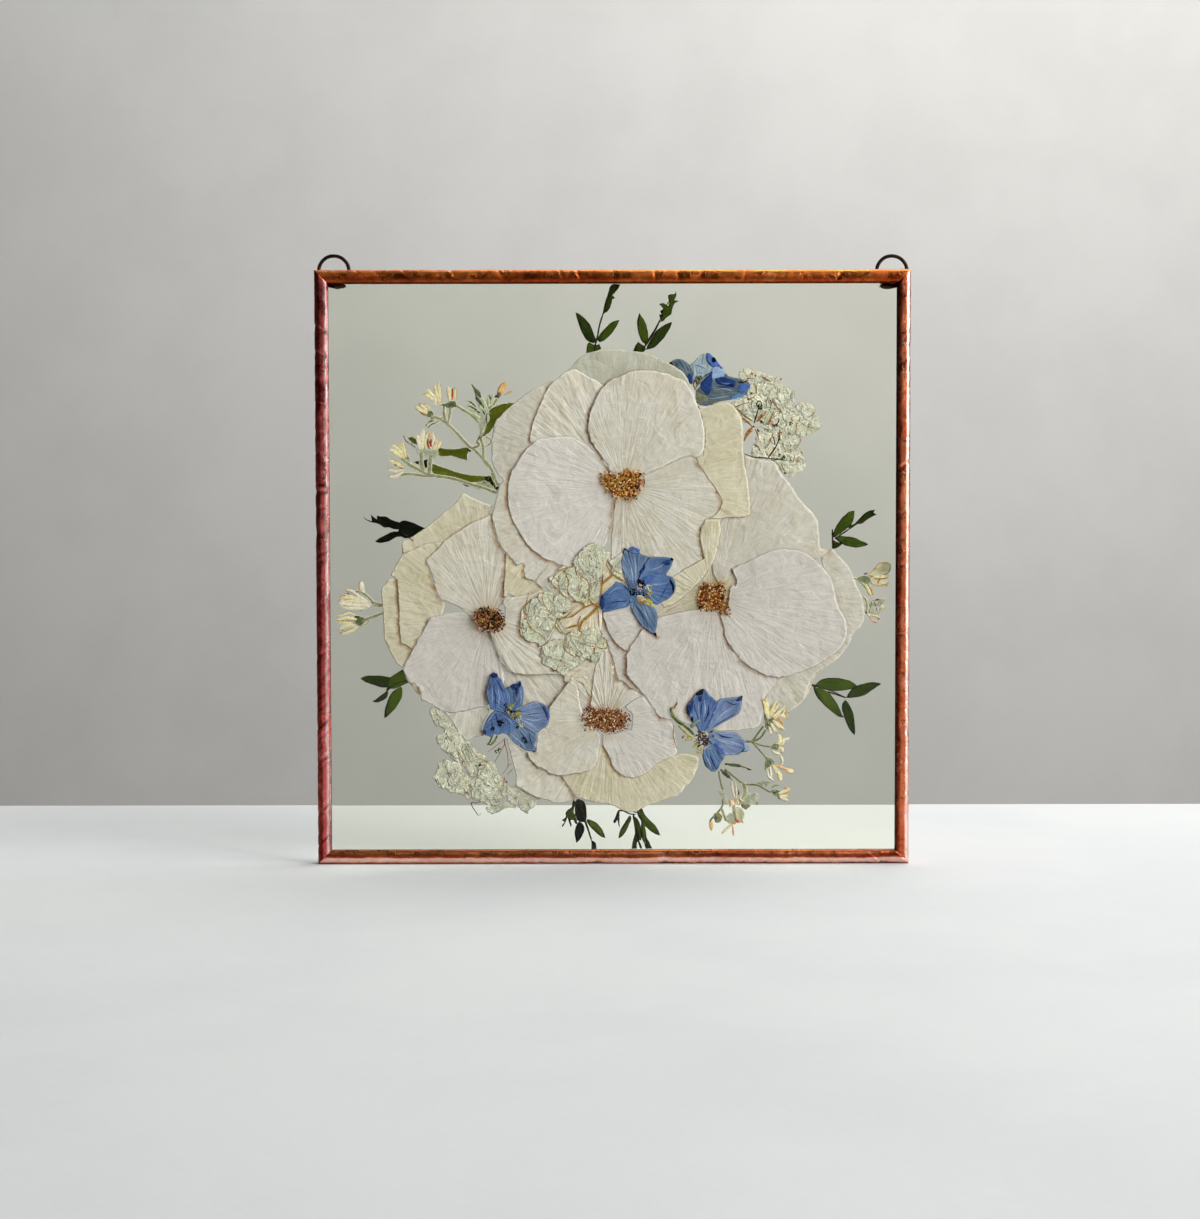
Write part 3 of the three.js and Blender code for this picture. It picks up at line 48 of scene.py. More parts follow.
# ---------------------------------------------------------------- camera and stage
cam_data = bpy.data.cameras.new("camera")
cam = bpy.data.objects.new("camera", cam_data)
bpy.context.scene.collection.objects.link(cam)
cam_data.sensor_fit = 'VERTICAL'
cam_data.sensor_height = 36.0
cam_data.lens = 2000.0 * 36.0 / 1219.0
cam_data.clip_start = 0.01
cam.location = (-0.00474, -0.85796, 0.14341)
cam.rotation_euler = (math.radians(87.718), math.radians(0.097), math.radians(0.049))
bpy.context.scene.camera = cam

# Outlines and lines as [x, z] in millimetres, seen from the front
DELS = {
    "centre": {"sepals":[[[12.77,127.53],[15.79,131.52],[20.22,131.81],[25.22,131.24],[25.93,130.81],[24.78,127.53],[22.77,124.39],[23.06,123.53],
     [19.63,123.82],[15.05,122.96],[11.9,120.97],[9.89,116.97],[10.47,121.54]],[[7.89,116.97],[10.45,114.11],[14.45,111.83],[17.31,110.4],
     [18.74,108.4],[18.87,102.68],[18.14,100.11],[18.71,97.53],[16.43,99.25],[12.71,101.82],[10.43,104.97],[8.43,108.4],[7.44,111.26],[7.02,114.68]],
     [[1.32,121.25],[2.75,120.97],[5.32,119.82],[7.03,118.4],[10.46,116.4],[10.45,113.26],[8.44,112.11],[6.72,110.69],[3.86,109.97],[0.14,108.97],
     [-2.72,108.68],[-4.73,108.68],[-5.57,111.54],[-5.28,115.26],[-2.7,117.25],[-0.4,119.25]],[[8.74,116.97],[10.47,120.97],[14.48,123.53],
     [19.63,124.39],[22.77,123.82],[25.34,123.25],[26.77,120.39],[26.48,117.54],[24.76,114.68],[21.89,112.97],[18.74,111.26],[17.03,112.11],
     [15.6,113.54],[12.74,115.26]],[[4.65,135.66],[6.5,133.8],[8.79,135.23],[11.65,133.23],[15.79,131.52],[13.64,129.53],[12.77,127.24],
     [11.34,124.11],[10.47,120.97],[9.32,116.97],[7.6,115.26],[6.75,118.11],[5.61,120.97],[4.19,126.1],[3.63,129.81],
     [4.36,133.23]]],"tone":["a","g","b","b","g"],"marks":[["m",[[7.07,133.8],[7.08,135.51],[8.8,136.37],[11.36,134.94],[11.65,133.23],
     [9.93,132.95]]],["k",[[4.65,135.66],[5.94,135.23],[7.07,133.8],[6.79,133.23],[5.65,134.09],[4.93,134.94]]],["k",[[24.93,131.38],[26.07,130.89],
     [25.5,130.1],[24.79,130.52]]],["k",[[17.0,99.54],[18.71,99.11],[18.85,97.39],[18.14,97.82]]],["d",[[21.07,129.53],[23.07,130.38],[24.79,130.38],
     [24.21,128.38],[22.21,128.38]]],["d",[[-5.28,115.26],[-4.13,115.54],[-3.57,112.68],[-4.15,109.54],[-5.15,109.54],[-5.57,111.83]]],
     ["k",[[24.2,122.68],[24.77,121.82],[26.2,119.54],[26.19,116.97],[25.47,116.4],[25.48,118.68],[24.34,120.97]]],["d",[[12.78,129.81],
     [13.64,129.24],[13.34,126.1],[11.62,123.53],[11.05,122.11],[11.34,125.53],[12.49,127.53]]],["m",[[12.76,122.11],[16.2,124.11],[19.05,123.53],
     [16.19,122.11],[13.9,120.11]]]],"streaks":[["d",[[8.73,112.4],[11.58,108.4],[16.14,101.25]],0.46],["g",[[10.45,111.26],[14.44,106.11],
     [17.29,100.97]],0.57],["d",[[5.33,124.96],[6.47,120.97],[7.89,117.25]],0.34],["l",[[7.63,128.38],[8.19,124.11],[8.75,119.82]],0.74],
     ["l",[[9.35,131.24],[9.63,126.1],[9.61,120.97]],0.63],["k",[[4.46,119.54],[6.74,117.54]],0.4],["l",[[12.75,118.68],[17.33,119.82],
     [23.05,120.39]],0.51],["d",[[19.6,112.97],[21.9,116.97],[23.91,120.97]],0.4],["l",[[-2.13,115.83],[1.88,118.68],[3.89,118.68]],0.51],
     ["d",[[-1.85,111.83],[1.87,112.68],[7.02,112.97]],0.46],["l",[[16.2,126.1],[19.63,127.24],[21.92,128.95]],0.69],["m",[[14.48,125.53],
     [19.63,124.96],[22.49,124.39]],0.51]],"core":[["k",11.62,121.54,1.71,1.43],["k",8.46,117.25,1.43,1.71],["k",12.76,119.82,1.43,1.14],
     ["k",13.03,115.83,1.71,0.86],["k",10.46,115.83,2.0,0.86],["c",11.32,118.68,1.14,1.71],["y",15.61,116.4,1.14,1.43],["o",12.74,112.97,2.29,1.43],
     ["y",15.03,112.4,2.29,1.14],["y",16.74,111.26,1.14,0.86],["w",15.04,118.4,1.43,1.71]],"fil":[["y",[[9.88,114.68],[12.74,114.4],
     [16.74,113.26]],0.46],["k",[[13.31,114.4],[15.6,114.11]],0.34],["y",[[10.45,113.54],[13.88,111.83],[17.02,110.69]],0.46],["w",[[14.47,119.25],
     [15.61,117.25]],0.63]]},
    "left": {"sepals":[[[-44.36,76.17],[-42.85,77.43],[-41.34,77.68],[-39.82,78.94],[-39.45,77.43],[-38.46,75.17],[-38.48,71.65],[-38.87,68.38],
     [-39.38,66.11],[-41.91,64.1],[-43.91,66.11],[-44.9,69.63],[-45.38,72.65],[-45.87,74.66],[-45.24,75.92]],[[-45.72,55.79],[-44.45,58.56],
     [-42.42,62.09],[-39.41,60.58],[-36.66,58.56],[-32.77,56.3],[-32.91,53.27],[-33.67,51.26],[-33.05,49.24],[-33.31,47.98],[-34.69,48.49],
     [-36.7,48.74],[-38.71,49.49],[-40.47,50.75],[-41.97,51.76],[-43.97,53.78]],[[-43.91,65.11],[-40.89,67.37],[-37.87,68.12],[-35.85,69.13],
     [-33.84,69.89],[-31.83,69.38],[-30.07,68.63],[-28.07,67.12],[-27.2,64.35],[-27.46,61.58],[-28.86,59.07],[-30.88,57.81],[-32.64,56.55],
     [-34.65,56.8],[-36.66,57.55],[-38.92,59.07],[-41.42,60.58],[-43.67,63.09]],[[-49.69,66.36],[-47.17,66.62],[-44.92,64.85],[-42.92,62.34],
     [-40.93,59.57],[-42.95,57.3],[-45.47,55.79],[-47.23,56.3],[-49.5,55.54],[-51.0,56.04],[-51.77,54.53],[-53.52,55.04],[-55.78,55.79],[-55.9,57.3],
     [-55.0,60.58],[-53.73,63.09],[-51.71,65.36]],[[-53.0,80.32],[-52.49,81.7],[-51.11,82.45],[-49.6,81.7],[-49.11,80.32],[-47.86,79.44],
     [-46.87,76.67],[-45.37,74.66],[-44.38,72.65],[-43.89,69.38],[-44.41,66.11],[-46.93,64.85],[-49.69,65.61],[-51.45,66.36],[-52.7,66.62],
     [-53.44,69.63],[-54.3,72.65],[-54.16,75.67],[-53.27,78.43]]],"tone":["a","g","l","b","b"],"marks":[["d",[[-53.0,80.32],[-52.49,81.7],
     [-51.11,82.45],[-49.85,81.95],[-49.48,80.69],[-50.62,79.94],[-51.87,80.32],[-52.76,79.69]]],["k",[[-53.13,79.69],[-52.62,80.82],[-51.62,80.95],
     [-51.87,80.07]]],["d",[[-44.11,76.67],[-42.34,77.43],[-40.33,77.68],[-39.57,78.68],[-39.33,77.18],[-40.34,75.67],[-40.61,73.15],[-41.62,71.65],
     [-41.85,74.66],[-43.36,75.42]]],["k",[[-40.58,77.68],[-39.57,78.81],[-39.71,76.67],[-40.46,76.42]]],["k",[[-49.46,61.58],[-48.2,62.09],
     [-47.21,60.83],[-47.97,59.07],[-49.23,59.32]]],["k",[[-52.62,58.56],[-51.74,59.07],[-50.74,59.07],[-51.25,57.05],[-52.26,56.3],[-52.63,57.05]]],
     ["d",[[-55.9,57.05],[-55.02,58.06],[-54.27,56.55],[-55.03,55.54]]],["k",[[-34.69,48.79],[-33.68,48.74],[-33.19,47.91],[-34.19,48.23]]],
     ["m",[[-30.32,68.63],[-28.07,67.12],[-27.2,64.35],[-27.46,62.09],[-28.09,62.09],[-28.83,65.61]]]],"streaks":[["k",[[-52.5,79.69],[-52.77,77.18],
     [-53.16,74.41]],0.45],["d",[[-51.63,79.19],[-50.9,75.17],[-50.41,71.65],[-50.44,66.62]],0.5],["d",[[-50.37,79.69],[-48.87,77.43],[-47.38,74.91],
     [-46.13,73.66]],0.55],["l",[[-52.02,76.17],[-51.8,71.65],[-52.07,67.62]],0.45],["l",[[-49.26,75.17],[-48.91,71.65],[-49.18,67.12]],0.6],
     ["k",[[-31.58,69.38],[-29.58,66.36],[-28.83,64.6],[-28.09,62.09]],0.43],["d",[[-37.89,64.1],[-34.11,64.6],[-30.09,64.85]],0.3],
     ["l",[[-37.89,62.34],[-34.13,61.58],[-30.35,62.34]],1.0],["k",[[-51.98,61.58],[-51.86,59.57],[-52.0,57.3]],0.35],["l",[[-54.0,60.58],
     [-52.22,63.6],[-49.94,65.61]],0.6],["d",[[-50.45,64.85],[-49.71,62.09],[-48.97,59.57]],0.6],["l",[[-47.44,64.1],[-44.93,62.34],
     [-42.93,60.07]],0.5],["d",[[-40.43,57.81],[-37.93,54.53],[-35.43,51.51]],0.35],["l",[[-43.96,56.04],[-40.96,53.27],[-37.45,50.25]],0.6],
     ["d",[[-35.91,56.8],[-35.43,53.02],[-33.93,49.49]],0.35],["d",[[-42.86,75.17],[-42.37,71.65],[-40.88,68.12]],0.35],["l",[[-39.84,75.17],
     [-39.48,71.65],[-39.88,68.38]],0.65]],"core":[["k",-45.66,68.38,0.88,1.26],["k",-45.42,66.11,1.26,1.51],["k",-42.91,65.61,1.13,0.75],
     ["y",-43.77,67.87,1.26,1.26],["y",-42.92,63.6,1.21,1.26],["y",-40.65,64.1,1.38,1.26],["w",-39.9,62.59,1.13,1.0],["w",-39.41,60.32,1.51,1.51],
     ["k",-40.68,58.56,0.88,0.75],["k",-41.91,62.84,0.75,0.63],["k",-48.46,60.58,1.51,1.51],
     ["k",-37.94,53.27,1.26,1.51]],"fil":[["w",[[-45.67,66.11],[-44.42,64.35]],0.85],["k",[[-43.91,65.61],[-40.39,65.86],[-39.26,65.86]],0.5],
     ["g2",[[-52.02,54.53],[-52.78,52.77],[-53.8,51.26]],0.85],["g2",[[-49.75,55.29],[-50.77,53.02],[-52.54,51.26]],0.9],["k",[[-54.3,51.64],
     [-52.29,51.13]],0.4]]},
    "right": {"sepals":[[[41.86,57.11],[45.14,56.84],[48.42,56.7],[51.97,56.43],[54.16,55.2],[56.07,53.28],[56.89,51.91],[58.26,50.27],[58.39,48.9],
     [57.16,48.08],[54.97,47.8],[53.88,46.98],[50.6,46.71],[47.59,46.71],[44.04,48.63],[41.31,51.09],[39.12,54.1],[39.67,56.02]],[[45.43,70.51],
     [47.88,71.19],[51.71,71.47],[54.44,71.88],[55.53,72.15],[55.26,69.69],[54.85,66.96],[53.89,64.5],[50.61,62.58],[46.78,60.4],[44.05,58.75],
     [41.59,57.39],[39.4,56.02],[38.58,57.39],[41.04,60.67],[42.42,64.5],[43.78,67.78]],[[38.57,48.08],[39.12,51.36],[41.31,53.28],[43.5,52.46],
     [45.14,51.64],[46.77,49.72],[48.14,47.53],[47.73,45.61],[46.22,43.42],[45.13,40.95],[43.76,39.58],[42.12,39.58],[41.02,40.68],[39.38,42.32],
     [38.57,45.06]],[[38.88,75.29],[40.24,74.06],[41.06,72.7],[42.42,71.6],[44.06,69.97],[44.6,68.87],[43.24,66.14],[41.87,62.31],[40.77,59.03],
     [39.13,56.84],[36.67,56.84],[35.31,59.85],[33.94,61.22],[32.58,63.4],[31.62,65.04],[31.63,67.78],[32.59,69.15],[33.96,71.06],[35.32,72.97],
     [36.96,74.61]]],"tone":["l","l","a","b"],"marks":[["k",[[35.32,72.97],[36.96,74.61],[38.74,75.16],[38.87,73.52],[37.51,72.42],[35.6,72.42]]],
     ["m",[[45.15,69.69],[44.74,67.78],[43.51,65.04],[42.14,61.76],[41.04,58.48],[39.68,58.21],[41.32,61.76],[42.96,65.59],[44.06,68.33]]],
     ["d",[[54.44,71.88],[55.53,72.15],[55.31,70.24],[53.35,69.42],[52.53,70.38]]],["k",[[54.71,72.01],[55.59,72.29],[55.48,71.19],[54.85,71.28]]],
     ["l",[[56.07,51.91],[57.16,51.36],[58.26,49.99],[58.26,48.76],[56.89,48.21],[55.8,49.17]]],["m",[[43.5,51.91],[45.13,51.36],[47.05,48.9],
     [47.59,46.98],[45.95,46.98],[44.31,49.17]]],["d",[[31.63,67.78],[32.59,69.15],[34.23,70.51],[34.22,67.23],[33.13,63.95],[32.03,64.5]]],
     ["k",[[33.12,62.31],[34.22,63.4],[34.49,61.76],[33.94,60.67]]],["d",[[36.69,71.88],[38.05,72.42],[38.05,69.97],
     [36.96,69.69]]]],"streaks":[["l",[[36.69,69.97],[36.68,66.14],[36.95,62.31]],0.55],["l",[[39.14,70.51],[39.41,66.14],[38.86,62.86]],0.66],
     ["d",[[38.05,69.42],[37.77,66.14],[37.91,62.86]],0.44],["d",[[41.05,68.33],[40.78,64.5],[39.13,60.67]],0.82],["k",[[54.43,47.86],[55.8,48.63],
     [56.75,49.99]],0.6],["d",[[44.05,56.29],[47.32,54.65],[51.97,54.1]],0.6],["l",[[42.4,54.65],[46.5,52.46],[51.97,50.82]],0.93],
     ["k",[[38.16,47.53],[39.11,44.24],[41.02,40.95]],0.49],["d",[[41.58,46.98],[42.67,44.24],[43.76,40.95]],0.55],["d",[[43.21,43.69],[44.3,40.95],
     [45.13,43.15]],0.44],["l",[[39.66,46.43],[41.03,43.69],[42.12,41.23]],0.66],["d",[[42.41,58.48],[46.78,61.22],[53.34,65.04]],0.44],
     ["l",[[42.41,59.57],[46.24,63.68],[50.61,67.23]],0.82],["d",[[48.43,69.97],[51.16,68.6],[54.16,68.87]],0.55],["k",[[31.63,67.23],[32.03,65.04],
     [33.12,62.58]],0.33]],"core":[["k",37.49,55.2,1.91,1.91],["k",39.67,53.55,1.64,2.18],["k",36.66,51.91,1.36,1.64],["b2",38.03,54.1,2.46,2.46],
     ["b2",38.57,51.91,2.18,1.36],["w",39.13,55.47,1.64,1.64],["w",35.85,55.2,1.36,1.36],["y",36.93,48.9,1.36,1.64],["y",32.56,53.83,1.91,1.09],
     ["y",35.29,51.09,1.09,1.64],["k",42.41,56.98,0.98,0.38],["k",43.09,54.79,0.66,0.49],["k",41.85,51.91,0.82,0.66],
     ["w",40.49,49.99,1.64,0.82]],"fil":[["g2",[[24.66,66.68],[26.02,63.13],[28.75,60.67],[32.57,57.93],[35.3,54.65]],1.2],["k",[[25.07,63.95],
     [27.38,60.94],[30.93,58.75],[34.21,55.47]],0.46],["w",[[25.75,65.04],[28.2,62.31],[31.48,59.3]],0.27],["g3",[[27.93,59.57],[30.93,56.56],
     [34.48,53.83]],0.93],["w",[[29.29,59.85],[32.02,57.11],[34.75,54.38]],0.27],["b3",[[24.66,67.23],[26.03,66.96],[26.85,68.05],
     [27.53,69.69]],0.71],["g1",[[33.39,58.75],[35.31,60.67],[37.22,61.76]],1.64],["b3",[[26.01,59.57],[25.87,55.2],[27.36,49.17]],0.38],
     ["b3",[[29.56,54.1],[30.65,55.2]],0.93]]},
    "top": {"sepals":[[[23.99,214.34],[25.75,215.55],[27.92,216.22],[30.09,215.68],[31.99,214.47],[33.07,212.85],[34.42,210.43],[34.42,206.65],
     [33.74,205.3],[32.52,206.38],[31.44,208.81],[30.08,210.7],[28.19,212.04],[26.02,213.39]],[[32.8,213.66],[35.25,215.55],[37.42,217.7],
     [39.32,218.51],[41.22,218.51],[42.84,217.17],[44.2,215.82],[45.55,213.93],[47.18,212.04],[48.53,209.89],[47.17,208.27],[44.19,207.46],
     [41.74,206.65],[38.49,205.84],[36.32,204.49],[34.69,204.49],[33.88,206.65],[34.15,210.43],[33.07,212.58]],[[35.5,202.88],[37.4,204.49],
     [40.11,205.03],[42.29,206.65],[42.83,208.81],[44.46,209.89],[48.26,210.16],[49.61,208.81],[53.14,208.0],[56.13,206.92],[58.02,206.38],
     [58.84,204.49],[57.75,202.61],[56.39,200.72],[53.14,199.64],[50.42,198.83],[45.54,198.02],[41.73,196.67],[38.48,196.53],[36.31,197.21],
     [35.49,198.56]]],"tone":["t","p","t"],"marks":[["m",[[39.86,218.51],[41.22,218.51],[42.84,217.17],[44.2,215.82],[45.55,213.93],[47.18,212.04],
     [46.36,211.78],[44.74,212.58],[42.84,212.58],[41.21,213.93],[40.4,215.55]]],["k",[[42.3,216.63],[43.65,216.63],[44.2,215.28],[43.11,214.47],
     [42.3,215.28]]],["l",[[42.56,212.31],[44.46,212.85],[46.36,211.78],[48.26,210.16],[47.17,208.27],[44.19,208.0],[42.56,207.73],[42.29,210.43]]],
     ["n",[[37.4,205.57],[39.03,207.73],[40.66,209.08],[42.56,210.7],[42.56,206.65],[42.28,203.95],[41.2,201.26],[40.11,200.72],[38.48,202.88],
     [37.4,203.95]]],["q",[[34.42,206.65],[35.51,208.81],[37.41,209.08],[38.76,208.27],[37.4,205.84],[36.32,204.49],[35.23,202.88],[34.15,205.03]]],
     ["m",[[53.95,205.3],[55.85,205.84],[57.75,205.57],[58.57,203.95],[57.48,202.61],[55.31,202.07],[53.68,202.34]]],["a",[[50.97,200.18],
     [53.68,201.26],[56.67,201.8],[56.12,200.45],[53.14,199.37],[50.42,198.83]]],["q",[[35.5,202.34],[37.94,201.26],[40.11,200.18],[40.65,198.56],
     [38.48,197.48],[36.31,197.21],[35.49,199.1]]],["k",[[23.99,214.34],[25.21,215.01],[26.02,213.66],[25.48,213.66]]],["n",[[31.44,208.81],
     [32.8,210.16],[33.88,209.08],[34.15,206.65],[33.74,205.3],[32.52,206.38]]],["d",[[43.92,207.73],[47.17,208.27],[50.97,207.19],[53.14,205.57],
     [51.51,203.95],[47.17,205.03],[44.19,205.84]]]],"streaks":[["k",[[31.44,208.54],[32.52,206.38],[33.74,205.17]],0.54],["k",[[38.49,208.27],
     [40.12,209.35],[42.29,210.7]],0.49],["k",[[40.13,216.9],[40.4,215.28],[42.57,213.39]],0.38],["k",[[53.68,206.11],[54.77,206.38],
     [56.12,205.84]],0.6],["k",[[56.13,206.11],[58.02,207.46]],0.54],["q",[[38.48,198.02],[42.82,198.29],[48.25,199.64]],0.54],["d",[[36.3,196.67],
     [41.73,196.53],[47.16,197.48]],0.49],["k",[[35.63,198.02],[36.31,197.34]],0.92],["k",[[27.38,214.2],[27.65,212.85]],0.6],["l",[[35.24,213.66],
     [37.95,213.12],[40.67,211.51]],0.81],["l",[[36.32,210.43],[39.04,210.16]],0.65],["d",[[44.46,204.49],[47.71,204.22],[51.51,204.49]],0.54],
     ["q",[[41.74,201.26],[45.54,201.8],[49.88,202.88]],0.54],["l",[[43.91,202.88],[47.71,203.41],[51.51,202.34]],0.49],["l",[[41.19,199.1],
     [45.54,199.64],[49.88,200.45]],0.49],["a",[[46.09,206.11],[48.26,205.57],[50.43,205.84]],0.7]],"core":[["k",36.86,208.27,1.36,0.81],
     ["w",35.23,205.03,0.81,1.08],["k",35.78,206.65,0.81,0.81],["k",51.24,205.03,0.65,0.81]],"fil":[]},
}
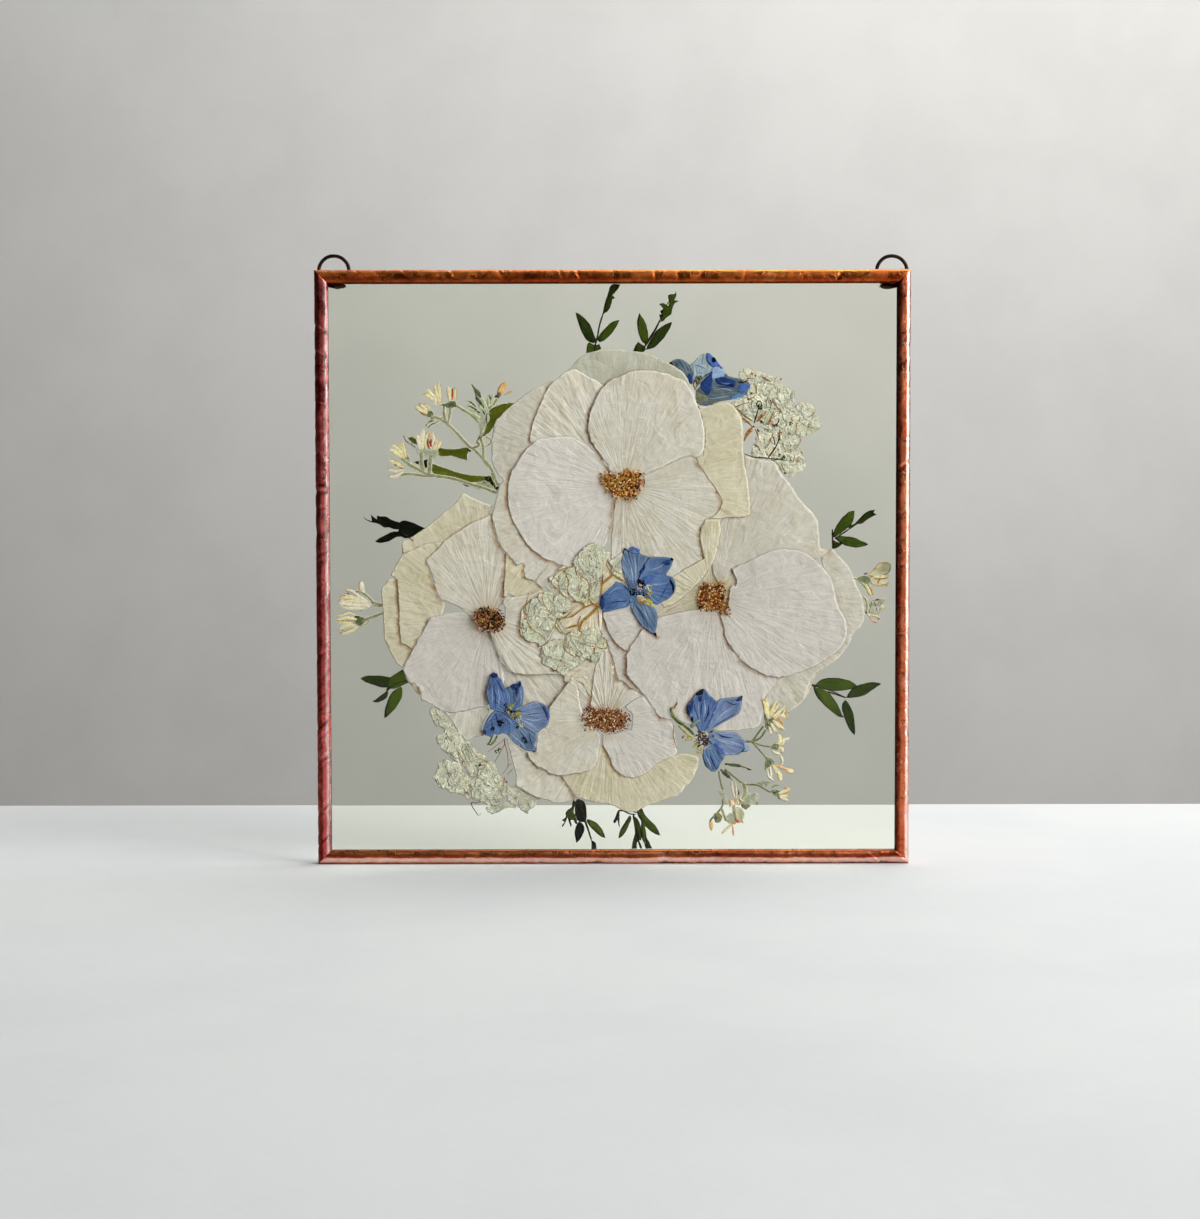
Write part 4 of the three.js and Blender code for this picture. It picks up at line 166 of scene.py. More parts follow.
WOOLS = {
    "upper_left": {"leaf":[["olive",[[-53.25,193.68],[-51.53,195.38],[-48.78,196.74],[-45.36,197.42],[-41.6,197.59],[-44.0,195.38],[-47.1,192.32],
     [-49.5,189.94],[-50.89,187.22],[-53.3,184.5],[-55.7,183.14],[-57.08,181.43],[-58.11,181.43],[-56.72,184.5],[-53.96,188.24],[-52.57,191.3]]],
     ["olive",[[-74.03,178.71],[-70.79,178.03],[-66.68,178.03],[-62.57,178.71],[-60.53,177.0],[-61.73,176.32],[-62.26,172.92],[-63.97,173.6],
     [-68.75,174.96],[-73.54,174.96],[-74.9,176.32]]],["olive",[[-77.67,172.23],[-73.57,170.53],[-68.79,168.83],[-61.96,167.12],[-55.8,166.44],
     [-51.69,166.44],[-50.33,165.07],[-48.63,162.0],[-49.32,160.64],[-52.4,161.66],[-56.5,163.71],[-61.98,163.71],[-68.81,166.1],[-76.33,167.46],
     [-77.69,169.51]]],["olive",[[-87.52,182.79],[-85.81,183.14],[-83.42,181.77],[-83.09,179.73],[-85.14,180.41],[-86.84,182.11]]],
     ["black",[[-85.2,172.58],[-81.43,173.26],[-79.03,173.6],[-79.4,170.19],[-81.11,169.85],[-83.15,171.55]]],["black",[[-54.43,166.1],
     [-51.69,166.44],[-50.67,164.73],[-48.64,161.32],[-49.67,160.3],[-52.05,162.69],[-54.1,164.05]]],["black",[[-64.72,163.71],[-61.98,163.37],
     [-60.96,162.18],[-63.36,162.35]]],["black",[[-62.23,178.71],[-60.35,177.18],[-60.87,176.66],[-62.23,177.86]]],["grey",[[-61.98,163.03],
     [-58.55,163.37],[-55.12,164.39],[-52.73,163.37],[-50.35,160.64],[-49.67,159.27],[-55.15,160.3],[-59.93,161.66]]],["white",[[-89.74,183.82],
     [-88.2,183.14],[-85.82,180.75],[-84.13,178.71],[-85.49,179.22],[-88.22,181.09]]],["calyx",[[-74.08,196.74],[-72.03,197.42],[-69.97,197.76],
     [-69.63,198.61],[-67.06,198.44],[-66.56,196.74],[-66.57,195.72],[-69.31,195.38],[-72.04,195.72]]],["pale",[[-83.96,178.03],[-80.71,178.2],
     [-79.0,177.69],[-75.58,177.35],[-74.22,176.32],[-75.6,174.28],[-77.66,174.28],[-81.07,175.3],[-83.12,175.98]]],["calyx",[[-91.66,177.69],
     [-88.93,177.0],[-86.9,174.28],[-86.57,172.23],[-88.97,171.89],[-91.0,174.28]]],["calyx",[[-80.25,194.36],[-77.85,195.38],[-76.5,193.0],
     [-76.86,191.3],[-78.9,191.64],[-80.61,192.66]]],["pale",[[-58.38,191.98],[-56.66,194.36],[-54.6,195.72],[-52.89,195.72],[-52.91,192.66],
     [-53.96,188.58],[-55.35,184.5],[-56.73,183.14],[-56.7,187.22],[-57.72,189.26]]],["pale",[[-73.44,191.3],[-71.38,191.3],[-69.34,189.6],
     [-70.04,187.9],[-71.74,188.58],[-72.76,189.6]]]],"stem":[[[[-77.54,191.3],[-74.8,191.3],[-72.08,189.94],[-70.04,188.24],[-65.96,184.16],
     [-61.88,179.73],[-59.15,177.69],[-55.75,174.28],[-52.35,170.19],[-49.99,164.73],[-49.15,162.0]],1.5],[[[-72.04,196.06],[-72.06,192.66],
     [-71.39,189.94]],1.5],[[[-69.31,195.38],[-69.67,191.98],[-70.37,189.26]],1.37],[[[-66.56,196.4],[-63.5,194.36],[-60.77,192.66],[-58.39,190.62],
     [-57.03,189.26]],1.37],[[[-56.39,182.45],[-55.38,178.71],[-55.07,173.6],[-52.36,169.51]],1.5],[[[-87.6,171.55],[-83.85,169.85],[-79.76,167.46],
     [-75.66,166.44],[-68.81,165.42],[-61.98,163.37],[-55.14,161.32],[-49.67,159.27]],1.57],[[[-81.75,176.32],[-81.78,172.23],[-81.12,168.83]],1.91],
     [[[-77.65,174.96],[-78.19,171.21],[-78.56,167.46]],1.91],[[[-91.68,175.3],[-87.6,171.89],[-83.85,169.51],[-79.07,167.12]],1.71],
     [[[-92.78,166.44],[-87.63,167.46],[-82.5,166.78],[-77.37,166.44]],1.37],[[[-53.99,183.14],[-52.12,181.77],[-52.98,179.73],
     [-55.04,178.71]],0.89],[[[-52.89,195.38],[-51.18,196.74],[-49.45,199.12]],1.37],[[[-58.11,181.09],[-57.09,179.73],[-59.83,178.37]],1.37],
     [[[-51.68,167.8],[-50.67,165.07],[-48.63,162.69]],1.5],[[[-76.17,190.96],[-78.58,189.6],[-79.61,187.9]],0.89],[[[-74.13,189.94],[-77.22,188.58],
     [-78.94,187.22]],0.82]],"flo":[["c",[[-79.24,193.0],[-81.62,194.36],[-84.07,195.79]],1.71],["c",[[-78.89,194.02],[-80.59,195.72],
     [-82.29,197.08]],1.71],["c",[[-77.86,194.36],[-78.87,196.06],[-79.89,197.36]],1.37],["r",[[-82.63,197.08],[-81.1,195.38]],0.75],
     ["r",[[-83.6,195.38],[-81.63,193.34],[-79.59,191.98]],0.55],["c",[[-75.11,197.08],[-77.48,199.8],[-80.72,201.44]],1.78],["c",[[-75.1,197.76],
     [-77.13,200.82],[-79.1,203.37]],1.78],["c",[[-73.91,197.42],[-75.24,201.84],[-75.91,205.24]],1.64],["c",[[-73.23,196.91],[-73.78,201.5],
     [-73.85,205.92]],1.5],["p",[[-75.11,197.08],[-75.95,199.12],[-75.08,201.16]],2.05],["o",[[-76.78,202.18],[-75.42,201.67],[-74.39,202.01]],0.48],
     ["o",[[-80.72,201.44],[-79.87,200.99]],0.68],["r",[[-77.14,199.46],[-76.13,197.76]],0.55],["c",[[-69.56,198.78],[-69.95,201.5],
     [-70.1,204.15]],1.5],["r",[[-68.49,199.12],[-68.41,201.5],[-68.23,203.71]],1.02],["c",[[-67.3,198.95],[-67.15,201.5],[-67.37,203.81]],1.43],
     ["p",[[-68.94,198.78],[-69.13,201.16],[-69.12,203.54]],0.82],["o",[[-70.1,204.15],[-70.28,202.86]],0.55],["p",[[-82.08,178.03],[-82.74,181.09],
     [-83.4,184.33]],2.05],["p",[[-81.22,178.03],[-81.3,182.11],[-80.99,186.2]],1.91],["c",[[-79.68,178.2],[-80.28,181.43],[-78.68,185.01]],1.71],
     ["p",[[-77.63,178.37],[-76.51,181.77],[-76.63,184.84]],1.57],["r",[[-78.31,178.03],[-78.98,180.41],[-78.8,182.45]],0.82],["r",[[-77.45,178.71],
     [-77.61,180.75],[-77.43,182.11]],1.5],["o",[[-78.11,183.14],[-78.27,184.84]],1.37],["c",[[-76.27,177.52],[-75.39,180.07],[-74.7,181.94]],1.5],
     ["c",[[-75.24,177.52],[-74.03,179.56],[-73.23,180.75]],1.5],["o",[[-76.25,179.73],[-75.56,181.09]],0.61],["p",[[-82.39,182.11],
     [-82.04,183.82]],0.68],["c",[[-88.95,174.28],[-90.98,177.0],[-92.68,178.71],[-94.04,180.07]],2.05],["c",[[-88.26,174.62],[-89.27,178.03],
     [-89.59,180.68]],2.05],["c",[[-90.32,174.28],[-92.7,176.32],[-95.08,177.69]],1.91],["o",[[-93.04,176.66],[-90.66,174.28]],0.61],
     ["c",[[-89.67,170.19],[-92.39,171.89],[-95.12,173.26]],1.84],["p",[[-89.67,169.17],[-92.76,168.48],[-95.83,169.51]],1.91],["o",[[-91.71,170.87],
     [-93.42,171.55]],1.02],["p",[[-90.02,168.14],[-92.78,166.44],[-95.51,166.44]],1.71],["r",[[-89.33,169.85],[-91.38,170.19]],0.61],
     ["c",[[-88.6,175.64],[-90.63,179.05],[-91.31,179.73]],1.02],["o",[[-48.59,201.16],[-47.72,203.2],[-46.52,204.9],[-45.49,206.09]],2.87],
     ["b",[[-48.94,199.8],[-48.42,201.5],[-48.07,202.86]],1.91],["o",[[-46.37,201.16],[-44.65,201.84],
     [-42.94,202.59]],0.82]],"spike":[["gd",[[-56.28,200.14],[-58.32,202.86],[-60.18,205.51]],2.05],["k",[[-57.98,202.18],[-56.62,200.48]],0.75],
     ["gd",[[-55.62,196.74],[-57.66,199.12],[-58.67,201.5]],1.71],["gl",[[-53.92,195.72],[-55.44,198.78],[-56.62,201.44]],1.37],
     ["gl",[[-52.89,195.72],[-53.22,198.78],[-52.86,201.33]],1.37],["gl",[[-51.69,196.4],[-51.5,199.46],[-50.74,201.78]],1.37],
     ["gd",[[-52.19,199.12],[-52.52,201.16]],0.61],["gd",[[-58.36,195.72],[-60.4,197.76],[-62.28,198.61]],1.02],["gl",[[-58.36,195.38],
     [-60.75,196.91],[-62.86,197.59]],1.02],["gd",[[-58.03,194.7],[-60.75,196.06],[-62.8,196.34]],0.89],["gl",[[-57.69,194.02],[-60.08,194.36],
     [-61.78,195.38]],1.02],["gd",[[-56.67,193.34],[-58.71,194.7],[-59.73,195.72]],0.75],["gl",[[-55.97,194.7],[-56.99,196.74],[-58.0,198.44]],1.37],
     ["gd",[[-54.95,195.38],[-56.3,198.1],[-56.97,199.12]],0.68],["gl",[[-57.02,191.3],[-59.06,192.66],[-60.77,194.02]],1.23],["gd",[[-54.62,192.66],
     [-55.29,194.02],[-55.63,195.38]],0.68],["gd",[[-53.62,188.58],[-53.94,191.3],[-53.59,193.34]],0.75],["gd",[[-50.13,200.14],[-49.1,200.48],
     [-48.77,199.46]],1.23],["gd",[[-76.18,190.28],[-77.89,189.6],[-79.44,188.58]],0.48],["gd",[[-75.5,189.26],[-77.56,188.24],
     [-78.76,187.22]],0.48]],"hair":1.0},
    "left": {"leaf":[["calyx",[[-106.19,105.26],[-107.61,106.28],[-109.65,106.69],[-111.09,106.08],[-110.9,104.24],[-109.69,102.81],[-108.05,102.4],
     [-106.82,103.42]]]],"stem":[[[[-97.35,111.29],[-100.61,111.7],[-103.47,112.62]],1.63],[[[-97.37,108.12],[-100.65,107.1],[-103.52,106.08],
     [-105.99,105.06]],1.55],[[[-103.47,113.23],[-105.49,115.27],[-107.94,116.7],[-110.39,117.11]],1.23],[[[-103.94,105.06],[-106.41,102.81],
     [-108.88,101.58],[-110.93,100.97],[-112.99,99.33]],0.69],[[[-104.71,110.98],[-106.36,109.76],
     [-108.41,108.94]],0.74]],"flo":[["p",[[-104.09,112.0],[-108.77,114.86],[-111.61,117.11],[-114.26,117.72]],1.43],["k",[[-112.85,115.68],
     [-114.07,116.49]],0.61],["k",[[-107.55,114.04],[-110.0,114.86],[-111.63,115.17]],0.41],["p",[[-104.09,112.0],[-110.81,114.86],
     [-114.89,115.88]],1.23],["c",[[-104.09,112.0],[-110.41,113.84],[-113.68,114.45],[-117.15,114.66]],1.84],["o",[[-113.28,113.64],
     [-115.53,113.39]],0.78],["p",[[-104.09,111.49],[-109.81,112.62],[-114.1,113.02],[-117.37,113.23]],2.04],["r",[[-109.81,112.21],
     [-112.26,112.66]],0.86],["p",[[-104.71,110.98],[-109.82,111.19],[-113.7,111.59],[-117.18,111.8]],2.25],["p",[[-105.74,109.96],[-109.83,109.96],
     [-113.51,109.96],[-115.96,110.57]],1.63],["p",[[-106.91,116.7],[-107.72,118.54],[-108.0,121.39]],2.25],["o",[[-108.75,117.31],
     [-108.93,119.76]],0.45],["o",[[-107.52,117.51],[-106.7,118.13]],0.53],["w",[[-108.33,118.33],[-108.32,119.56]],0.49],["c",[[-110.47,107.3],
     [-113.32,108.12],[-115.79,107.1],[-118.24,106.9]],1.23],["c",[[-110.08,105.06],[-114.37,105.67],[-118.06,104.85]],1.63],["c",[[-111.32,103.63],
     [-115.0,103.83],[-118.06,104.04]],1.43],["c",[[-110.51,102.2],[-113.99,102.6],[-117.27,100.97]],1.63],["c",[[-109.9,101.79],[-112.99,99.95],
     [-116.47,98.92]],1.63],["o",[[-112.53,105.26],[-113.35,104.65],[-112.54,103.83]],0.53],["k",[[-108.84,106.18],[-110.88,106.49]],0.61],
     ["gd",[[-110.5,103.63],[-112.14,103.52]],0.41],["gd",[[-115.44,100.56],[-116.66,100.76]],0.49],["gd",[[-117.08,99.54],[-116.67,99.33]],0.61],
     ["o",[[-116.42,104.65],[-117.03,105.06]],0.53]],"spike":[["gd",[[-98.78,110.78],[-101.03,110.98],[-103.07,111.08]],0.53],["gd",[[-98.6,107.61],
     [-100.04,107.3]],0.49],["gd",[[-106.61,104.24],[-107.23,103.63]],0.94]],"hair":0.8},
    "right": {"leaf":[["calyx",[[104.32,122.48],[106.16,123.3],[108.2,123.71],[110.05,122.89],[110.25,121.67],[109.23,120.04],[107.8,120.04],
     [105.76,120.44],[104.94,121.26]]],["cream",[[109.43,123.71],[111.06,125.54],[112.69,127.38],[114.32,129.01],[118.0,129.21],[119.03,127.79],
     [118.83,126.16],[117.6,124.52],[113.93,123.5],[111.07,123.3]]],["cream",[[110.05,122.89],[113.52,123.3],[116.79,124.12],[117.81,123.1],
     [116.79,122.28],[114.34,122.08],[113.53,120.44],[112.71,119.22],[110.66,120.24]]],["pale2",[[108.43,113.71],[110.68,113.3],[111.91,112.69],
     [114.36,113.71],[117.02,113.61],[116.0,112.48],[114.57,111.05],[114.37,108.6],[113.35,106.97],[111.1,107.38],[109.05,108.19],
     [108.23,110.64]]]],"stem":[[[[100.85,122.48],[102.48,122.48],[104.53,122.08]],1.02],[[[107.41,114.42],[108.53,112.69],[108.95,110.03],
     [108.44,107.78]],1.02],[[[106.37,120.44],[107.8,119.01],[109.03,117.99]],1.23]],"flo":[["o",[[114.32,128.91],[116.16,129.01],
     [118.0,128.91]],0.57],["k",[[107.39,124.12],[109.02,124.77]],0.53],["o",[[109.23,123.91],[111.47,125.75],[113.92,127.07]],0.37],
     ["c",[[111.88,123.1],[115.15,123.1],[117.81,123.2]],1.63],["o",[[112.91,122.48],[114.34,122.28],[115.56,122.59]],0.69],["c",[[113.53,119.63],
     [115.57,120.44],[117.82,120.65]],1.84],["o",[[111.89,119.32],[113.94,119.42],[117.82,119.18]],0.74],["o",[[113.52,121.26],[113.93,120.44],
     [113.53,119.63]],0.53],["gd",[[116.99,123.91],[117.81,123.3],[117.61,122.69]],0.49],["c",[[108.01,119.63],[109.24,117.59],
     [110.06,115.34]],1.43],["o",[[109.64,119.42],[110.87,117.59],[111.6,115.34]],1.02],["k",[[109.13,119.73],[110.36,118.71]],0.49],
     ["o",[[109.45,116.57],[110.06,115.34]],0.74],["r",[[112.52,113.2],[114.05,113.4]],0.61],["c",[[114.37,109.62],[115.39,110.03],
     [116.62,109.83]],1.63],["o",[[114.58,109.01],[115.19,109.62]],0.49],["c",[[110.29,106.76],[112.74,106.15],[114.38,105.43]],1.02],
     ["o",[[111.92,106.35],[113.56,105.54]],0.61],["k",[[113.46,104.92],[114.69,105.43]],0.61],["o",[[110.08,105.95],[111.11,104.31],
     [112.75,103.6]],0.74],["r",[[111.72,103.7],[113.05,103.39]],0.45],["k",[[108.13,108.09],[109.06,107.27]],0.65],["p",[[109.06,107.38],
     [110.08,106.15]],1.02],["gd",[[110.68,112.69],[111.09,110.64]],0.33],["gd",[[111.91,112.28],[112.73,110.44]],0.33],["p",[[114.36,113.71],
     [115.59,113.5],[117.22,113.61]],0.49]],"spike":[["gd",[[108.02,114.12],[108.64,112.28],[108.84,111.46]],0.61],["gd",[[110.07,111.46],
     [110.48,109.83]],0.37],["gd",[[112.73,109.83],[113.14,108.6]],0.37],["gd",[[109.67,109.01],[110.28,107.99]],0.37]],"hair":0.7},
    "lower_right": {"leaf":[["calyx",[[65.27,58.62],[65.06,61.08],[64.45,64.77],[65.47,65.18],[66.5,61.9],[68.95,63.13],[69.36,61.9],[68.14,59.85],
     [66.5,57.39],[65.47,57.39]]],["calyx",[[67.32,50.21],[68.96,51.65],[71.01,51.44],[71.42,50.01],[69.78,48.36],[68.14,48.77]]],
     ["calyx",[[65.47,45.69],[67.32,45.49],[69.37,43.85],[69.37,43.02],[67.73,42.2],[66.09,40.15],[65.27,43.02]]]],"stem":[[[[57.07,52.55],
     [59.53,52.67],[61.99,55.75],[64.45,59.03]],0.82],[[[59.94,52.47],[63.22,54.11],[65.47,57.39]],0.82],[[[59.53,52.39],[63.63,50.83],
     [67.32,50.21]],0.65],[[[59.53,52.39],[62.81,48.77],[65.68,45.41]],0.65],[[[65.47,43.44],[65.27,40.15]],0.57]],"flo":[["c",[[66.5,62.72],
     [66.09,66.82],[65.68,71.33]],1.8],["c",[[65.47,63.95],[65.27,67.64],[64.24,70.51]],1.56],["c",[[67.32,63.13],[68.54,66.82],[70.18,69.89]],1.64],
     ["c",[[67.73,63.13],[69.36,66.0],[71.21,67.64]],1.64],["p",[[68.54,63.13],[71.41,65.18],[73.87,67.23]],1.47],["c",[[68.95,62.72],[71.82,63.95],
     [74.28,63.13]],1.64],["o",[[68.95,61.9],[71.41,61.9],[72.85,59.85]],1.23],["c",[[68.54,61.49],[70.59,59.44],[73.05,57.6]],1.8],
     ["o",[[71.0,59.03],[73.05,57.6]],0.98],["p",[[67.73,60.26],[68.96,57.8],[70.18,56.37]],1.47],["p",[[67.11,58.62],[67.52,56.98],
     [67.73,55.55]],1.39],["o",[[66.5,65.18],[66.91,66.82]],0.65],["c",[[70.59,63.13],[73.05,64.77],[73.87,67.03]],0.98],["o",[[73.87,64.77],
     [74.89,62.31]],0.9],["c",[[71.01,51.24],[71.82,53.29],[71.41,55.55]],1.8],["c",[[71.42,50.83],[73.05,51.65],[72.85,53.7]],1.39],
     ["p",[[71.82,52.06],[73.87,53.29],[75.72,53.9]],0.98],["c",[[71.01,50.01],[72.65,49.18],[72.44,47.95]],1.39],["o",[[71.83,50.42],
     [72.85,51.65]],0.65],["p",[[68.14,48.77],[69.78,47.54],[71.42,47.13]],1.23],["o",[[69.78,42.2],[73.06,40.97],[76.75,39.66]],1.23],
     ["c",[[74.29,40.15],[75.93,39.74],[77.36,39.74]],2.13],["p",[[71.83,46.31],[72.65,44.26],[72.24,42.61]],1.23],["c",[[68.55,42.2],[69.78,40.15],
     [70.19,38.92]],1.64],["c",[[70.6,39.74],[71.42,38.09],[71.83,35.63]],1.96],["p",[[66.09,40.15],[66.91,37.27],[68.96,35.63]],1.06],
     ["p",[[67.32,41.38],[67.73,38.51],[67.32,36.45]],1.06],["o",[[70.19,40.56],[71.01,39.33]],0.74]],"spike":[["gd",[[65.27,64.77],
     [65.06,61.49]],0.65],["gd",[[66.09,61.08],[66.91,57.8]],0.82],["gd",[[69.37,50.42],[69.78,49.59]],1.06],["gd",[[66.91,44.67],
     [68.55,43.02]],0.82]],"hair":0.35},
    "bottom": {"leaf":[["calyx",[[67.32,30.69],[68.96,31.93],[71.01,31.52],[71.83,29.46],[71.01,28.23],[68.96,29.46]]],["pale",[[61.78,34.6],
     [63.63,35.63],[66.09,35.42],[67.73,34.6],[66.09,33.57],[63.63,33.16]]],["pale",[[54.6,27.82],[57.89,29.87],[61.17,30.28],[62.81,29.05],
     [61.17,26.58],[57.06,25.35],[54.6,25.76]]],["olive2",[[43.11,21.23],[45.16,22.05],[46.8,20.41],[45.98,17.94],[43.93,17.53]]],
     ["pale",[[48.85,20.41],[50.5,21.64],[52.55,20.41],[52.14,17.53],[50.08,17.11],[48.65,18.35]]],["cream",[[52.55,24.11],[55.01,23.7],
     [56.24,20.82],[55.42,17.53],[53.37,18.76]]],["olive2",[[55.01,25.35],[57.88,25.55],[59.11,24.94],[57.06,23.29],[55.42,24.11]]],
     ["olive2",[[60.96,26.38],[62.19,26.58],[61.99,25.14]]],["pale",[[45.17,31.52],[47.22,31.52],[48.45,28.23],[49.27,26.17],[47.63,25.76],
     [46.4,28.64]]]],"stem":[[[[48.05,40.56],[52.56,36.86],[56.25,34.19],[61.58,33.78],[64.45,32.34],[67.32,30.69]],0.74],[[[45.38,39.74],
     [45.99,35.63],[47.02,31.93]],0.74],[[[47.22,27.82],[46.8,24.52],[44.75,21.85],[42.29,19.17]],0.74],[[[55.84,34.81],[56.66,30.69],
     [54.6,26.99]],1.88],[[[68.14,32.75],[69.78,33.57],[71.01,33.49]],0.49],[[[46.39,24.11],[47.62,20.82],[48.44,18.35]],1.23],[[[51.73,25.35],
     [52.14,21.64],[52.55,18.35]],1.64]],"flo":[["p",[[50.92,35.63],[51.32,31.52],[52.55,27.82]],1.23],["p",[[52.56,34.81],[52.96,31.11],
     [52.96,27.82]],0.98],["b",[[50.71,35.63],[51.12,32.34],[51.73,29.87]],0.41],["k",[[53.87,31.52],[53.95,29.46]],0.57],["o",[[49.68,27.4],
     [50.5,25.76],[50.09,24.32]],0.98],["c",[[50.91,26.99],[51.32,25.76],[51.32,24.73]],1.64],["o",[[52.55,27.82],[52.55,25.76]],0.98],
     ["c",[[52.96,27.4],[53.78,26.38],[53.78,25.35]],0.98],["k",[[53.78,26.99],[53.99,25.76]],0.57],["o",[[41.67,18.76],[41.87,16.29],
     [42.28,14.23]],1.39],["gd",[[42.29,19.58],[41.46,17.53]],0.74],["c",[[42.69,17.94],[42.69,15.88]],1.23],["r",[[52.55,20.0],[52.96,18.35],
     [54.19,17.53]],0.98],["o",[[52.96,18.14],[51.31,17.11]],1.39],["c",[[51.31,17.11],[49.26,15.47],[46.8,13.0]],0.9],["o",[[51.31,16.29],
     [51.52,14.23],[51.72,11.76]],0.9],["c",[[55.42,20.41],[55.83,17.53]],0.82],["c",[[71.01,29.87],[73.06,30.69],[75.52,31.93]],1.64],
     ["o",[[73.68,32.34],[75.52,32.01]],1.15],["c",[[71.42,29.05],[73.47,29.05],[75.53,29.05]],1.8],["p",[[71.42,28.64],[73.06,27.82],
     [74.71,27.2]],1.64],["o",[[74.29,29.46],[75.53,28.84]],1.06],["k",[[70.6,28.23],[72.24,27.61]],0.49],["p",[[55.42,29.87],[54.6,27.82],
     [56.24,26.58]],0.82]],"spike":[["gd",[[48.05,42.82],[53.38,42.2],[57.07,41.18],[59.53,40.23]],1.39],["k",[[57.48,40.89],[59.53,40.15]],0.82],
     ["gd",[[46.2,40.35],[48.87,38.09],[51.33,35.63]],1.8],["gl",[[48.46,43.44],[51.33,43.02]],0.74],["gl",[[47.23,39.74],[49.69,37.27]],0.74],
     ["gd",[[68.96,31.11],[69.78,29.46]],0.9],["gd",[[43.93,20.41],[44.34,18.35]],1.23],["gd",[[52.55,20.82],[52.96,19.17]],0.49]],"hair":0.4},
}
R_BACK = [[42.88, 129.84], [51.42, 127.0], [54.27, 122.02], [54.26, 113.49], [51.41, 109.22], [48.56, 106.38], [45.0, 105.67], [36.45, 106.73],
      [20.05, 102.46], [17.56, 106.38], [22.2, 109.94], [27.91, 112.78], [32.9, 117.05], [38.6, 122.74], [41.81, 127.71]]
HYC_STRANDS = [["au", [[0.33, 124.27], [-2.69, 121.81], [-4.62, 119.89], [-4.9, 116.34], [-5.57, 111.69]], 0.93], ["au", [[0.33, 124.27],
      [2.79, 122.63], [6.62, 120.82]], 0.66], ["au", [[-6.13, 110.43], [-10.14, 106.71], [-13.17, 103.75], [-14.39, 99.92]], 1.15],
      ["au", [[-6.29, 111.69], [-9.3, 111.41], [-13.14, 109.5], [-17.54, 106.49], [-23.03, 105.39]], 0.6], ["au", [[-14.27, 102.65], [-17.56, 102.11],
      [-20.58, 101.12]], 0.77], ["au", [[-6.13, 110.59], [-8.48, 111.69], [-10.11, 113.88]], 0.82], ["au", [[-12.87, 109.5], [-12.32, 111.41],
      [-15.32, 112.78], [-17.52, 112.51]], 0.71], ["b3", [[-13.98, 106.49], [-14.92, 103.2], [-13.84, 99.64]], 0.49], ["b4", [[-4.67, 120.17],
      [-4.22, 124.54]], 0.49], ["b4", [[-6.46, 109.77], [-5.94, 102.11]], 0.33], ["au", [[-25.14, 123.45], [-26.36, 120.71], [-24.07, 118.42],
      [-20.79, 115.24], [-17.51, 113.06]], 0.38], ["au", [[-20.21, 123.99], [-18.8, 121.26], [-19.47, 117.98], [-18.06, 114.7]], 0.38],
      ["b3", [[-15.27, 125.63], [-13.64, 123.45], [-10.91, 121.81], [-10.05, 116.88], [-10.67, 112.51]], 0.38], ["au", [[-17.18, 127.54],
      [-21.29, 126.72], [-25.14, 123.45]], 0.33], ["au", [[-23.05, 99.92], [-24.46, 102.11], [-24.12, 104.85], [-22.75, 105.39]], 0.49],
      ["au", [[-20.04, 98.27], [-20.99, 92.79], [-18.15, 90.05], [-14.87, 88.13]], 0.38], ["au", [[-5.51, 98.27], [-2.67, 95.53], [-3.06, 92.68],
      [-7.17, 93.23], [-13.2, 94.44]], 0.33], ["au", [[-2.94, 128.91], [-1.04, 125.63], [1.69, 123.45], [4.7, 121.81]], 0.44],
      ["b3", [[-29.55, 116.88], [-30.22, 114.15], [-27.94, 109.22], [-24.39, 106.21]], 0.33], ["au", [[-23.05, 99.81], [-19.65, 98.82],
      [-16.9, 101.01]], 0.44], ["b3", [[-15.81, 127.82], [-15.55, 124.54], [-12.28, 121.15]], 0.33], ["au", [[-17.53, 108.68], [-20.28, 106.21],
      [-23.02, 105.67]], 0.44], ["au", [[-12.91, 99.92], [-14.83, 97.72], [-18.67, 98.27]], 0.38], ["w", [[-28.0, 97.18], [-25.23, 102.11],
      [-23.58, 104.3]], 0.49], ["w", [[-24.13, 104.19], [-21.3, 99.37]], 0.6], ["w", [[-22.92, 104.85], [-20.03, 99.81]], 0.49],
      ["w", [[-9.38, 121.26], [-8.95, 117.98], [-10.39, 113.49]], 0.6], ["w", [[-6.95, 125.09], [-6.42, 120.71], [-7.64, 116.88]], 0.71],
      ["w", [[-14.18, 125.09], [-11.89, 122.35]], 0.6], ["w", [[-13.11, 119.62], [-14.77, 114.7]], 0.71], ["w", [[-19.94, 122.35], [-21.98, 118.96]],
      0.71], ["w", [[-18.56, 98.71], [-14.83, 97.61], [-9.35, 98.71]], 0.71], ["w", [[-14.84, 95.42], [-8.26, 94.87], [-3.6, 94.98]], 0.55],
      ["w", [[-18.57, 95.53], [-19.24, 92.13]], 0.71], ["w", [[-27.92, 114.7], [-25.74, 112.4], [-23.01, 110.21]], 0.6], ["w", [[-28.99, 119.62],
      [-26.15, 116.78]], 0.71], ["w", [[-0.48, 128.36], [1.7, 125.52], [3.89, 124.43]], 0.71], ["w", [[-17.58, 96.63], [-14.85, 92.24],
      [-10.48, 88.95]], 0.6], ["w", [[-27.86, 127.27], [-30.61, 124.54], [-33.37, 120.71]], 0.49], ["w", [[-34.49, 114.15], [-36.17, 107.58],
      [-34.56, 101.01]], 0.6], ["au", [[-35.85, 116.88], [-37.26, 109.77], [-35.65, 102.11], [-30.19, 97.72], [-28.01, 94.44]], 0.33]]
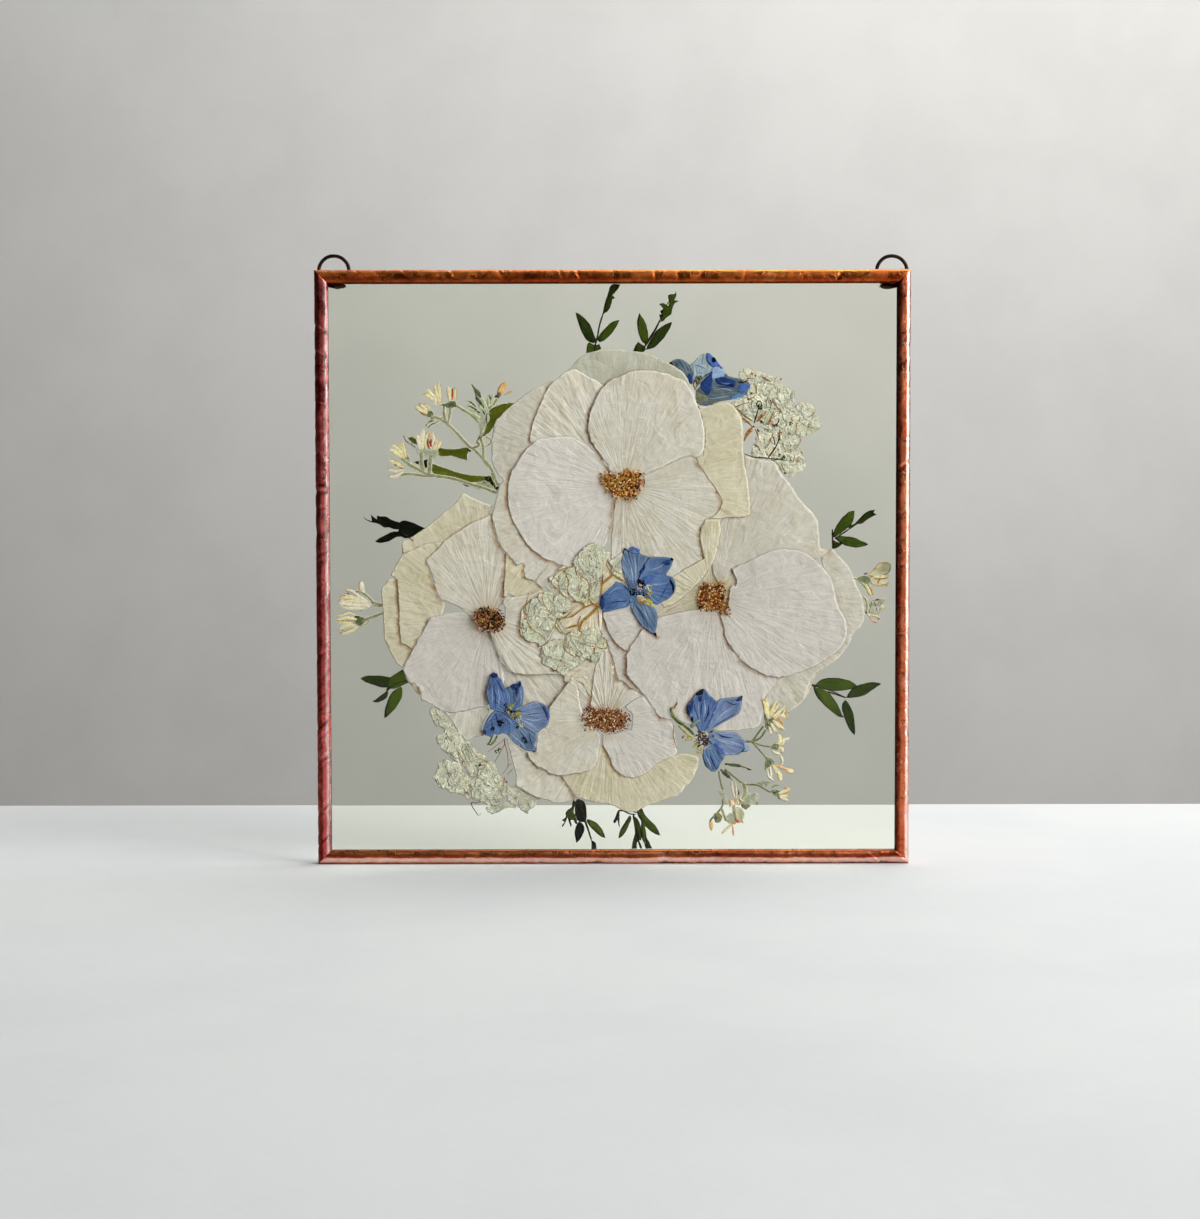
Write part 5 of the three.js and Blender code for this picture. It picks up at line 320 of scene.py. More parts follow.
HYC_DOTS = [["g2", -23.03, 105.39, 0.99, 0.88], ["gr", -20.55, 108.13, 0.71, 0.6], ["o", -12.03, 114.97, 0.88, 0.66], ["o", -7.72, 92.79, 0.77, 0.6],
      ["b3", -16.86, 113.16, 0.88, 0.66], ["b3", -6.29, 110.87, 0.88, 0.99]]
HYC_BACK = [[[-7.03, 133.83], [-0.46, 133.83], [1.17, 129.46], [3.88, 123.45], [7.16, 119.62], [1.68, 117.43], [-4.95, 116.88], [-5.01, 101.01],
      [-7.7, 99.09], [-14.83, 99.09], [-20.58, 100.19], [-23.59, 101.29], [-24.67, 104.3], [-23.02, 105.94], [-21.9, 112.51], [-14.77, 115.24],
      [-8.18, 119.62]], [[-13.21, 91.15], [-0.59, 92.24], [0.49, 86.76], [-0.64, 77.98], [-5.6, 70.84], [-9.44, 71.39], [-13.26, 77.43],
      [-20.95, 77.98], [-20.91, 87.31]]]
HYL_STRANDS = [["o", [[-46.53, 53.82], [-48.99, 51.67], [-53.89, 48.07]], 0.32], ["b3", [[-46.55, 51.53], [-48.14, 48.65], [-51.04, 43.47]], 0.37],
      ["b3", [[-46.26, 50.95], [-45.42, 47.21], [-45.15, 43.47], [-45.31, 41.75], [-47.48, 38.44]], 0.34], ["b3", [[-45.31, 41.75], [-43.43, 43.47]],
      0.26], ["b4", [[-43.16, 40.74], [-45.61, 38.15]], 0.23], ["b4", [[-46.82, 53.54], [-46.41, 50.66]], 0.46], ["b3", [[-46.63, 36.56],
      [-47.07, 34.55], [-47.51, 32.39]], 0.26], ["o", [[-59.49, 46.49], [-58.21, 45.63], [-56.49, 44.91], [-54.2, 43.62]], 0.4],
      ["b4", [[-57.02, 26.63], [-59.18, 25.96], [-60.91, 26.2], [-60.49, 24.18], [-58.92, 21.87], [-58.01, 20.66], [-56.97, 21.53]], 0.37],
      ["w", [[-63.63, 51.53], [-62.93, 47.79], [-61.38, 43.76]], 0.46], ["w", [[-62.62, 51.81], [-61.35, 48.36], [-59.37, 43.76]], 0.4],
      ["w", [[-61.48, 50.66], [-59.63, 47.5], [-58.2, 46.06]], 0.4], ["w", [[-64.5, 48.65], [-63.38, 45.49], [-61.82, 42.03]], 0.4],
      ["w", [[-60.24, 42.03], [-59.39, 39.73], [-59.4, 37.43]], 0.34], ["w", [[-56.65, 42.03], [-55.64, 42.61], [-54.49, 42.03]], 0.34],
      ["w", [[-49.65, 34.55], [-47.92, 35.7], [-46.77, 36.28]], 0.34], ["w", [[-46.21, 33.4], [-44.78, 31.67], [-43.36, 29.94]], 0.34],
      ["b3", [[-66.66, 48.07], [-64.81, 44.91], [-63.25, 42.32], [-62.55, 39.44], [-60.12, 36.85]], 0.2], ["b3", [[-58.84, 36.28], [-58.24, 39.16],
      [-57.8, 41.17]], 0.2], ["b3", [[-61.85, 36.13], [-62.35, 34.12], [-61.5, 32.25], [-61.02, 30.52], [-60.75, 27.92], [-59.18, 26.71]], 0.17],
      ["b3", [[-51.09, 34.26], [-49.36, 34.84], [-47.92, 35.7]], 0.2], ["b3", [[-50.28, 25.91], [-49.12, 27.06], [-47.39, 27.92]], 0.17],
      ["b3", [[-39.33, 31.38], [-35.89, 29.65], [-32.45, 27.92]], 0.23]]
HYL_DOTS = [["gr", -49.58, 48.07, 1.26, 0.8], ["k", -50.78, 48.22, 0.52, 0.46], ["k", -48.88, 49.28, 0.52, 0.4], ["k", -57.22, 42.38, 0.46, 0.46],
      ["g2", -58.37, 42.18, 0.8, 0.52], ["o", -46.63, 36.28, 0.69, 0.69], ["g2", -53.11, 33.54, 0.75, 0.75], ["k", -45.86, 35.27, 0.34, 0.34]]
HY_STRANDS = [["b3", [[59.67, 187.27], [57.48, 189.45], [54.05, 191.93], [52.8, 194.42]], 0.7], ["b3", [[59.67, 189.76], [55.92, 192.25],
      [53.74, 194.42], [52.49, 195.04]], 0.54], ["b3", [[59.36, 186.65], [57.48, 184.47], [56.23, 181.36]], 1.28], ["b4", [[59.51, 186.96],
      [58.11, 184.47], [56.23, 181.21]], 0.39], ["b3", [[59.98, 185.72], [58.57, 184.79], [56.85, 182.3]], 0.5], ["b4", [[60.45, 188.83],
      [61.54, 192.56], [62.32, 195.35]], 0.58], ["b4", [[62.32, 195.04], [61.54, 196.59], [61.86, 197.84], [63.11, 198.15], [63.73, 196.59]], 0.46],
      ["b3", [[60.92, 186.34], [61.85, 183.85], [62.48, 181.68]], 0.5], ["b3", [[61.54, 189.45], [63.42, 191.31], [65.6, 193.33]], 0.85],
      ["o", [[62.17, 190.69], [63.73, 192.56], [64.67, 193.49]], 0.58], ["b3", [[65.92, 188.21], [67.17, 189.76], [68.73, 193.8]], 0.77],
      ["b4", [[68.26, 187.89], [69.67, 188.05], [70.91, 189.45], [70.91, 190.69]], 0.66], ["b4", [[62.95, 189.76], [64.2, 189.45]], 0.85],
      ["b4", [[67.16, 198.77], [67.79, 197.53], [67.48, 196.28]], 0.5], ["b3", [[68.1, 198.46], [69.66, 196.28], [72.16, 193.18], [73.1, 190.07]],
      0.39], ["w", [[64.67, 188.83], [65.92, 191.93], [67.17, 193.8]], 0.75], ["w", [[61.23, 187.27], [64.04, 187.58], [65.92, 186.34]], 1.1],
      ["w", [[67.48, 188.21], [69.67, 186.96], [70.91, 189.45]], 0.65], ["w", [[62.79, 185.72], [65.29, 184.47], [67.17, 183.54]], 0.35],
      ["g2", [[64.67, 185.87], [67.17, 186.34]], 0.27], ["b4", [[56.23, 175.76], [60.92, 174.21], [66.23, 173.9], [69.67, 173.43], [74.67, 172.96]],
      0.46], ["b4", [[66.54, 174.21], [69.04, 177.63], [70.61, 180.74], [71.54, 184.16]], 0.58], ["b4", [[69.36, 179.5], [69.2, 181.36],
      [68.57, 183.08]], 0.35], ["b3", [[70.6, 184.16], [71.54, 184.79], [72.48, 184.47]], 0.66], ["b4", [[57.48, 196.91], [59.05, 194.42],
      [60.45, 191.31]], 0.15], ["b3", [[52.17, 195.66], [55.3, 196.91], [58.11, 197.53]], 0.43], ["b3", [[57.48, 198.77], [59.67, 199.7],
      [61.23, 200.63]], 0.39], ["b3", [[72.17, 171.1], [73.74, 167.67]], 0.35], ["b3", [[72.17, 180.12], [74.04, 177.01]], 0.23],
      ["b3", [[77.79, 184.47], [79.67, 183.23], [80.29, 181.36], [78.73, 178.25]], 0.31], ["b3", [[78.1, 184.47], [78.73, 188.83]], 0.27],
      ["b3", [[83.72, 191.0], [86.53, 193.49]], 0.31], ["b3", [[61.23, 204.98], [61.39, 201.87]], 0.43], ["b3", [[64.04, 208.39], [66.23, 207.15],
      [67.79, 206.53]], 0.46], ["b3", [[76.23, 174.52], [75.92, 172.65]], 0.43], ["b3", [[77.8, 175.14], [77.17, 172.03]], 0.27],
      ["b4", [[58.42, 202.18], [59.67, 201.1]], 0.31], ["b3", [[59.98, 180.12], [62.48, 178.25], [63.1, 176.7]], 0.35], ["b3", [[65.6, 178.25],
      [67.48, 181.36], [67.79, 182.92]], 0.27]]
HY_DOTS = [["k", 62.79, 195.97, 0.94, 1.56], ["gr", 63.57, 195.35, 0.94, 0.94], ["k", 63.73, 189.45, 0.94, 0.62], ["b4", 61.54, 185.41, 0.94, 0.94],
      ["b3", 60.45, 209.48, 0.81, 0.81], ["b4", 59.36, 201.56, 0.62, 0.44], ["b3", 76.23, 188.83, 1.12, 0.62], ["b4", 75.76, 188.67, 0.5, 0.5],
      ["gr", 72.17, 174.21, 1.44, 0.94], ["k", 71.23, 175.14, 0.62, 0.5], ["k", 73.74, 167.67, 0.5, 0.44], ["b3", 71.53, 207.46, 0.62, 0.62],
      ["b4", 69.2, 187.74, 1.25, 0.75], ["b3", 67.48, 189.45, 0.94, 0.75], ["k", 70.29, 173.43, 0.81, 0.31], ["b4", 59.67, 187.12, 0.69, 0.69]]
PETALS = {
    "T_top": [[-0.27,167.97],[-1.97,170.52],[-3.66,173.07],[-5.36,175.61],[-7.06,177.73],[-8.75,180.28],[-9.8,183.24],[-10.43,185.79],
     [-10.64,187.91],[-10.2,190.87],[-9.55,193.84],[-8.48,196.38],[-7.41,198.92],[-6.12,201.45],[-4.84,203.57],[-3.56,204.84],[-1.85,206.53],
     [0.28,207.8],[2.41,208.43],[4.97,209.49],[7.1,210.76],[9.22,211.18],[11.78,211.39],[15.18,211.18],[18.58,210.76],[21.98,210.13],[25.38,209.07],
     [28.36,207.8],[30.7,206.74],[32.4,204.63],[33.67,202.3],[34.73,200.19],[35.79,197.22],[36.85,194.68],[37.7,192.14],[38.55,189.18],
     [39.18,186.21],[39.39,182.82],[39.17,179.43],[38.53,176.88],[37.25,175.19],[35.54,174.34],[33.84,174.76],[31.71,174.76],[29.58,174.13],
     [27.87,173.49],[25.74,172.64],[24.03,171.58],[21.9,170.52],[20.19,169.67],[18.06,168.82],[15.93,167.97],[13.79,167.12]],
    "T_strip": [[39.77,148.0],[45.75,147.58],[46.17,144.17],[45.74,139.92],[44.88,135.66],[43.6,131.4],[42.31,128.42],[40.17,125.44],[38.03,122.45],
     [35.47,119.89],[32.47,116.91],[29.48,114.35],[26.05,111.79],[21.78,110.08],[19.22,113.49],[23.5,118.61],[25.22,122.88],[29.07,125.44],
     [34.2,128.42],[38.9,130.98],[38.05,135.66],[37.2,140.34],[38.06,144.6]],
    "R_right": [[50.43,126.71],[53.42,127.99],[56.41,129.06],[59.4,130.55],[61.96,131.83],[64.95,133.11],[67.94,134.38],[70.5,135.02],[73.48,135.23],
     [76.47,134.81],[79.89,134.38],[84.16,132.25],[87.58,129.27],[90.57,126.29],[93.14,122.88],[94.43,119.47],[95.29,115.2],[96.15,111.79],
     [97.44,108.37],[99.15,105.81],[100.01,102.82],[100.02,98.12],[98.74,94.7],[96.18,91.28],[92.76,88.71],[89.34,86.57],[86.35,84.86],[82.5,83.15],
     [78.64,81.87],[75.65,80.58],[72.65,80.37],[69.66,80.15],[67.09,80.58],[64.52,81.22],[61.95,82.72],[59.38,84.01],[56.82,85.72],[54.68,87.43],
     [53.4,89.57],[51.69,91.71],[49.98,93.84],[48.69,95.98],[47.84,98.12],[47.41,100.68],[46.99,103.25],[46.14,105.38],[45.71,106.66],[49.13,111.36],
     [49.99,117.76],[51.28,119.89],[52.56,119.04],[52.99,121.17],[52.13,123.73]],
    "B_left": [[-18.1,79.3],[-20.25,76.73],[-22.4,73.73],[-24.55,71.16],[-26.28,68.59],[-27.57,66.44],[-28.44,63.01],[-29.74,59.58],[-32.33,56.15],
     [-32.78,51.43],[-33.23,48.42],[-35.8,48.85],[-36.66,47.99],[-36.24,45.85],[-34.96,44.13],[-32.83,41.98],[-30.69,41.12],[-28.97,40.26],
     [-27.26,38.97],[-25.12,38.33],[-22.98,38.11],[-20.83,38.11],[-18.69,38.33],[-15.68,38.97],[-12.68,39.4],[-10.1,40.26],[-7.95,41.98],
     [-6.66,44.56],[-6.22,47.56],[-5.78,51.43],[-5.76,55.29],[-7.04,57.01],[-10.03,61.3],[-13.01,65.59],[-14.28,70.73],[-15.11,75.87]],
    "T_far_right": [[36.0,196.8],[38.55,195.95],[41.53,196.38],[44.94,197.22],[48.35,197.65],[50.9,196.8],[52.6,194.68],[54.3,192.14],[55.15,190.02],
     [55.58,186.63],[55.57,178.16],[56.0,173.91],[56.42,170.52],[57.06,167.12],[57.7,163.73],[58.12,159.9],[58.55,156.08],[58.76,152.68],
     [58.55,149.7],[56.41,148.85],[53.43,148.64],[50.01,148.43],[46.6,148.21],[44.04,148.0],[40.63,148.0],[44.47,150.55],[46.61,155.23],
     [44.48,159.9],[41.5,164.15],[37.67,169.67],[35.12,173.91],[38.53,174.76],[39.39,182.82],[38.12,190.02]],
    "R_bottom": [[13.21,101.54],[11.49,99.4],[9.77,96.84],[8.06,94.27],[6.76,91.71],[5.69,89.14],[5.68,86.15],[5.67,83.15],[5.88,81.01],[7.59,78.87],
     [9.72,76.73],[11.43,74.59],[13.56,72.02],[15.7,69.02],[17.4,66.44],[19.11,63.87],[21.25,62.59],[22.96,62.16],[28.53,61.3],[32.81,59.58],
     [43.09,57.44],[52.09,57.01],[55.09,57.44],[58.52,57.87],[61.95,58.73],[63.66,62.16],[64.52,67.3],[65.38,71.59],[71.37,79.3],[62.81,96.41],
     [47.85,109.22],[37.16,109.22],[24.34,107.09],[15.78,104.1]],
    "T_right": [[13.79,167.12],[16.78,167.97],[20.19,169.67],[24.03,171.37],[27.87,173.07],[30.43,174.34],[32.99,174.76],[34.69,173.91],
     [35.97,172.22],[37.67,169.67],[39.37,167.12],[41.5,164.15],[43.2,161.6],[44.48,159.9],[45.76,157.36],[46.61,155.23],[46.18,152.68],
     [44.47,150.55],[42.33,149.28],[40.2,148.43],[39.35,147.15],[38.49,145.02],[37.63,142.9],[37.2,140.34],[37.63,137.79],[38.48,135.23],
     [38.9,133.11],[38.9,130.98],[36.76,129.7],[34.2,128.42],[31.21,126.71],[29.07,125.44],[26.93,123.73],[25.22,122.88],[15.82,122.02],
     [7.28,124.16],[3.89,134.38],[2.18,132.68],[0.47,130.55],[-0.81,130.55],[-0.8,134.81],[-0.79,139.07],[-0.56,143.32],[-0.12,147.15],[0.32,150.55],
     [0.75,153.53],[1.4,156.08]],
    "B_right": [[-4.48,55.72],[-4.91,53.58],[-4.49,51.0],[-3.21,48.85],[-1.94,45.85],[-1.09,43.7],[0.19,41.12],[1.9,39.4],[3.61,38.11],[5.76,37.25],
     [7.9,36.82],[10.47,37.25],[12.62,38.11],[14.77,39.4],[16.49,41.12],[18.64,42.84],[20.78,44.13],[23.36,44.99],[25.93,46.28],[27.22,47.56],
     [27.22,49.71],[26.8,52.72],[26.38,56.15],[25.96,58.73],[25.1,60.44],[22.96,62.16],[19.97,63.44],[17.83,65.16],[15.69,68.16],[13.99,70.3],
     [12.71,72.02],[9.7,70.73],[7.13,69.02],[4.98,67.3],[7.97,64.3],[8.39,61.3],[7.96,57.87],[4.95,57.01],[0.67,55.72],[-2.33,55.72]],
    "R_left_b": [[-4.73,107.94],[-3.46,104.1],[-2.62,101.11],[-1.34,98.12],[0.36,95.55],[2.07,93.84],[4.2,92.13],[6.34,91.28],[11.48,96.41],
     [15.78,102.82],[17.93,109.22],[7.25,110.93]],
    "T_LL": [[-31.75,181.97],[-33.88,180.49],[-36.02,178.58],[-37.73,176.88],[-39.66,174.34],[-41.17,171.79],[-42.89,169.25],[-43.97,166.7],
     [-44.62,163.73],[-44.93,161.18],[-44.87,156.51],[-44.38,152.68],[-43.84,150.55],[-43.0,148.0],[-42.15,145.88],[-40.46,142.9],[-38.77,140.34],
     [-37.07,137.79],[-35.38,135.66],[-33.25,133.96],[-31.12,132.25],[-28.99,130.98],[-26.44,129.91],[-23.88,128.84],[-21.32,127.99],[-19.19,127.57],
     [-17.48,127.78],[-14.05,129.7],[-9.78,131.4],[-5.5,134.38],[-2.93,137.36],[-1.64,140.34],[-0.99,143.75],[-0.55,146.73],[0.1,150.98],
     [0.75,153.95],[1.19,156.08],[-0.3,159.48],[-2.42,161.6],[-3.69,165.43],[-2.83,168.4],[-0.7,167.97],[-1.97,169.67],[-3.67,171.79],[-5.36,173.91],
     [-7.06,176.04],[-9.61,178.16],[-12.16,180.28],[-14.71,181.55],[-16.83,183.03],[-18.96,183.24],[-22.37,183.24],[-25.78,183.03],[-28.76,182.61]],
    "L_right": [[-47.03,112.64],[-46.16,114.35],[-43.17,114.77],[-39.75,115.2],[-35.47,116.05],[-31.19,117.76],[-26.94,113.49],[-22.7,104.95],
     [-20.6,96.41],[-21.91,87.86],[-23.65,82.72],[-27.08,81.65],[-31.36,81.44],[-35.64,81.44],[-39.92,81.65],[-42.91,82.29],[-45.04,84.43],
     [-47.16,87.43],[-48.86,90.42],[-50.12,93.42],[-51.39,96.41],[-52.66,99.4],[-50.51,101.54],[-47.07,104.1],[-46.2,108.37]],
    "R_left_a": [[-5.59,108.37],[-6.45,104.1],[-6.47,100.68],[-4.76,98.55],[-3.06,96.41],[-1.79,92.56],[-0.52,88.71],[0.75,84.43],[2.02,79.73],
     [4.59,78.01],[7.15,75.87],[10.14,74.16],[12.71,72.44],[15.7,70.73],[11.43,75.01],[11.47,92.13],[2.97,109.22]],
    "R_topleft": [[18.35,108.37],[21.77,107.52],[25.19,109.65],[28.62,110.93],[32.89,112.64],[35.89,113.49],[37.16,108.37],[32.88,104.95],
     [24.33,102.82],[18.76,100.68]],
    "R_top": [[56.42,175.19],[58.55,174.34],[61.54,173.49],[64.95,173.07],[67.93,172.64],[69.63,171.79],[70.91,168.82],[73.05,165.85],[75.18,163.3],
     [77.31,160.33],[79.02,157.36],[81.15,154.81],[83.29,152.68],[85.0,150.98],[86.28,149.28],[87.56,146.73],[87.99,143.32],[88.42,139.92],
     [88.42,136.94],[89.28,135.23],[93.98,134.81],[86.3,130.55],[71.35,130.55],[50.42,124.16],[45.72,117.76],[43.16,124.16],[42.31,127.99],
     [43.6,134.81],[46.6,147.58],[54.29,164.58]],
    "B_bottom": [[26.79,46.28],[28.51,47.14],[31.94,47.14],[35.37,46.28],[36.65,45.42],[36.65,42.84],[35.79,40.26],[34.49,37.25],[33.2,35.1],
     [31.06,33.38],[30.2,31.66],[28.48,29.94],[25.9,28.65],[23.32,27.79],[20.32,26.5],[17.31,25.64],[14.73,25.21],[13.01,23.92],[10.44,22.63],
     [8.29,21.98],[6.14,22.2],[3.57,23.06],[1.0,24.35],[-2.43,25.64],[-5.86,26.07],[-9.3,26.5],[-11.87,27.36],[-14.44,28.22],[-15.73,28.22],
     [-17.43,30.37],[-19.14,32.95],[-20.85,35.53],[-22.55,38.11],[-18.68,40.69],[-12.24,42.84],[-5.78,51.43],[7.07,47.14],[19.94,49.28]],
    "T_pleat": [[-26.53,205.69],[-27.39,203.99],[-28.67,202.3],[-29.53,200.19],[-30.39,198.07],[-31.47,195.95],[-32.33,193.84],[-33.19,191.72],
     [-34.05,189.6],[-34.7,187.06],[-35.14,184.52],[-35.58,182.4],[-35.16,180.28],[-30.91,179.0],[-22.39,177.31],[-13.88,175.19],[-7.07,173.07],
     [-3.66,173.07],[-5.36,175.61],[-7.9,179.85],[-9.59,184.94],[-9.57,190.02],[-8.27,195.11],[-6.55,199.34],[-4.84,202.72],[-2.71,205.26],
     [-3.98,205.26],[-6.1,206.53],[-8.65,208.01],[-11.2,209.28],[-12.9,210.34],[-14.6,211.39],[-16.08,212.03],[-18.0,211.6],[-19.7,210.97],
     [-20.98,210.34],[-22.69,208.65],[-24.4,207.38],[-25.25,206.74]],
    "T_bottomleft": [[-46.75,164.15],[-48.04,162.45],[-48.9,160.75],[-49.34,158.63],[-49.99,156.51],[-50.64,154.38],[-51.3,151.83],[-51.73,149.7],
     [-51.53,148.0],[-51.11,146.3],[-50.48,144.17],[-50.07,142.05],[-49.44,139.92],[-49.02,138.22],[-47.75,136.09],[-46.27,134.38],[-44.78,132.68],
     [-43.09,130.55],[-41.39,128.42],[-37.97,129.27],[-38.0,123.73],[-35.87,122.02],[-33.74,121.17],[-32.03,119.89],[-30.33,118.19],[-29.05,118.61],
     [-27.33,120.75],[-26.47,122.88],[-24.75,125.01],[-22.61,126.71],[-19.19,127.57],[-22.56,139.07],[-35.28,156.08],[-41.64,162.45]],
    "R_outer": [[88.43,135.66],[93.98,134.81],[96.12,132.68],[98.25,130.55],[100.39,127.99],[102.11,125.01],[103.39,122.02],[104.25,119.47],
     [105.54,116.91],[106.83,114.35],[107.26,111.79],[107.69,108.8],[107.7,105.38],[106.85,103.25],[105.57,101.11],[103.86,99.83],[102.58,98.55],
     [102.16,96.41],[101.31,94.27],[100.03,92.56],[98.75,90.85],[97.47,89.14],[95.33,87.0],[92.76,85.29],[90.2,83.58],[88.49,82.72],[86.35,80.58],
     [84.64,78.01],[83.79,75.44],[82.93,72.44],[81.65,69.87],[79.51,67.73],[76.94,66.02],[74.8,64.73],[67.09,64.3],[64.95,70.73],[71.37,79.3],
     [86.34,87.86],[94.88,104.95],[90.58,124.16]],
    "R_low": [[61.1,82.72],[73.51,81.87],[79.93,83.58],[86.34,87.86],[92.76,92.13],[97.47,89.14],[97.04,87.86],[93.19,86.15],[89.34,83.15],
     [86.35,79.3],[84.64,75.01],[82.51,70.73],[79.08,67.3],[74.8,64.73],[69.66,63.87],[65.38,65.59],[62.81,70.73],[61.52,77.16]],
    "B_topright": [[-8.69,77.58],[-7.81,84.43],[-5.22,90.0],[-3.93,92.13],[-2.64,92.99],[-1.79,91.28],[-0.52,87.86],[0.75,83.58],[2.02,79.73],
     [4.59,78.01],[7.58,75.87],[10.57,73.73],[12.71,72.02],[9.7,70.73],[7.13,69.02],[4.56,67.3],[1.98,65.59],[-5.73,64.3],[-10.01,65.59]],
    "B_leftbottom": [[-46.48,54.43],[-45.64,52.29],[-44.79,49.71],[-43.95,46.71],[-43.11,43.7],[-42.27,40.69],[-41.85,37.68],[-41.87,35.1],
     [-42.09,33.38],[-40.16,32.52],[-38.03,31.23],[-35.89,29.94],[-33.32,28.65],[-30.32,27.79],[-27.32,26.93],[-24.32,26.07],[-20.88,26.28],
     [-17.88,26.93],[-16.16,28.22],[-17.44,29.94],[-18.71,32.09],[-20.42,34.67],[-22.13,37.25],[-22.98,38.11],[-25.98,38.54],[-28.55,39.83],
     [-31.12,41.12],[-33.68,42.84],[-35.81,44.99],[-36.66,47.56],[-38.37,48.42],[-40.94,49.71],[-43.5,51.86]],
    "T_back_top": [[-24.82,206.95],[-22.26,208.65],[-19.7,210.76],[-17.14,213.3],[-14.58,216.25],[-11.59,218.15],[-8.61,219.21],[-5.21,220.06],
     [-1.81,220.48],[1.6,220.48],[5.0,220.06],[8.4,219.63],[11.8,219.21],[15.2,218.37],[18.59,217.1],[21.99,215.41],[24.54,214.14],[27.09,212.45],
     [29.64,210.76],[31.76,208.22],[33.03,205.26],[34.31,202.72],[35.37,199.76],[36.0,196.8],[37.27,193.41],[33.01,190.02],[20.24,190.02],
     [7.48,194.26],[-5.28,198.49],[-13.79,200.61],[-21.44,202.72]],
    "L_mid_right": [[-46.06,133.96],[-46.08,130.55],[-46.31,126.29],[-46.55,122.02],[-46.79,117.76],[-47.02,114.35],[-46.16,114.35],[-44.87,116.48],
     [-42.74,114.77],[-39.75,114.35],[-35.48,115.2],[-32.05,116.91],[-29.91,117.76],[-31.18,119.47],[-33.74,121.17],[-36.29,122.88],[-38.0,124.16],
     [-37.97,128.84],[-39.68,129.27],[-41.39,128.84],[-43.94,131.4]],
    "B_topleft": [[-18.09,80.15],[-15.52,82.72],[-13.37,84.43],[-9.94,86.15],[-9.1,81.01],[-8.69,77.58],[-7.43,70.73],[-10.01,65.59],[-13.01,65.59],
     [-18.58,65.59],[-27.58,65.59],[-26.28,68.59],[-24.55,71.16],[-22.4,73.73],[-20.25,76.73]],
    "T_left": [[-24.82,206.95],[-26.95,206.53],[-29.51,205.47],[-32.49,203.99],[-35.05,202.72],[-37.61,201.03],[-39.75,199.34],[-41.89,197.43],
     [-44.02,195.95],[-46.16,193.84],[-47.88,192.14],[-49.59,190.45],[-50.45,188.75],[-50.89,187.06],[-51.32,184.94],[-51.55,182.82],[-51.78,180.28],
     [-51.8,175.19],[-51.6,173.07],[-50.98,170.94],[-50.13,168.82],[-48.87,167.12],[-47.59,165.64],[-46.75,164.15],[-45.9,162.88],[-45.06,161.18],
     [-35.24,164.58],[-28.79,177.31],[-28.71,194.26],[-23.98,204.84]],
    "L_top": [[-60.93,146.3],[-63.5,144.6],[-65.21,143.32],[-67.35,142.05],[-69.5,140.77],[-71.21,139.49],[-72.5,138.43],[-74.22,136.51],
     [-75.94,134.38],[-78.09,132.47],[-79.38,131.19],[-80.03,130.34],[-79.4,128.84],[-78.55,127.14],[-77.72,124.58],[-76.88,122.02],[-76.26,119.47],
     [-75.63,117.33],[-74.79,115.2],[-74.16,113.92],[-72.24,113.07],[-70.11,112.21],[-68.4,111.57],[-66.27,110.51],[-64.14,109.01],[-62.44,107.73],
     [-60.74,106.66],[-59.46,105.38],[-52.61,107.09],[-47.46,111.79],[-47.02,114.35],[-46.57,117.76],[-46.55,122.02],[-46.31,126.29],[-46.08,130.55],
     [-46.27,133.53],[-47.76,135.66],[-49.03,137.79],[-49.87,140.34],[-50.7,143.32],[-51.11,146.3],[-51.52,150.55],[-54.08,149.28],[-57.51,147.58]],
    "L_bottomleft": [[-59.46,106.24],[-62.02,107.52],[-64.58,108.16],[-67.14,108.16],[-69.71,107.94],[-71.85,107.52],[-73.99,106.66],[-75.71,106.24],
     [-77.84,106.02],[-79.13,104.95],[-80.0,102.82],[-81.3,100.68],[-82.17,98.55],[-83.03,97.69],[-83.9,96.41],[-84.77,94.27],[-86.07,92.13],
     [-87.37,89.57],[-88.67,87.43],[-89.54,85.29],[-89.98,83.58],[-89.56,82.29],[-88.72,80.58],[-88.3,79.3],[-87.03,78.01],[-85.75,77.58],
     [-84.47,76.73],[-83.62,75.44],[-82.78,73.3],[-82.58,71.16],[-82.37,70.3],[-80.66,69.66],[-78.53,69.02],[-76.82,67.73],[-75.12,66.66],
     [-72.98,65.59],[-70.84,65.16],[-68.7,64.94],[-66.56,65.37],[-64.41,65.8],[-62.27,66.23],[-59.69,66.87],[-57.12,67.3],[-54.55,67.73],
     [-52.83,69.02],[-50.68,70.73],[-48.51,75.01],[-46.78,78.44],[-47.19,81.44],[-47.6,84.86],[-48.44,87.86],[-49.29,90.0],[-50.98,94.27],
     [-52.66,98.97],[-53.51,100.26],[-56.93,100.68],[-59.04,104.1]],
    "L_curl": [[-87.45,78.01],[-86.18,76.3],[-84.91,74.16],[-83.64,72.87],[-82.78,72.44],[-82.77,74.16],[-84.05,75.87],[-85.75,77.16]],
    "L_left": [[-90.47,132.25],[-91.77,130.55],[-92.63,128.84],[-93.5,127.14],[-94.37,125.44],[-95.23,123.94],[-93.96,123.3],[-93.11,122.88],
     [-92.48,121.17],[-92.28,118.61],[-92.09,115.63],[-91.91,112.21],[-91.72,108.37],[-91.75,104.1],[-91.57,99.83],[-91.17,96.41],[-90.75,94.91],
     [-89.05,94.06],[-86.92,92.78],[-86.07,92.13],[-78.34,96.41],[-74.0,104.95],[-71.82,111.79],[-74.37,113.71],[-75.22,115.2],[-76.05,117.76],
     [-76.89,120.32],[-77.73,123.3],[-78.56,126.29],[-79.4,128.84],[-80.02,130.55],[-78.95,131.83],[-76.8,133.96],[-74.65,136.09],[-72.5,138.43],
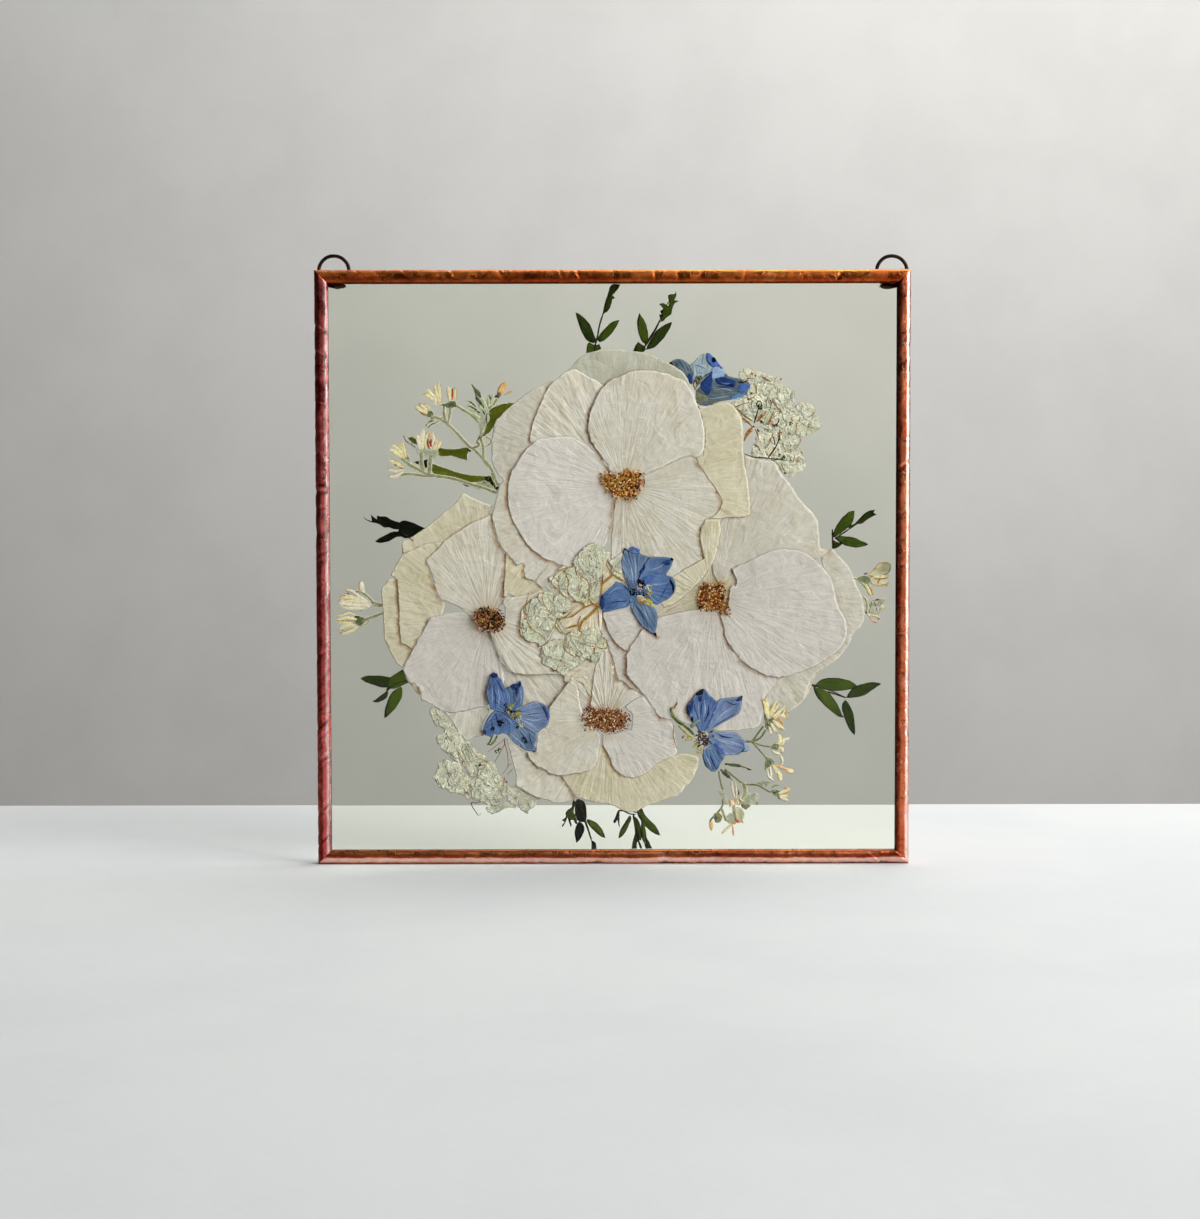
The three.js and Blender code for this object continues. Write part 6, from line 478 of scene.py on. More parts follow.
     [-75.49,138.22],[-78.05,137.79],[-80.19,137.36],[-82.33,136.51],[-84.47,135.45],[-86.61,134.6],[-88.76,133.53]],
    "L_bottom_right": [[-48.45,87.0],[-42.91,82.29],[-35.64,81.44],[-27.08,81.65],[-20.66,81.44],[-18.09,80.58],[-20.25,76.73],[-22.83,73.3],
     [-25.42,69.87],[-27.57,66.87],[-29.31,61.3],[-33.62,56.58],[-42.18,57.87],[-48.57,64.3],[-49.8,75.01],[-48.05,81.01]],
    "L_bottom_back": [[-72.98,65.59],[-71.28,63.87],[-70.01,62.16],[-68.73,60.44],[-67.88,58.73],[-66.61,56.58],[-65.34,55.29],[-63.63,53.15],
     [-62.78,52.72],[-61.49,53.58],[-59.77,54.43],[-57.2,54.86],[-55.48,54.86],[-56.32,57.87],[-55.44,61.3],[-53.71,64.3],[-53.27,66.02],
     [-53.7,67.3],[-57.12,67.3],[-61.41,66.44],[-66.56,65.37],[-69.99,64.94]],
    "L_back_top": [[-63.83,159.27],[-65.12,157.78],[-66.84,155.66],[-68.99,153.53],[-71.13,151.83],[-73.7,149.7],[-76.28,147.58],[-78.85,145.45],
     [-80.57,144.17],[-83.14,142.47],[-85.71,140.77],[-87.86,139.49],[-90.0,138.22],[-90.24,134.81],[-90.47,133.11],[-88.76,133.53],[-82.34,135.66],
     [-73.8,134.81],[-56.7,139.07],[-51.54,145.45],[-51.74,148.0],[-52.16,150.13],[-51.5,153.95],[-54.48,154.81],[-57.03,155.87],[-59.58,156.93],
     [-61.71,158.2]],
    "L_left_outer": [[-94.82,122.66],[-96.1,122.02],[-97.39,120.75],[-98.69,119.04],[-99.34,117.33],[-99.15,114.77],[-98.96,111.79],[-98.77,108.37],
     [-98.59,104.95],[-98.4,101.54],[-98.21,98.55],[-97.8,95.98],[-96.75,93.84],[-95.91,91.71],[-95.07,90.0],[-93.8,88.07],[-92.53,86.15],
     [-91.26,84.86],[-90.41,84.01],[-89.54,85.72],[-86.07,92.13],[-89.03,96.41],[-90.19,113.49],[-92.26,122.02]],
}
CREASES = {
    "T_right": [[[[4.8,151.83],[6.07,149.7],[7.35,148.0],[9.05,145.88],[11.18,143.75],[12.88,142.05],[15.01,140.77]],0.1]],
    "L_bottomleft": [[[[-80.61,77.58],[-78.48,75.87],[-76.78,73.73],[-75.09,71.16],[-72.96,68.59]],0.1],[[[-48.0,90.0],[-48.06,79.3]],0.12]],
    "L_top": [[[[-68.71,130.55],[-63.16,130.55],[-57.18,130.12],[-55.9,130.55],[-52.92,129.06],[-49.09,126.93]],0.1],[[[-65.21,143.32],
     [-63.97,137.36]],0.1]],
    "R_top": [[[[87.56,150.13],[90.12,147.58],[92.68,144.6],[93.97,142.05],[93.98,135.23],[90.99,135.23],[88.43,136.51]],0.1],[[[73.06,141.19],
     [71.35,138.64],[69.64,136.51],[68.36,134.81]],0.1]],
    "R_bottom": [[[[48.27,95.55],[46.55,88.71],[44.83,84.43],[43.12,80.15],[41.4,75.87]],0.12]],
    "R_left_b": [[[[1.68,107.94],[3.38,105.38],[5.52,103.67],[8.5,102.39],[11.5,101.54]],0.1]],
    "T_top": [[[[26.86,202.72],[27.91,194.68]],0.14],[[[16.4,188.75],[20.22,182.82],[21.07,180.28]],0.1],[[[22.35,183.67],[21.07,180.28]],0.1]],
    "B_right": [[[[14.77,38.54],[19.06,42.41],[16.04,34.24]],0.1]],
    "R_right": [[[[58.96,101.96],[64.95,101.54],[72.64,101.96]],0.07]],
}
STAMENS = {
    "top": [[-5.39,167.12],[-2.83,167.97],[0.16,167.76],[2.29,167.12],[4.42,168.4],[6.55,169.25],[8.68,168.82],[10.39,167.97],[12.52,168.4],
     [13.37,166.27],[13.79,163.73],[12.93,161.18],[11.22,159.48],[10.36,156.93],[7.8,156.08],[4.81,156.29],[1.83,156.51],[-0.73,157.78],
     [-2.85,159.9],[-4.55,162.03],[-5.82,164.58]],
    "left": [[-59.88,106.66],[-58.59,109.22],[-56.87,110.08],[-55.16,110.51],[-52.6,110.08],[-50.04,109.65],[-48.33,109.22],[-47.06,107.09],
     [-45.79,104.95],[-46.22,103.25],[-47.51,101.54],[-49.23,100.26],[-51.8,99.83],[-54.36,100.04],[-56.5,100.26],[-58.2,102.39],[-59.47,104.1]],
    "right": [[37.18,120.32],[39.31,120.75],[41.88,120.75],[44.44,120.75],[46.58,121.17],[47.86,119.47],[48.28,116.91],[48.28,114.35],[48.71,112.21],
     [49.99,110.08],[50.41,107.94],[48.7,106.66],[46.56,107.09],[45.28,107.94],[42.72,108.8],[39.73,108.8],[37.16,109.65],[35.88,111.79],
     [36.32,114.77],[36.75,117.76]],
    "bottom": [[-13.02,64.73],[-11.72,67.3],[-9.15,67.73],[-7.01,66.87],[-4.44,66.44],[-2.72,67.73],[-0.16,66.44],[2.84,66.44],[4.98,65.16],
     [6.69,63.87],[7.97,62.16],[7.11,60.44],[5.39,59.15],[6.67,57.87],[3.67,57.44],[1.09,56.15],[-1.05,55.72],[-3.62,56.58],[-5.76,57.44],
     [-8.33,57.44],[-10.9,58.3],[-12.18,57.87],[-12.6,60.44],[-13.45,62.59]],
}
DELPH = {
    "centre": [[[12.77,127.53],[15.79,131.52],[20.22,131.81],[25.22,131.24],[25.93,130.81],[24.78,127.53],[22.77,124.39],[23.06,123.53],
     [19.63,123.82],[15.05,122.96],[11.9,120.97],[9.89,116.97],[10.47,121.54]],[[7.89,116.97],[10.45,114.11],[14.45,111.83],[17.31,110.4],
     [18.74,108.4],[18.87,102.68],[18.14,100.11],[18.71,97.53],[16.43,99.25],[12.71,101.82],[10.43,104.97],[8.43,108.4],[7.44,111.26],[7.02,114.68]],
     [[1.32,121.25],[2.75,120.97],[5.32,119.82],[7.03,118.4],[10.46,116.4],[10.45,113.26],[8.44,112.11],[6.72,110.69],[3.86,109.97],[0.14,108.97],
     [-2.72,108.68],[-4.73,108.68],[-5.57,111.54],[-5.28,115.26],[-2.7,117.25],[-0.4,119.25]],[[8.74,116.97],[10.47,120.97],[14.48,123.53],
     [19.63,124.39],[22.77,123.82],[25.34,123.25],[26.77,120.39],[26.48,117.54],[24.76,114.68],[21.89,112.97],[18.74,111.26],[17.03,112.11],
     [15.6,113.54],[12.74,115.26]],[[4.65,135.66],[6.5,133.8],[8.79,135.23],[11.65,133.23],[15.79,131.52],[13.64,129.53],[12.77,127.24],
     [11.34,124.11],[10.47,120.97],[9.32,116.97],[7.6,115.26],[6.75,118.11],[5.61,120.97],[4.19,126.1],[3.63,129.81],[4.36,133.23]]],
    "left": [[[-44.36,76.17],[-42.85,77.43],[-41.34,77.68],[-39.82,78.94],[-39.45,77.43],[-38.46,75.17],[-38.48,71.65],[-38.87,68.38],[-39.38,66.11],
     [-41.91,64.1],[-43.91,66.11],[-44.9,69.63],[-45.38,72.65],[-45.87,74.66],[-45.24,75.92]],[[-45.72,55.79],[-44.45,58.56],[-42.42,62.09],
     [-39.41,60.58],[-36.66,58.56],[-32.77,56.3],[-32.91,53.27],[-33.67,51.26],[-33.05,49.24],[-33.31,47.98],[-34.69,48.49],[-36.7,48.74],
     [-38.71,49.49],[-40.47,50.75],[-41.97,51.76],[-43.97,53.78]],[[-43.91,65.11],[-40.89,67.37],[-37.87,68.12],[-35.85,69.13],[-33.84,69.89],
     [-31.83,69.38],[-30.07,68.63],[-28.07,67.12],[-27.2,64.35],[-27.46,61.58],[-28.86,59.07],[-30.88,57.81],[-32.64,56.55],[-34.65,56.8],
     [-36.66,57.55],[-38.92,59.07],[-41.42,60.58],[-43.67,63.09]],[[-49.69,66.36],[-47.17,66.62],[-44.92,64.85],[-42.92,62.34],[-40.93,59.57],
     [-42.95,57.3],[-45.47,55.79],[-47.23,56.3],[-49.5,55.54],[-51.0,56.04],[-51.77,54.53],[-53.52,55.04],[-55.78,55.79],[-55.9,57.3],[-55.0,60.58],
     [-53.73,63.09],[-51.71,65.36]],[[-53.0,80.32],[-52.49,81.7],[-51.11,82.45],[-49.6,81.7],[-49.11,80.32],[-47.86,79.44],[-46.87,76.67],
     [-45.37,74.66],[-44.38,72.65],[-43.89,69.38],[-44.41,66.11],[-46.93,64.85],[-49.69,65.61],[-51.45,66.36],[-52.7,66.62],[-53.44,69.63],
     [-54.3,72.65],[-54.16,75.67],[-53.27,78.43]]],
    "right": [[[41.86,57.11],[45.14,56.84],[48.42,56.7],[51.97,56.43],[54.16,55.2],[56.07,53.28],[56.89,51.91],[58.26,50.27],[58.39,48.9],
     [57.16,48.08],[54.97,47.8],[53.88,46.98],[50.6,46.71],[47.59,46.71],[44.04,48.63],[41.31,51.09],[39.12,54.1],[39.67,56.02]],[[45.43,70.51],
     [47.88,71.19],[51.71,71.47],[54.44,71.88],[55.53,72.15],[55.26,69.69],[54.85,66.96],[53.89,64.5],[50.61,62.58],[46.78,60.4],[44.05,58.75],
     [41.59,57.39],[39.4,56.02],[38.58,57.39],[41.04,60.67],[42.42,64.5],[43.78,67.78]],[[38.57,48.08],[39.12,51.36],[41.31,53.28],[43.5,52.46],
     [45.14,51.64],[46.77,49.72],[48.14,47.53],[47.73,45.61],[46.22,43.42],[45.13,40.95],[43.76,39.58],[42.12,39.58],[41.02,40.68],[39.38,42.32],
     [38.57,45.06]],[[38.88,75.29],[40.24,74.06],[41.06,72.7],[42.42,71.6],[44.06,69.97],[44.6,68.87],[43.24,66.14],[41.87,62.31],[40.77,59.03],
     [39.13,56.84],[36.67,56.84],[35.31,59.85],[33.94,61.22],[32.58,63.4],[31.62,65.04],[31.63,67.78],[32.59,69.15],[33.96,71.06],[35.32,72.97],
     [36.96,74.61]]],
    "top": [[[23.99,214.34],[25.75,215.55],[27.92,216.22],[30.09,215.68],[31.99,214.47],[33.07,212.85],[34.42,210.43],[34.42,206.65],[33.74,205.3],
     [32.52,206.38],[31.44,208.81],[30.08,210.7],[28.19,212.04],[26.02,213.39]],[[32.8,213.66],[35.25,215.55],[37.42,217.7],[39.32,218.51],
     [41.22,218.51],[42.84,217.17],[44.2,215.82],[45.55,213.93],[47.18,212.04],[48.53,209.89],[47.17,208.27],[44.19,207.46],[41.74,206.65],
     [38.49,205.84],[36.32,204.49],[34.69,204.49],[33.88,206.65],[34.15,210.43],[33.07,212.58]],[[35.5,202.88],[37.4,204.49],[40.11,205.03],
     [42.29,206.65],[42.83,208.81],[44.46,209.89],[48.26,210.16],[49.61,208.81],[53.14,208.0],[56.13,206.92],[58.02,206.38],[58.84,204.49],
     [57.75,202.61],[56.39,200.72],[53.14,199.64],[50.42,198.83],[45.54,198.02],[41.73,196.67],[38.48,196.53],[36.31,197.21],[35.49,198.56]]],
}
HYDR = {
    "centre": [[[-9.76,137.36],[-7.62,137.36],[-5.92,136.51],[-4.21,135.23],[-3.37,133.53],[-2.95,131.4],[-3.81,129.7],[-4.24,127.57],[-4.67,125.01],
     [-5.54,122.02],[-5.55,117.76],[-6.42,114.77],[-8.99,113.49],[-9.85,111.79],[-11.56,110.51],[-12.84,112.21],[-13.26,114.35],[-11.97,116.91],
     [-10.25,118.61],[-10.24,121.17],[-11.95,122.45],[-14.08,123.3],[-15.78,125.01],[-16.2,127.57],[-17.04,129.27],[-16.61,130.98],[-14.9,133.11],
     [-13.18,134.81],[-11.47,136.09]],[[-22.61,127.14],[-21.32,127.99],[-19.19,127.57],[-17.48,127.14],[-16.62,129.27],[-15.78,125.44],
     [-14.08,123.3],[-11.52,122.02],[-10.25,119.89],[-11.11,116.91],[-12.41,113.49],[-11.56,110.51],[-16.25,113.49],[-18.38,115.2],[-19.67,114.35],
     [-22.65,116.05],[-24.78,117.76],[-26.06,119.47],[-26.9,121.17],[-26.9,122.45],[-25.61,123.73],[-24.32,124.58],[-23.46,125.86]],[[-26.92,118.19],
     [-28.2,116.91],[-29.91,116.91],[-31.2,116.05],[-33.34,114.35],[-35.49,113.07],[-37.2,111.36],[-38.49,110.08],[-39.36,108.37],[-39.37,106.24],
     [-39.81,103.25],[-39.82,100.68],[-39.4,98.55],[-38.13,97.26],[-36.42,95.98],[-34.71,95.55],[-33.01,95.13],[-31.73,93.84],[-30.02,94.27],
     [-27.87,95.98],[-26.58,97.69],[-25.28,100.68],[-23.56,103.67],[-22.7,105.81],[-20.12,108.37],[-17.97,110.93],[-18.39,113.07],[-20.1,114.35],
     [-22.65,116.05],[-24.78,117.76]],[[-30.02,93.42],[-30.88,92.13],[-30.46,90.85],[-31.32,89.57],[-30.04,88.71],[-30.9,87.0],[-29.63,85.72],
     [-27.92,85.29],[-26.63,84.86],[-25.78,83.58],[-24.07,83.15],[-22.79,82.29],[-21.09,81.01],[-19.8,81.87],[-18.51,83.58],[-16.37,84.43],
     [-14.65,85.29],[-13.36,86.15],[-12.5,87.86],[-16.34,90.0],[-19.33,92.13],[-20.6,94.27],[-21.45,96.41],[-24.02,96.41],[-27.01,95.98]],
     [[-19.73,99.83],[-17.16,100.26],[-14.17,99.83],[-11.17,100.26],[-9.03,101.54],[-6.47,100.68],[-5.19,98.97],[-3.91,97.69],[-2.63,96.41],
     [-3.07,94.27],[-2.22,92.99],[-3.93,92.13],[-5.22,90.0],[-6.51,87.86],[-9.08,87.0],[-11.22,88.28],[-13.36,87.43],[-15.49,88.71],[-18.06,90.0],
     [-20.19,91.28],[-21.04,92.99],[-20.17,95.55]],[[-2.52,130.55],[-0.39,130.55],[1.32,131.4],[3.04,133.53],[3.89,132.25],[3.45,129.7],
     [3.87,127.14],[4.72,124.16],[5.56,120.75],[3.0,122.02],[0.45,123.73],[-0.83,125.44],[-0.4,127.14],[-1.67,128.84]]],
    "low": [[[-78.55,66.02],[-77.25,67.3],[-75.11,66.87],[-73.84,65.16],[-72.14,63.44],[-70.44,61.3],[-69.16,59.58],[-70.89,58.3],[-72.6,57.87],
     [-74.31,59.15],[-76.02,59.58],[-77.29,61.3],[-78.14,63.44]],[[-72.6,57.87],[-72.19,55.72],[-73.9,56.58],[-75.19,55.72],[-76.06,54.0],
     [-75.64,52.29],[-74.36,51.43],[-73.94,49.71],[-72.66,48.85],[-71.39,47.56],[-69.67,47.56],[-70.11,45.85],[-67.98,44.13],[-66.27,43.7],
     [-64.97,45.85],[-65.38,48.42],[-64.94,50.57],[-64.07,52.72],[-65.34,54.86],[-67.04,57.01],[-68.74,59.15]],[[-64.5,52.29],[-62.35,52.72],
     [-61.07,51.43],[-59.37,48.85],[-57.67,47.14],[-55.53,46.71],[-54.68,45.42],[-56.4,44.13],[-58.55,42.41],[-59.43,40.26],[-58.58,37.68],
     [-59.87,37.25],[-62.01,38.11],[-63.71,41.12],[-64.98,44.13],[-66.25,46.71],[-64.94,49.28]],[[-72.26,44.99],[-73.98,43.7],[-75.7,42.84],
     [-75.29,40.69],[-76.59,38.54],[-77.04,36.39],[-75.76,34.67],[-74.91,32.95],[-73.2,32.09],[-71.49,31.66],[-70.21,30.8],[-68.06,30.8],
     [-65.92,29.94],[-64.21,29.08],[-62.51,27.36],[-61.21,28.65],[-60.77,31.23],[-61.61,33.81],[-61.17,35.96],[-62.87,38.11],[-65.0,39.83],
     [-65.84,42.41],[-67.98,43.7],[-70.12,44.13]],[[-58.55,42.41],[-56.41,43.27],[-53.83,44.13],[-51.69,43.27],[-50.41,41.12],[-49.14,38.54],
     [-47.87,36.39],[-46.59,34.24],[-45.31,32.95],[-44.46,31.23],[-46.19,29.08],[-48.35,26.93],[-50.5,25.21],[-53.08,24.78],[-55.65,26.07],
     [-57.79,27.36],[-59.93,27.79],[-61.21,29.51],[-60.76,32.09],[-61.6,34.67],[-59.87,36.82],[-58.15,38.54]],[[-45.31,33.38],[-42.74,32.95],
     [-40.17,32.09],[-37.17,30.37],[-34.18,28.65],[-31.61,27.79],[-32.47,26.07],[-34.2,24.35],[-35.92,23.49],[-36.79,21.33],[-38.5,22.2],
     [-40.21,23.92],[-42.78,25.21],[-45.34,27.36],[-45.76,29.94]],[[-54.38,22.63],[-51.81,21.33],[-49.23,22.2],[-46.65,23.49],[-43.64,23.92],
     [-41.5,23.49],[-42.34,25.64],[-45.34,26.93],[-48.78,25.64],[-52.22,24.35],[-54.8,24.35]]],
    "top": [[53.88,208.65],[54.74,211.18],[57.71,212.03],[60.69,211.18],[64.94,209.91],[69.62,208.22],[71.75,206.95],[72.6,203.99],[75.58,203.57],
     [77.71,202.3],[77.29,198.49],[76.44,194.68],[79.42,197.22],[81.12,198.07],[84.1,197.65],[86.65,194.68],[87.94,190.87],[88.37,186.63],
     [85.39,184.52],[81.56,183.24],[79.43,182.4],[79.43,179.0],[81.14,175.19],[82.42,171.79],[81.57,168.82],[78.59,167.12],[76.03,165.85],
     [73.04,167.55],[70.49,171.37],[66.22,173.91],[61.54,174.34],[56.42,175.61],[56.0,177.31],[58.55,178.58],[57.28,181.55],[56.0,181.55],
     [57.71,187.91],[55.15,190.02],[52.17,194.68],[50.47,197.65],[53.45,198.92],[56.01,201.03],[56.86,205.26],[55.16,206.95]],
}
LEAVES = {
    "top_left": [[[-15.77,236.09],[-14.08,235.25],[-12.38,233.98],[-10.69,232.3],[-9.42,230.61],[-8.58,228.5],[-7.74,226.39],[-6.9,223.86],
     [-7.75,223.01],[-9.45,223.43],[-11.15,224.28],[-12.41,226.39],[-13.68,228.92],[-14.52,231.45],[-15.36,233.98]],[[2.91,232.72],[2.05,230.61],
     [0.77,228.5],[-0.51,226.81],[-2.22,225.12],[-3.92,223.86],[-5.62,223.43],[-6.47,224.7],[-5.61,226.39],[-4.33,228.08],[-2.63,229.77],
     [-0.92,231.45],[0.78,232.3]],[[-3.88,235.67],[-2.61,236.09],[-1.33,237.36],[-0.47,239.47],[-0.04,241.57],[1.24,242.0],[-0.03,243.26],
     [1.24,244.52],[2.52,246.21],[3.38,247.89],[-0.02,247.89],[-1.3,246.21],[-1.73,244.52],[-2.59,242.0],[-3.44,239.47],[-3.88,237.36]],
     [[-11.17,218.79],[-11.16,220.48],[-10.73,222.59],[-9.87,223.43],[-8.6,222.59],[-6.9,222.17],[-5.62,222.59],[-4.78,220.48],[-6.91,219.63],
     [-9.04,219.21]]],
    "top_right": [[[11.41,235.67],[12.68,233.98],[13.95,231.88],[14.8,229.34],[15.22,226.81],[15.21,224.7],[14.36,222.59],[13.08,223.01],
     [11.81,225.12],[10.97,227.66],[10.55,230.19],[10.56,232.72]],[[25.43,231.88],[24.57,229.34],[23.29,227.23],[22.01,225.12],[20.31,223.43],
     [18.18,221.32],[16.05,220.48],[14.35,220.06],[14.78,221.74],[16.06,223.86],[17.34,225.97],[18.62,228.08],[20.75,229.77],[22.87,231.03]],
     [[19.9,231.88],[20.75,232.72],[19.91,234.41],[19.91,235.25],[21.18,234.83],[20.34,236.51],[21.61,237.36],[20.77,238.62],[19.92,239.47],
     [21.62,239.89],[22.89,239.04],[23.74,238.62],[24.17,240.31],[23.75,242.0],[23.75,243.26],[25.02,243.68],[26.3,243.68],[27.15,244.95],
     [27.15,242.84],[26.29,241.15],[28.42,240.73],[26.72,239.89],[25.86,238.62],[25.44,236.94],[25.01,235.25],[23.31,233.98],[21.6,232.3]],
     [[8.82,219.63],[9.68,221.74],[10.96,223.43],[12.23,222.59],[13.5,221.74],[14.35,220.48],[13.07,218.79],[10.95,219.21]]],
    "left_upper": [[[-91.22,146.73],[-89.51,147.58],[-87.38,147.15],[-84.82,146.3],[-82.27,145.02],[-80.14,144.17],[-82.29,142.9],[-84.43,141.62],
     [-86.57,140.34],[-88.71,139.92],[-90.84,140.77],[-92.53,142.05],[-91.67,143.75]],[[-101.95,138.64],[-100.23,139.92],[-97.66,141.19],
     [-95.09,142.47],[-92.53,142.9],[-89.97,142.05],[-90.84,140.77],[-92.97,140.34],[-95.12,139.07],[-97.69,138.22],[-100.25,138.0]],
     [[-106.98,149.28],[-105.29,148.0],[-103.16,147.15],[-103.56,150.13],[-102.29,148.85],[-101.02,148.0],[-101.01,149.7],[-99.31,149.28],
     [-97.17,149.28],[-95.05,148.0],[-92.92,147.15],[-91.22,146.73],[-91.24,143.75],[-93.37,143.75],[-95.93,144.6],[-98.06,144.6],[-99.34,145.45],
     [-101.04,146.3],[-103.17,146.73],[-105.29,147.58]]],
    "left_lower": [[[-108.42,79.73],[-107.13,80.58],[-104.98,81.01],[-102.41,81.01],[-99.85,81.01],[-97.28,80.58],[-95.57,80.15],[-96.44,78.01],
     [-97.32,75.87],[-99.46,75.87],[-102.02,76.73],[-104.58,77.58],[-106.72,78.44]],[[-90.41,83.58],[-92.56,82.29],[-94.71,81.01],[-96.0,79.73],
     [-96.87,78.01],[-97.53,75.87],[-95.61,75.44],[-93.47,75.44],[-91.32,76.3],[-89.6,77.16],[-87.45,78.01],[-88.73,79.3],[-89.14,81.01],
     [-89.98,83.15]],[[-103.36,69.87],[-102.07,70.73],[-100.35,72.02],[-98.62,73.3],[-97.33,74.16],[-96.48,73.73],[-96.92,72.02],[-98.21,70.73],
     [-99.93,69.87],[-101.65,69.44]],[[-98.28,62.8],[-98.26,65.16],[-97.81,67.3],[-96.94,69.87],[-96.06,72.02],[-94.76,74.16],[-93.47,75.01],
     [-91.32,76.3],[-90.47,75.44],[-90.49,73.3],[-90.93,71.16],[-92.23,69.02],[-93.53,66.87],[-95.26,65.16],[-96.99,63.44]]],
    "right_upper": [[[103.34,151.4],[103.34,149.7],[102.92,147.58],[102.07,145.45],[100.79,144.17],[99.09,142.9],[97.38,141.62],[95.68,140.34],
     [93.97,139.92],[94.39,142.05],[95.24,144.17],[96.52,146.3],[97.8,148.0],[99.5,149.7],[101.21,150.98]],[[103.77,146.3],[105.48,148.0],
     [107.61,150.13],[109.74,151.4],[112.3,151.83],[111.45,150.55],[113.15,149.7],[111.02,148.85],[108.89,147.58],[106.34,145.88],[104.2,145.88]],
     [[94.82,139.92],[97.38,140.56],[100.37,140.34],[103.36,139.92],[105.92,138.64],[108.06,137.79],[109.34,136.94],[107.21,136.09],[104.22,135.66],
     [101.23,136.09],[98.67,136.94],[96.11,138.64]],[[93.97,139.07],[95.68,138.22],[98.24,137.36],[96.96,136.09],[95.26,135.23],[93.98,135.23]]],
    "right_lower": [[[86.35,76.3],[88.07,78.01],[90.2,79.3],[92.77,79.73],[95.77,79.73],[98.77,79.3],[101.76,78.44],[103.91,77.16],[104.76,76.3],
     [102.63,75.01],[100.49,74.59],[97.92,74.16],[94.92,74.16],[91.49,74.59],[88.5,75.44]],[[104.76,76.3],[107.33,77.16],[109.9,77.8],[112.47,77.8],
     [115.04,77.16],[113.33,75.87],[110.76,74.16],[108.2,72.44],[105.63,71.59],[102.63,71.16],[100.06,71.16],[100.92,72.87],[102.63,75.01]],
     [[85.93,75.87],[88.07,75.44],[90.64,74.59],[92.78,73.3],[94.5,71.16],[96.21,68.59],[97.5,66.02],[98.36,63.87],[99.65,62.59],[97.08,63.01],
     [94.51,64.73],[91.93,66.87],[89.36,69.44],[87.22,72.02],[86.36,74.16]],[[99.64,70.3],[100.92,69.02],[102.21,66.87],[103.07,64.73],
     [103.51,62.16],[103.94,58.73],[103.95,54.86],[102.23,56.58],[100.51,59.58],[99.22,63.01],[98.36,66.02],[98.36,68.59]]],
    "bottom_left": [[[-15.73,27.79],[-14.44,27.79],[-12.73,26.93],[-11.87,25.21],[-11.46,22.63],[-11.46,20.04],[-11.9,17.89],[-13.62,17.89],
     [-15.33,18.75],[-16.18,20.9],[-16.6,23.49],[-16.16,26.07]],[[-17.02,27.79],[-16.6,25.21],[-17.04,22.63],[-15.76,19.18],[-15.34,17.03],
     [-16.2,17.03],[-17.05,18.75],[-18.34,18.75],[-17.92,16.17],[-18.35,15.74],[-19.2,18.32],[-19.62,20.04],[-20.49,17.89],[-21.79,15.74],
     [-22.21,16.17],[-20.92,17.89],[-22.2,18.75],[-20.48,20.04],[-20.47,21.76],[-19.61,23.06],[-17.89,24.35],[-17.45,26.5]],[[-14.48,18.32],
     [-12.77,16.6],[-12.34,14.87],[-13.21,12.29],[-14.51,10.13],[-15.8,8.84],[-16.22,10.56],[-16.64,13.15],[-16.21,15.3],[-15.34,17.46]],
     [[-11.47,19.18],[-9.32,18.75],[-7.18,17.46],[-5.9,16.17],[-4.61,14.44],[-3.76,12.29],[-3.34,11.0],[-5.05,11.43],[-7.2,13.15],[-9.33,15.3],
     [-11.04,17.46]],[[-9.35,10.13],[-7.64,8.84],[-7.22,6.25],[-9.37,6.25]]],
    "bottom_right": [[[2.71,23.06],[1.85,22.2],[0.98,20.04],[0.12,17.89],[0.55,17.03],[1.84,18.75],[2.26,16.6],[2.69,15.3],[2.7,17.89],[2.7,20.9]],
     [[7.43,20.47],[7.85,19.18],[6.99,17.03],[6.12,14.87],[4.83,12.72],[3.1,11.0],[2.24,10.56],[2.68,13.15],[3.55,15.3],[5.27,17.89],[6.57,20.04]],
     [[8.28,20.47],[10.0,19.61],[11.28,17.46],[11.7,14.87],[12.13,12.29],[12.12,9.7],[10.83,10.13],[9.98,12.72],[9.56,15.74],[8.71,18.32]],
     [[10.01,22.63],[12.58,23.49],[13.44,21.33],[14.72,19.61],[16.43,17.89],[18.15,16.17],[19.43,14.01],[20.29,11.86],[18.57,12.29],[16.42,13.58],
     [14.28,15.3],[12.57,17.46],[10.86,20.04]],[[9.55,13.58],[8.69,10.56],[7.82,6.25],[9.96,6.25],[10.4,9.27],[11.68,6.25],[12.54,6.25],[11.26,9.7]],
     [[13.0,18.32],[13.85,14.87],[14.27,11.43],[13.84,9.27],[12.98,8.84],[12.12,11.43],[11.71,15.74]],[[14.27,11.43],[15.55,8.84],[16.84,6.25],
     [13.83,6.25],[13.84,9.27]]],
}
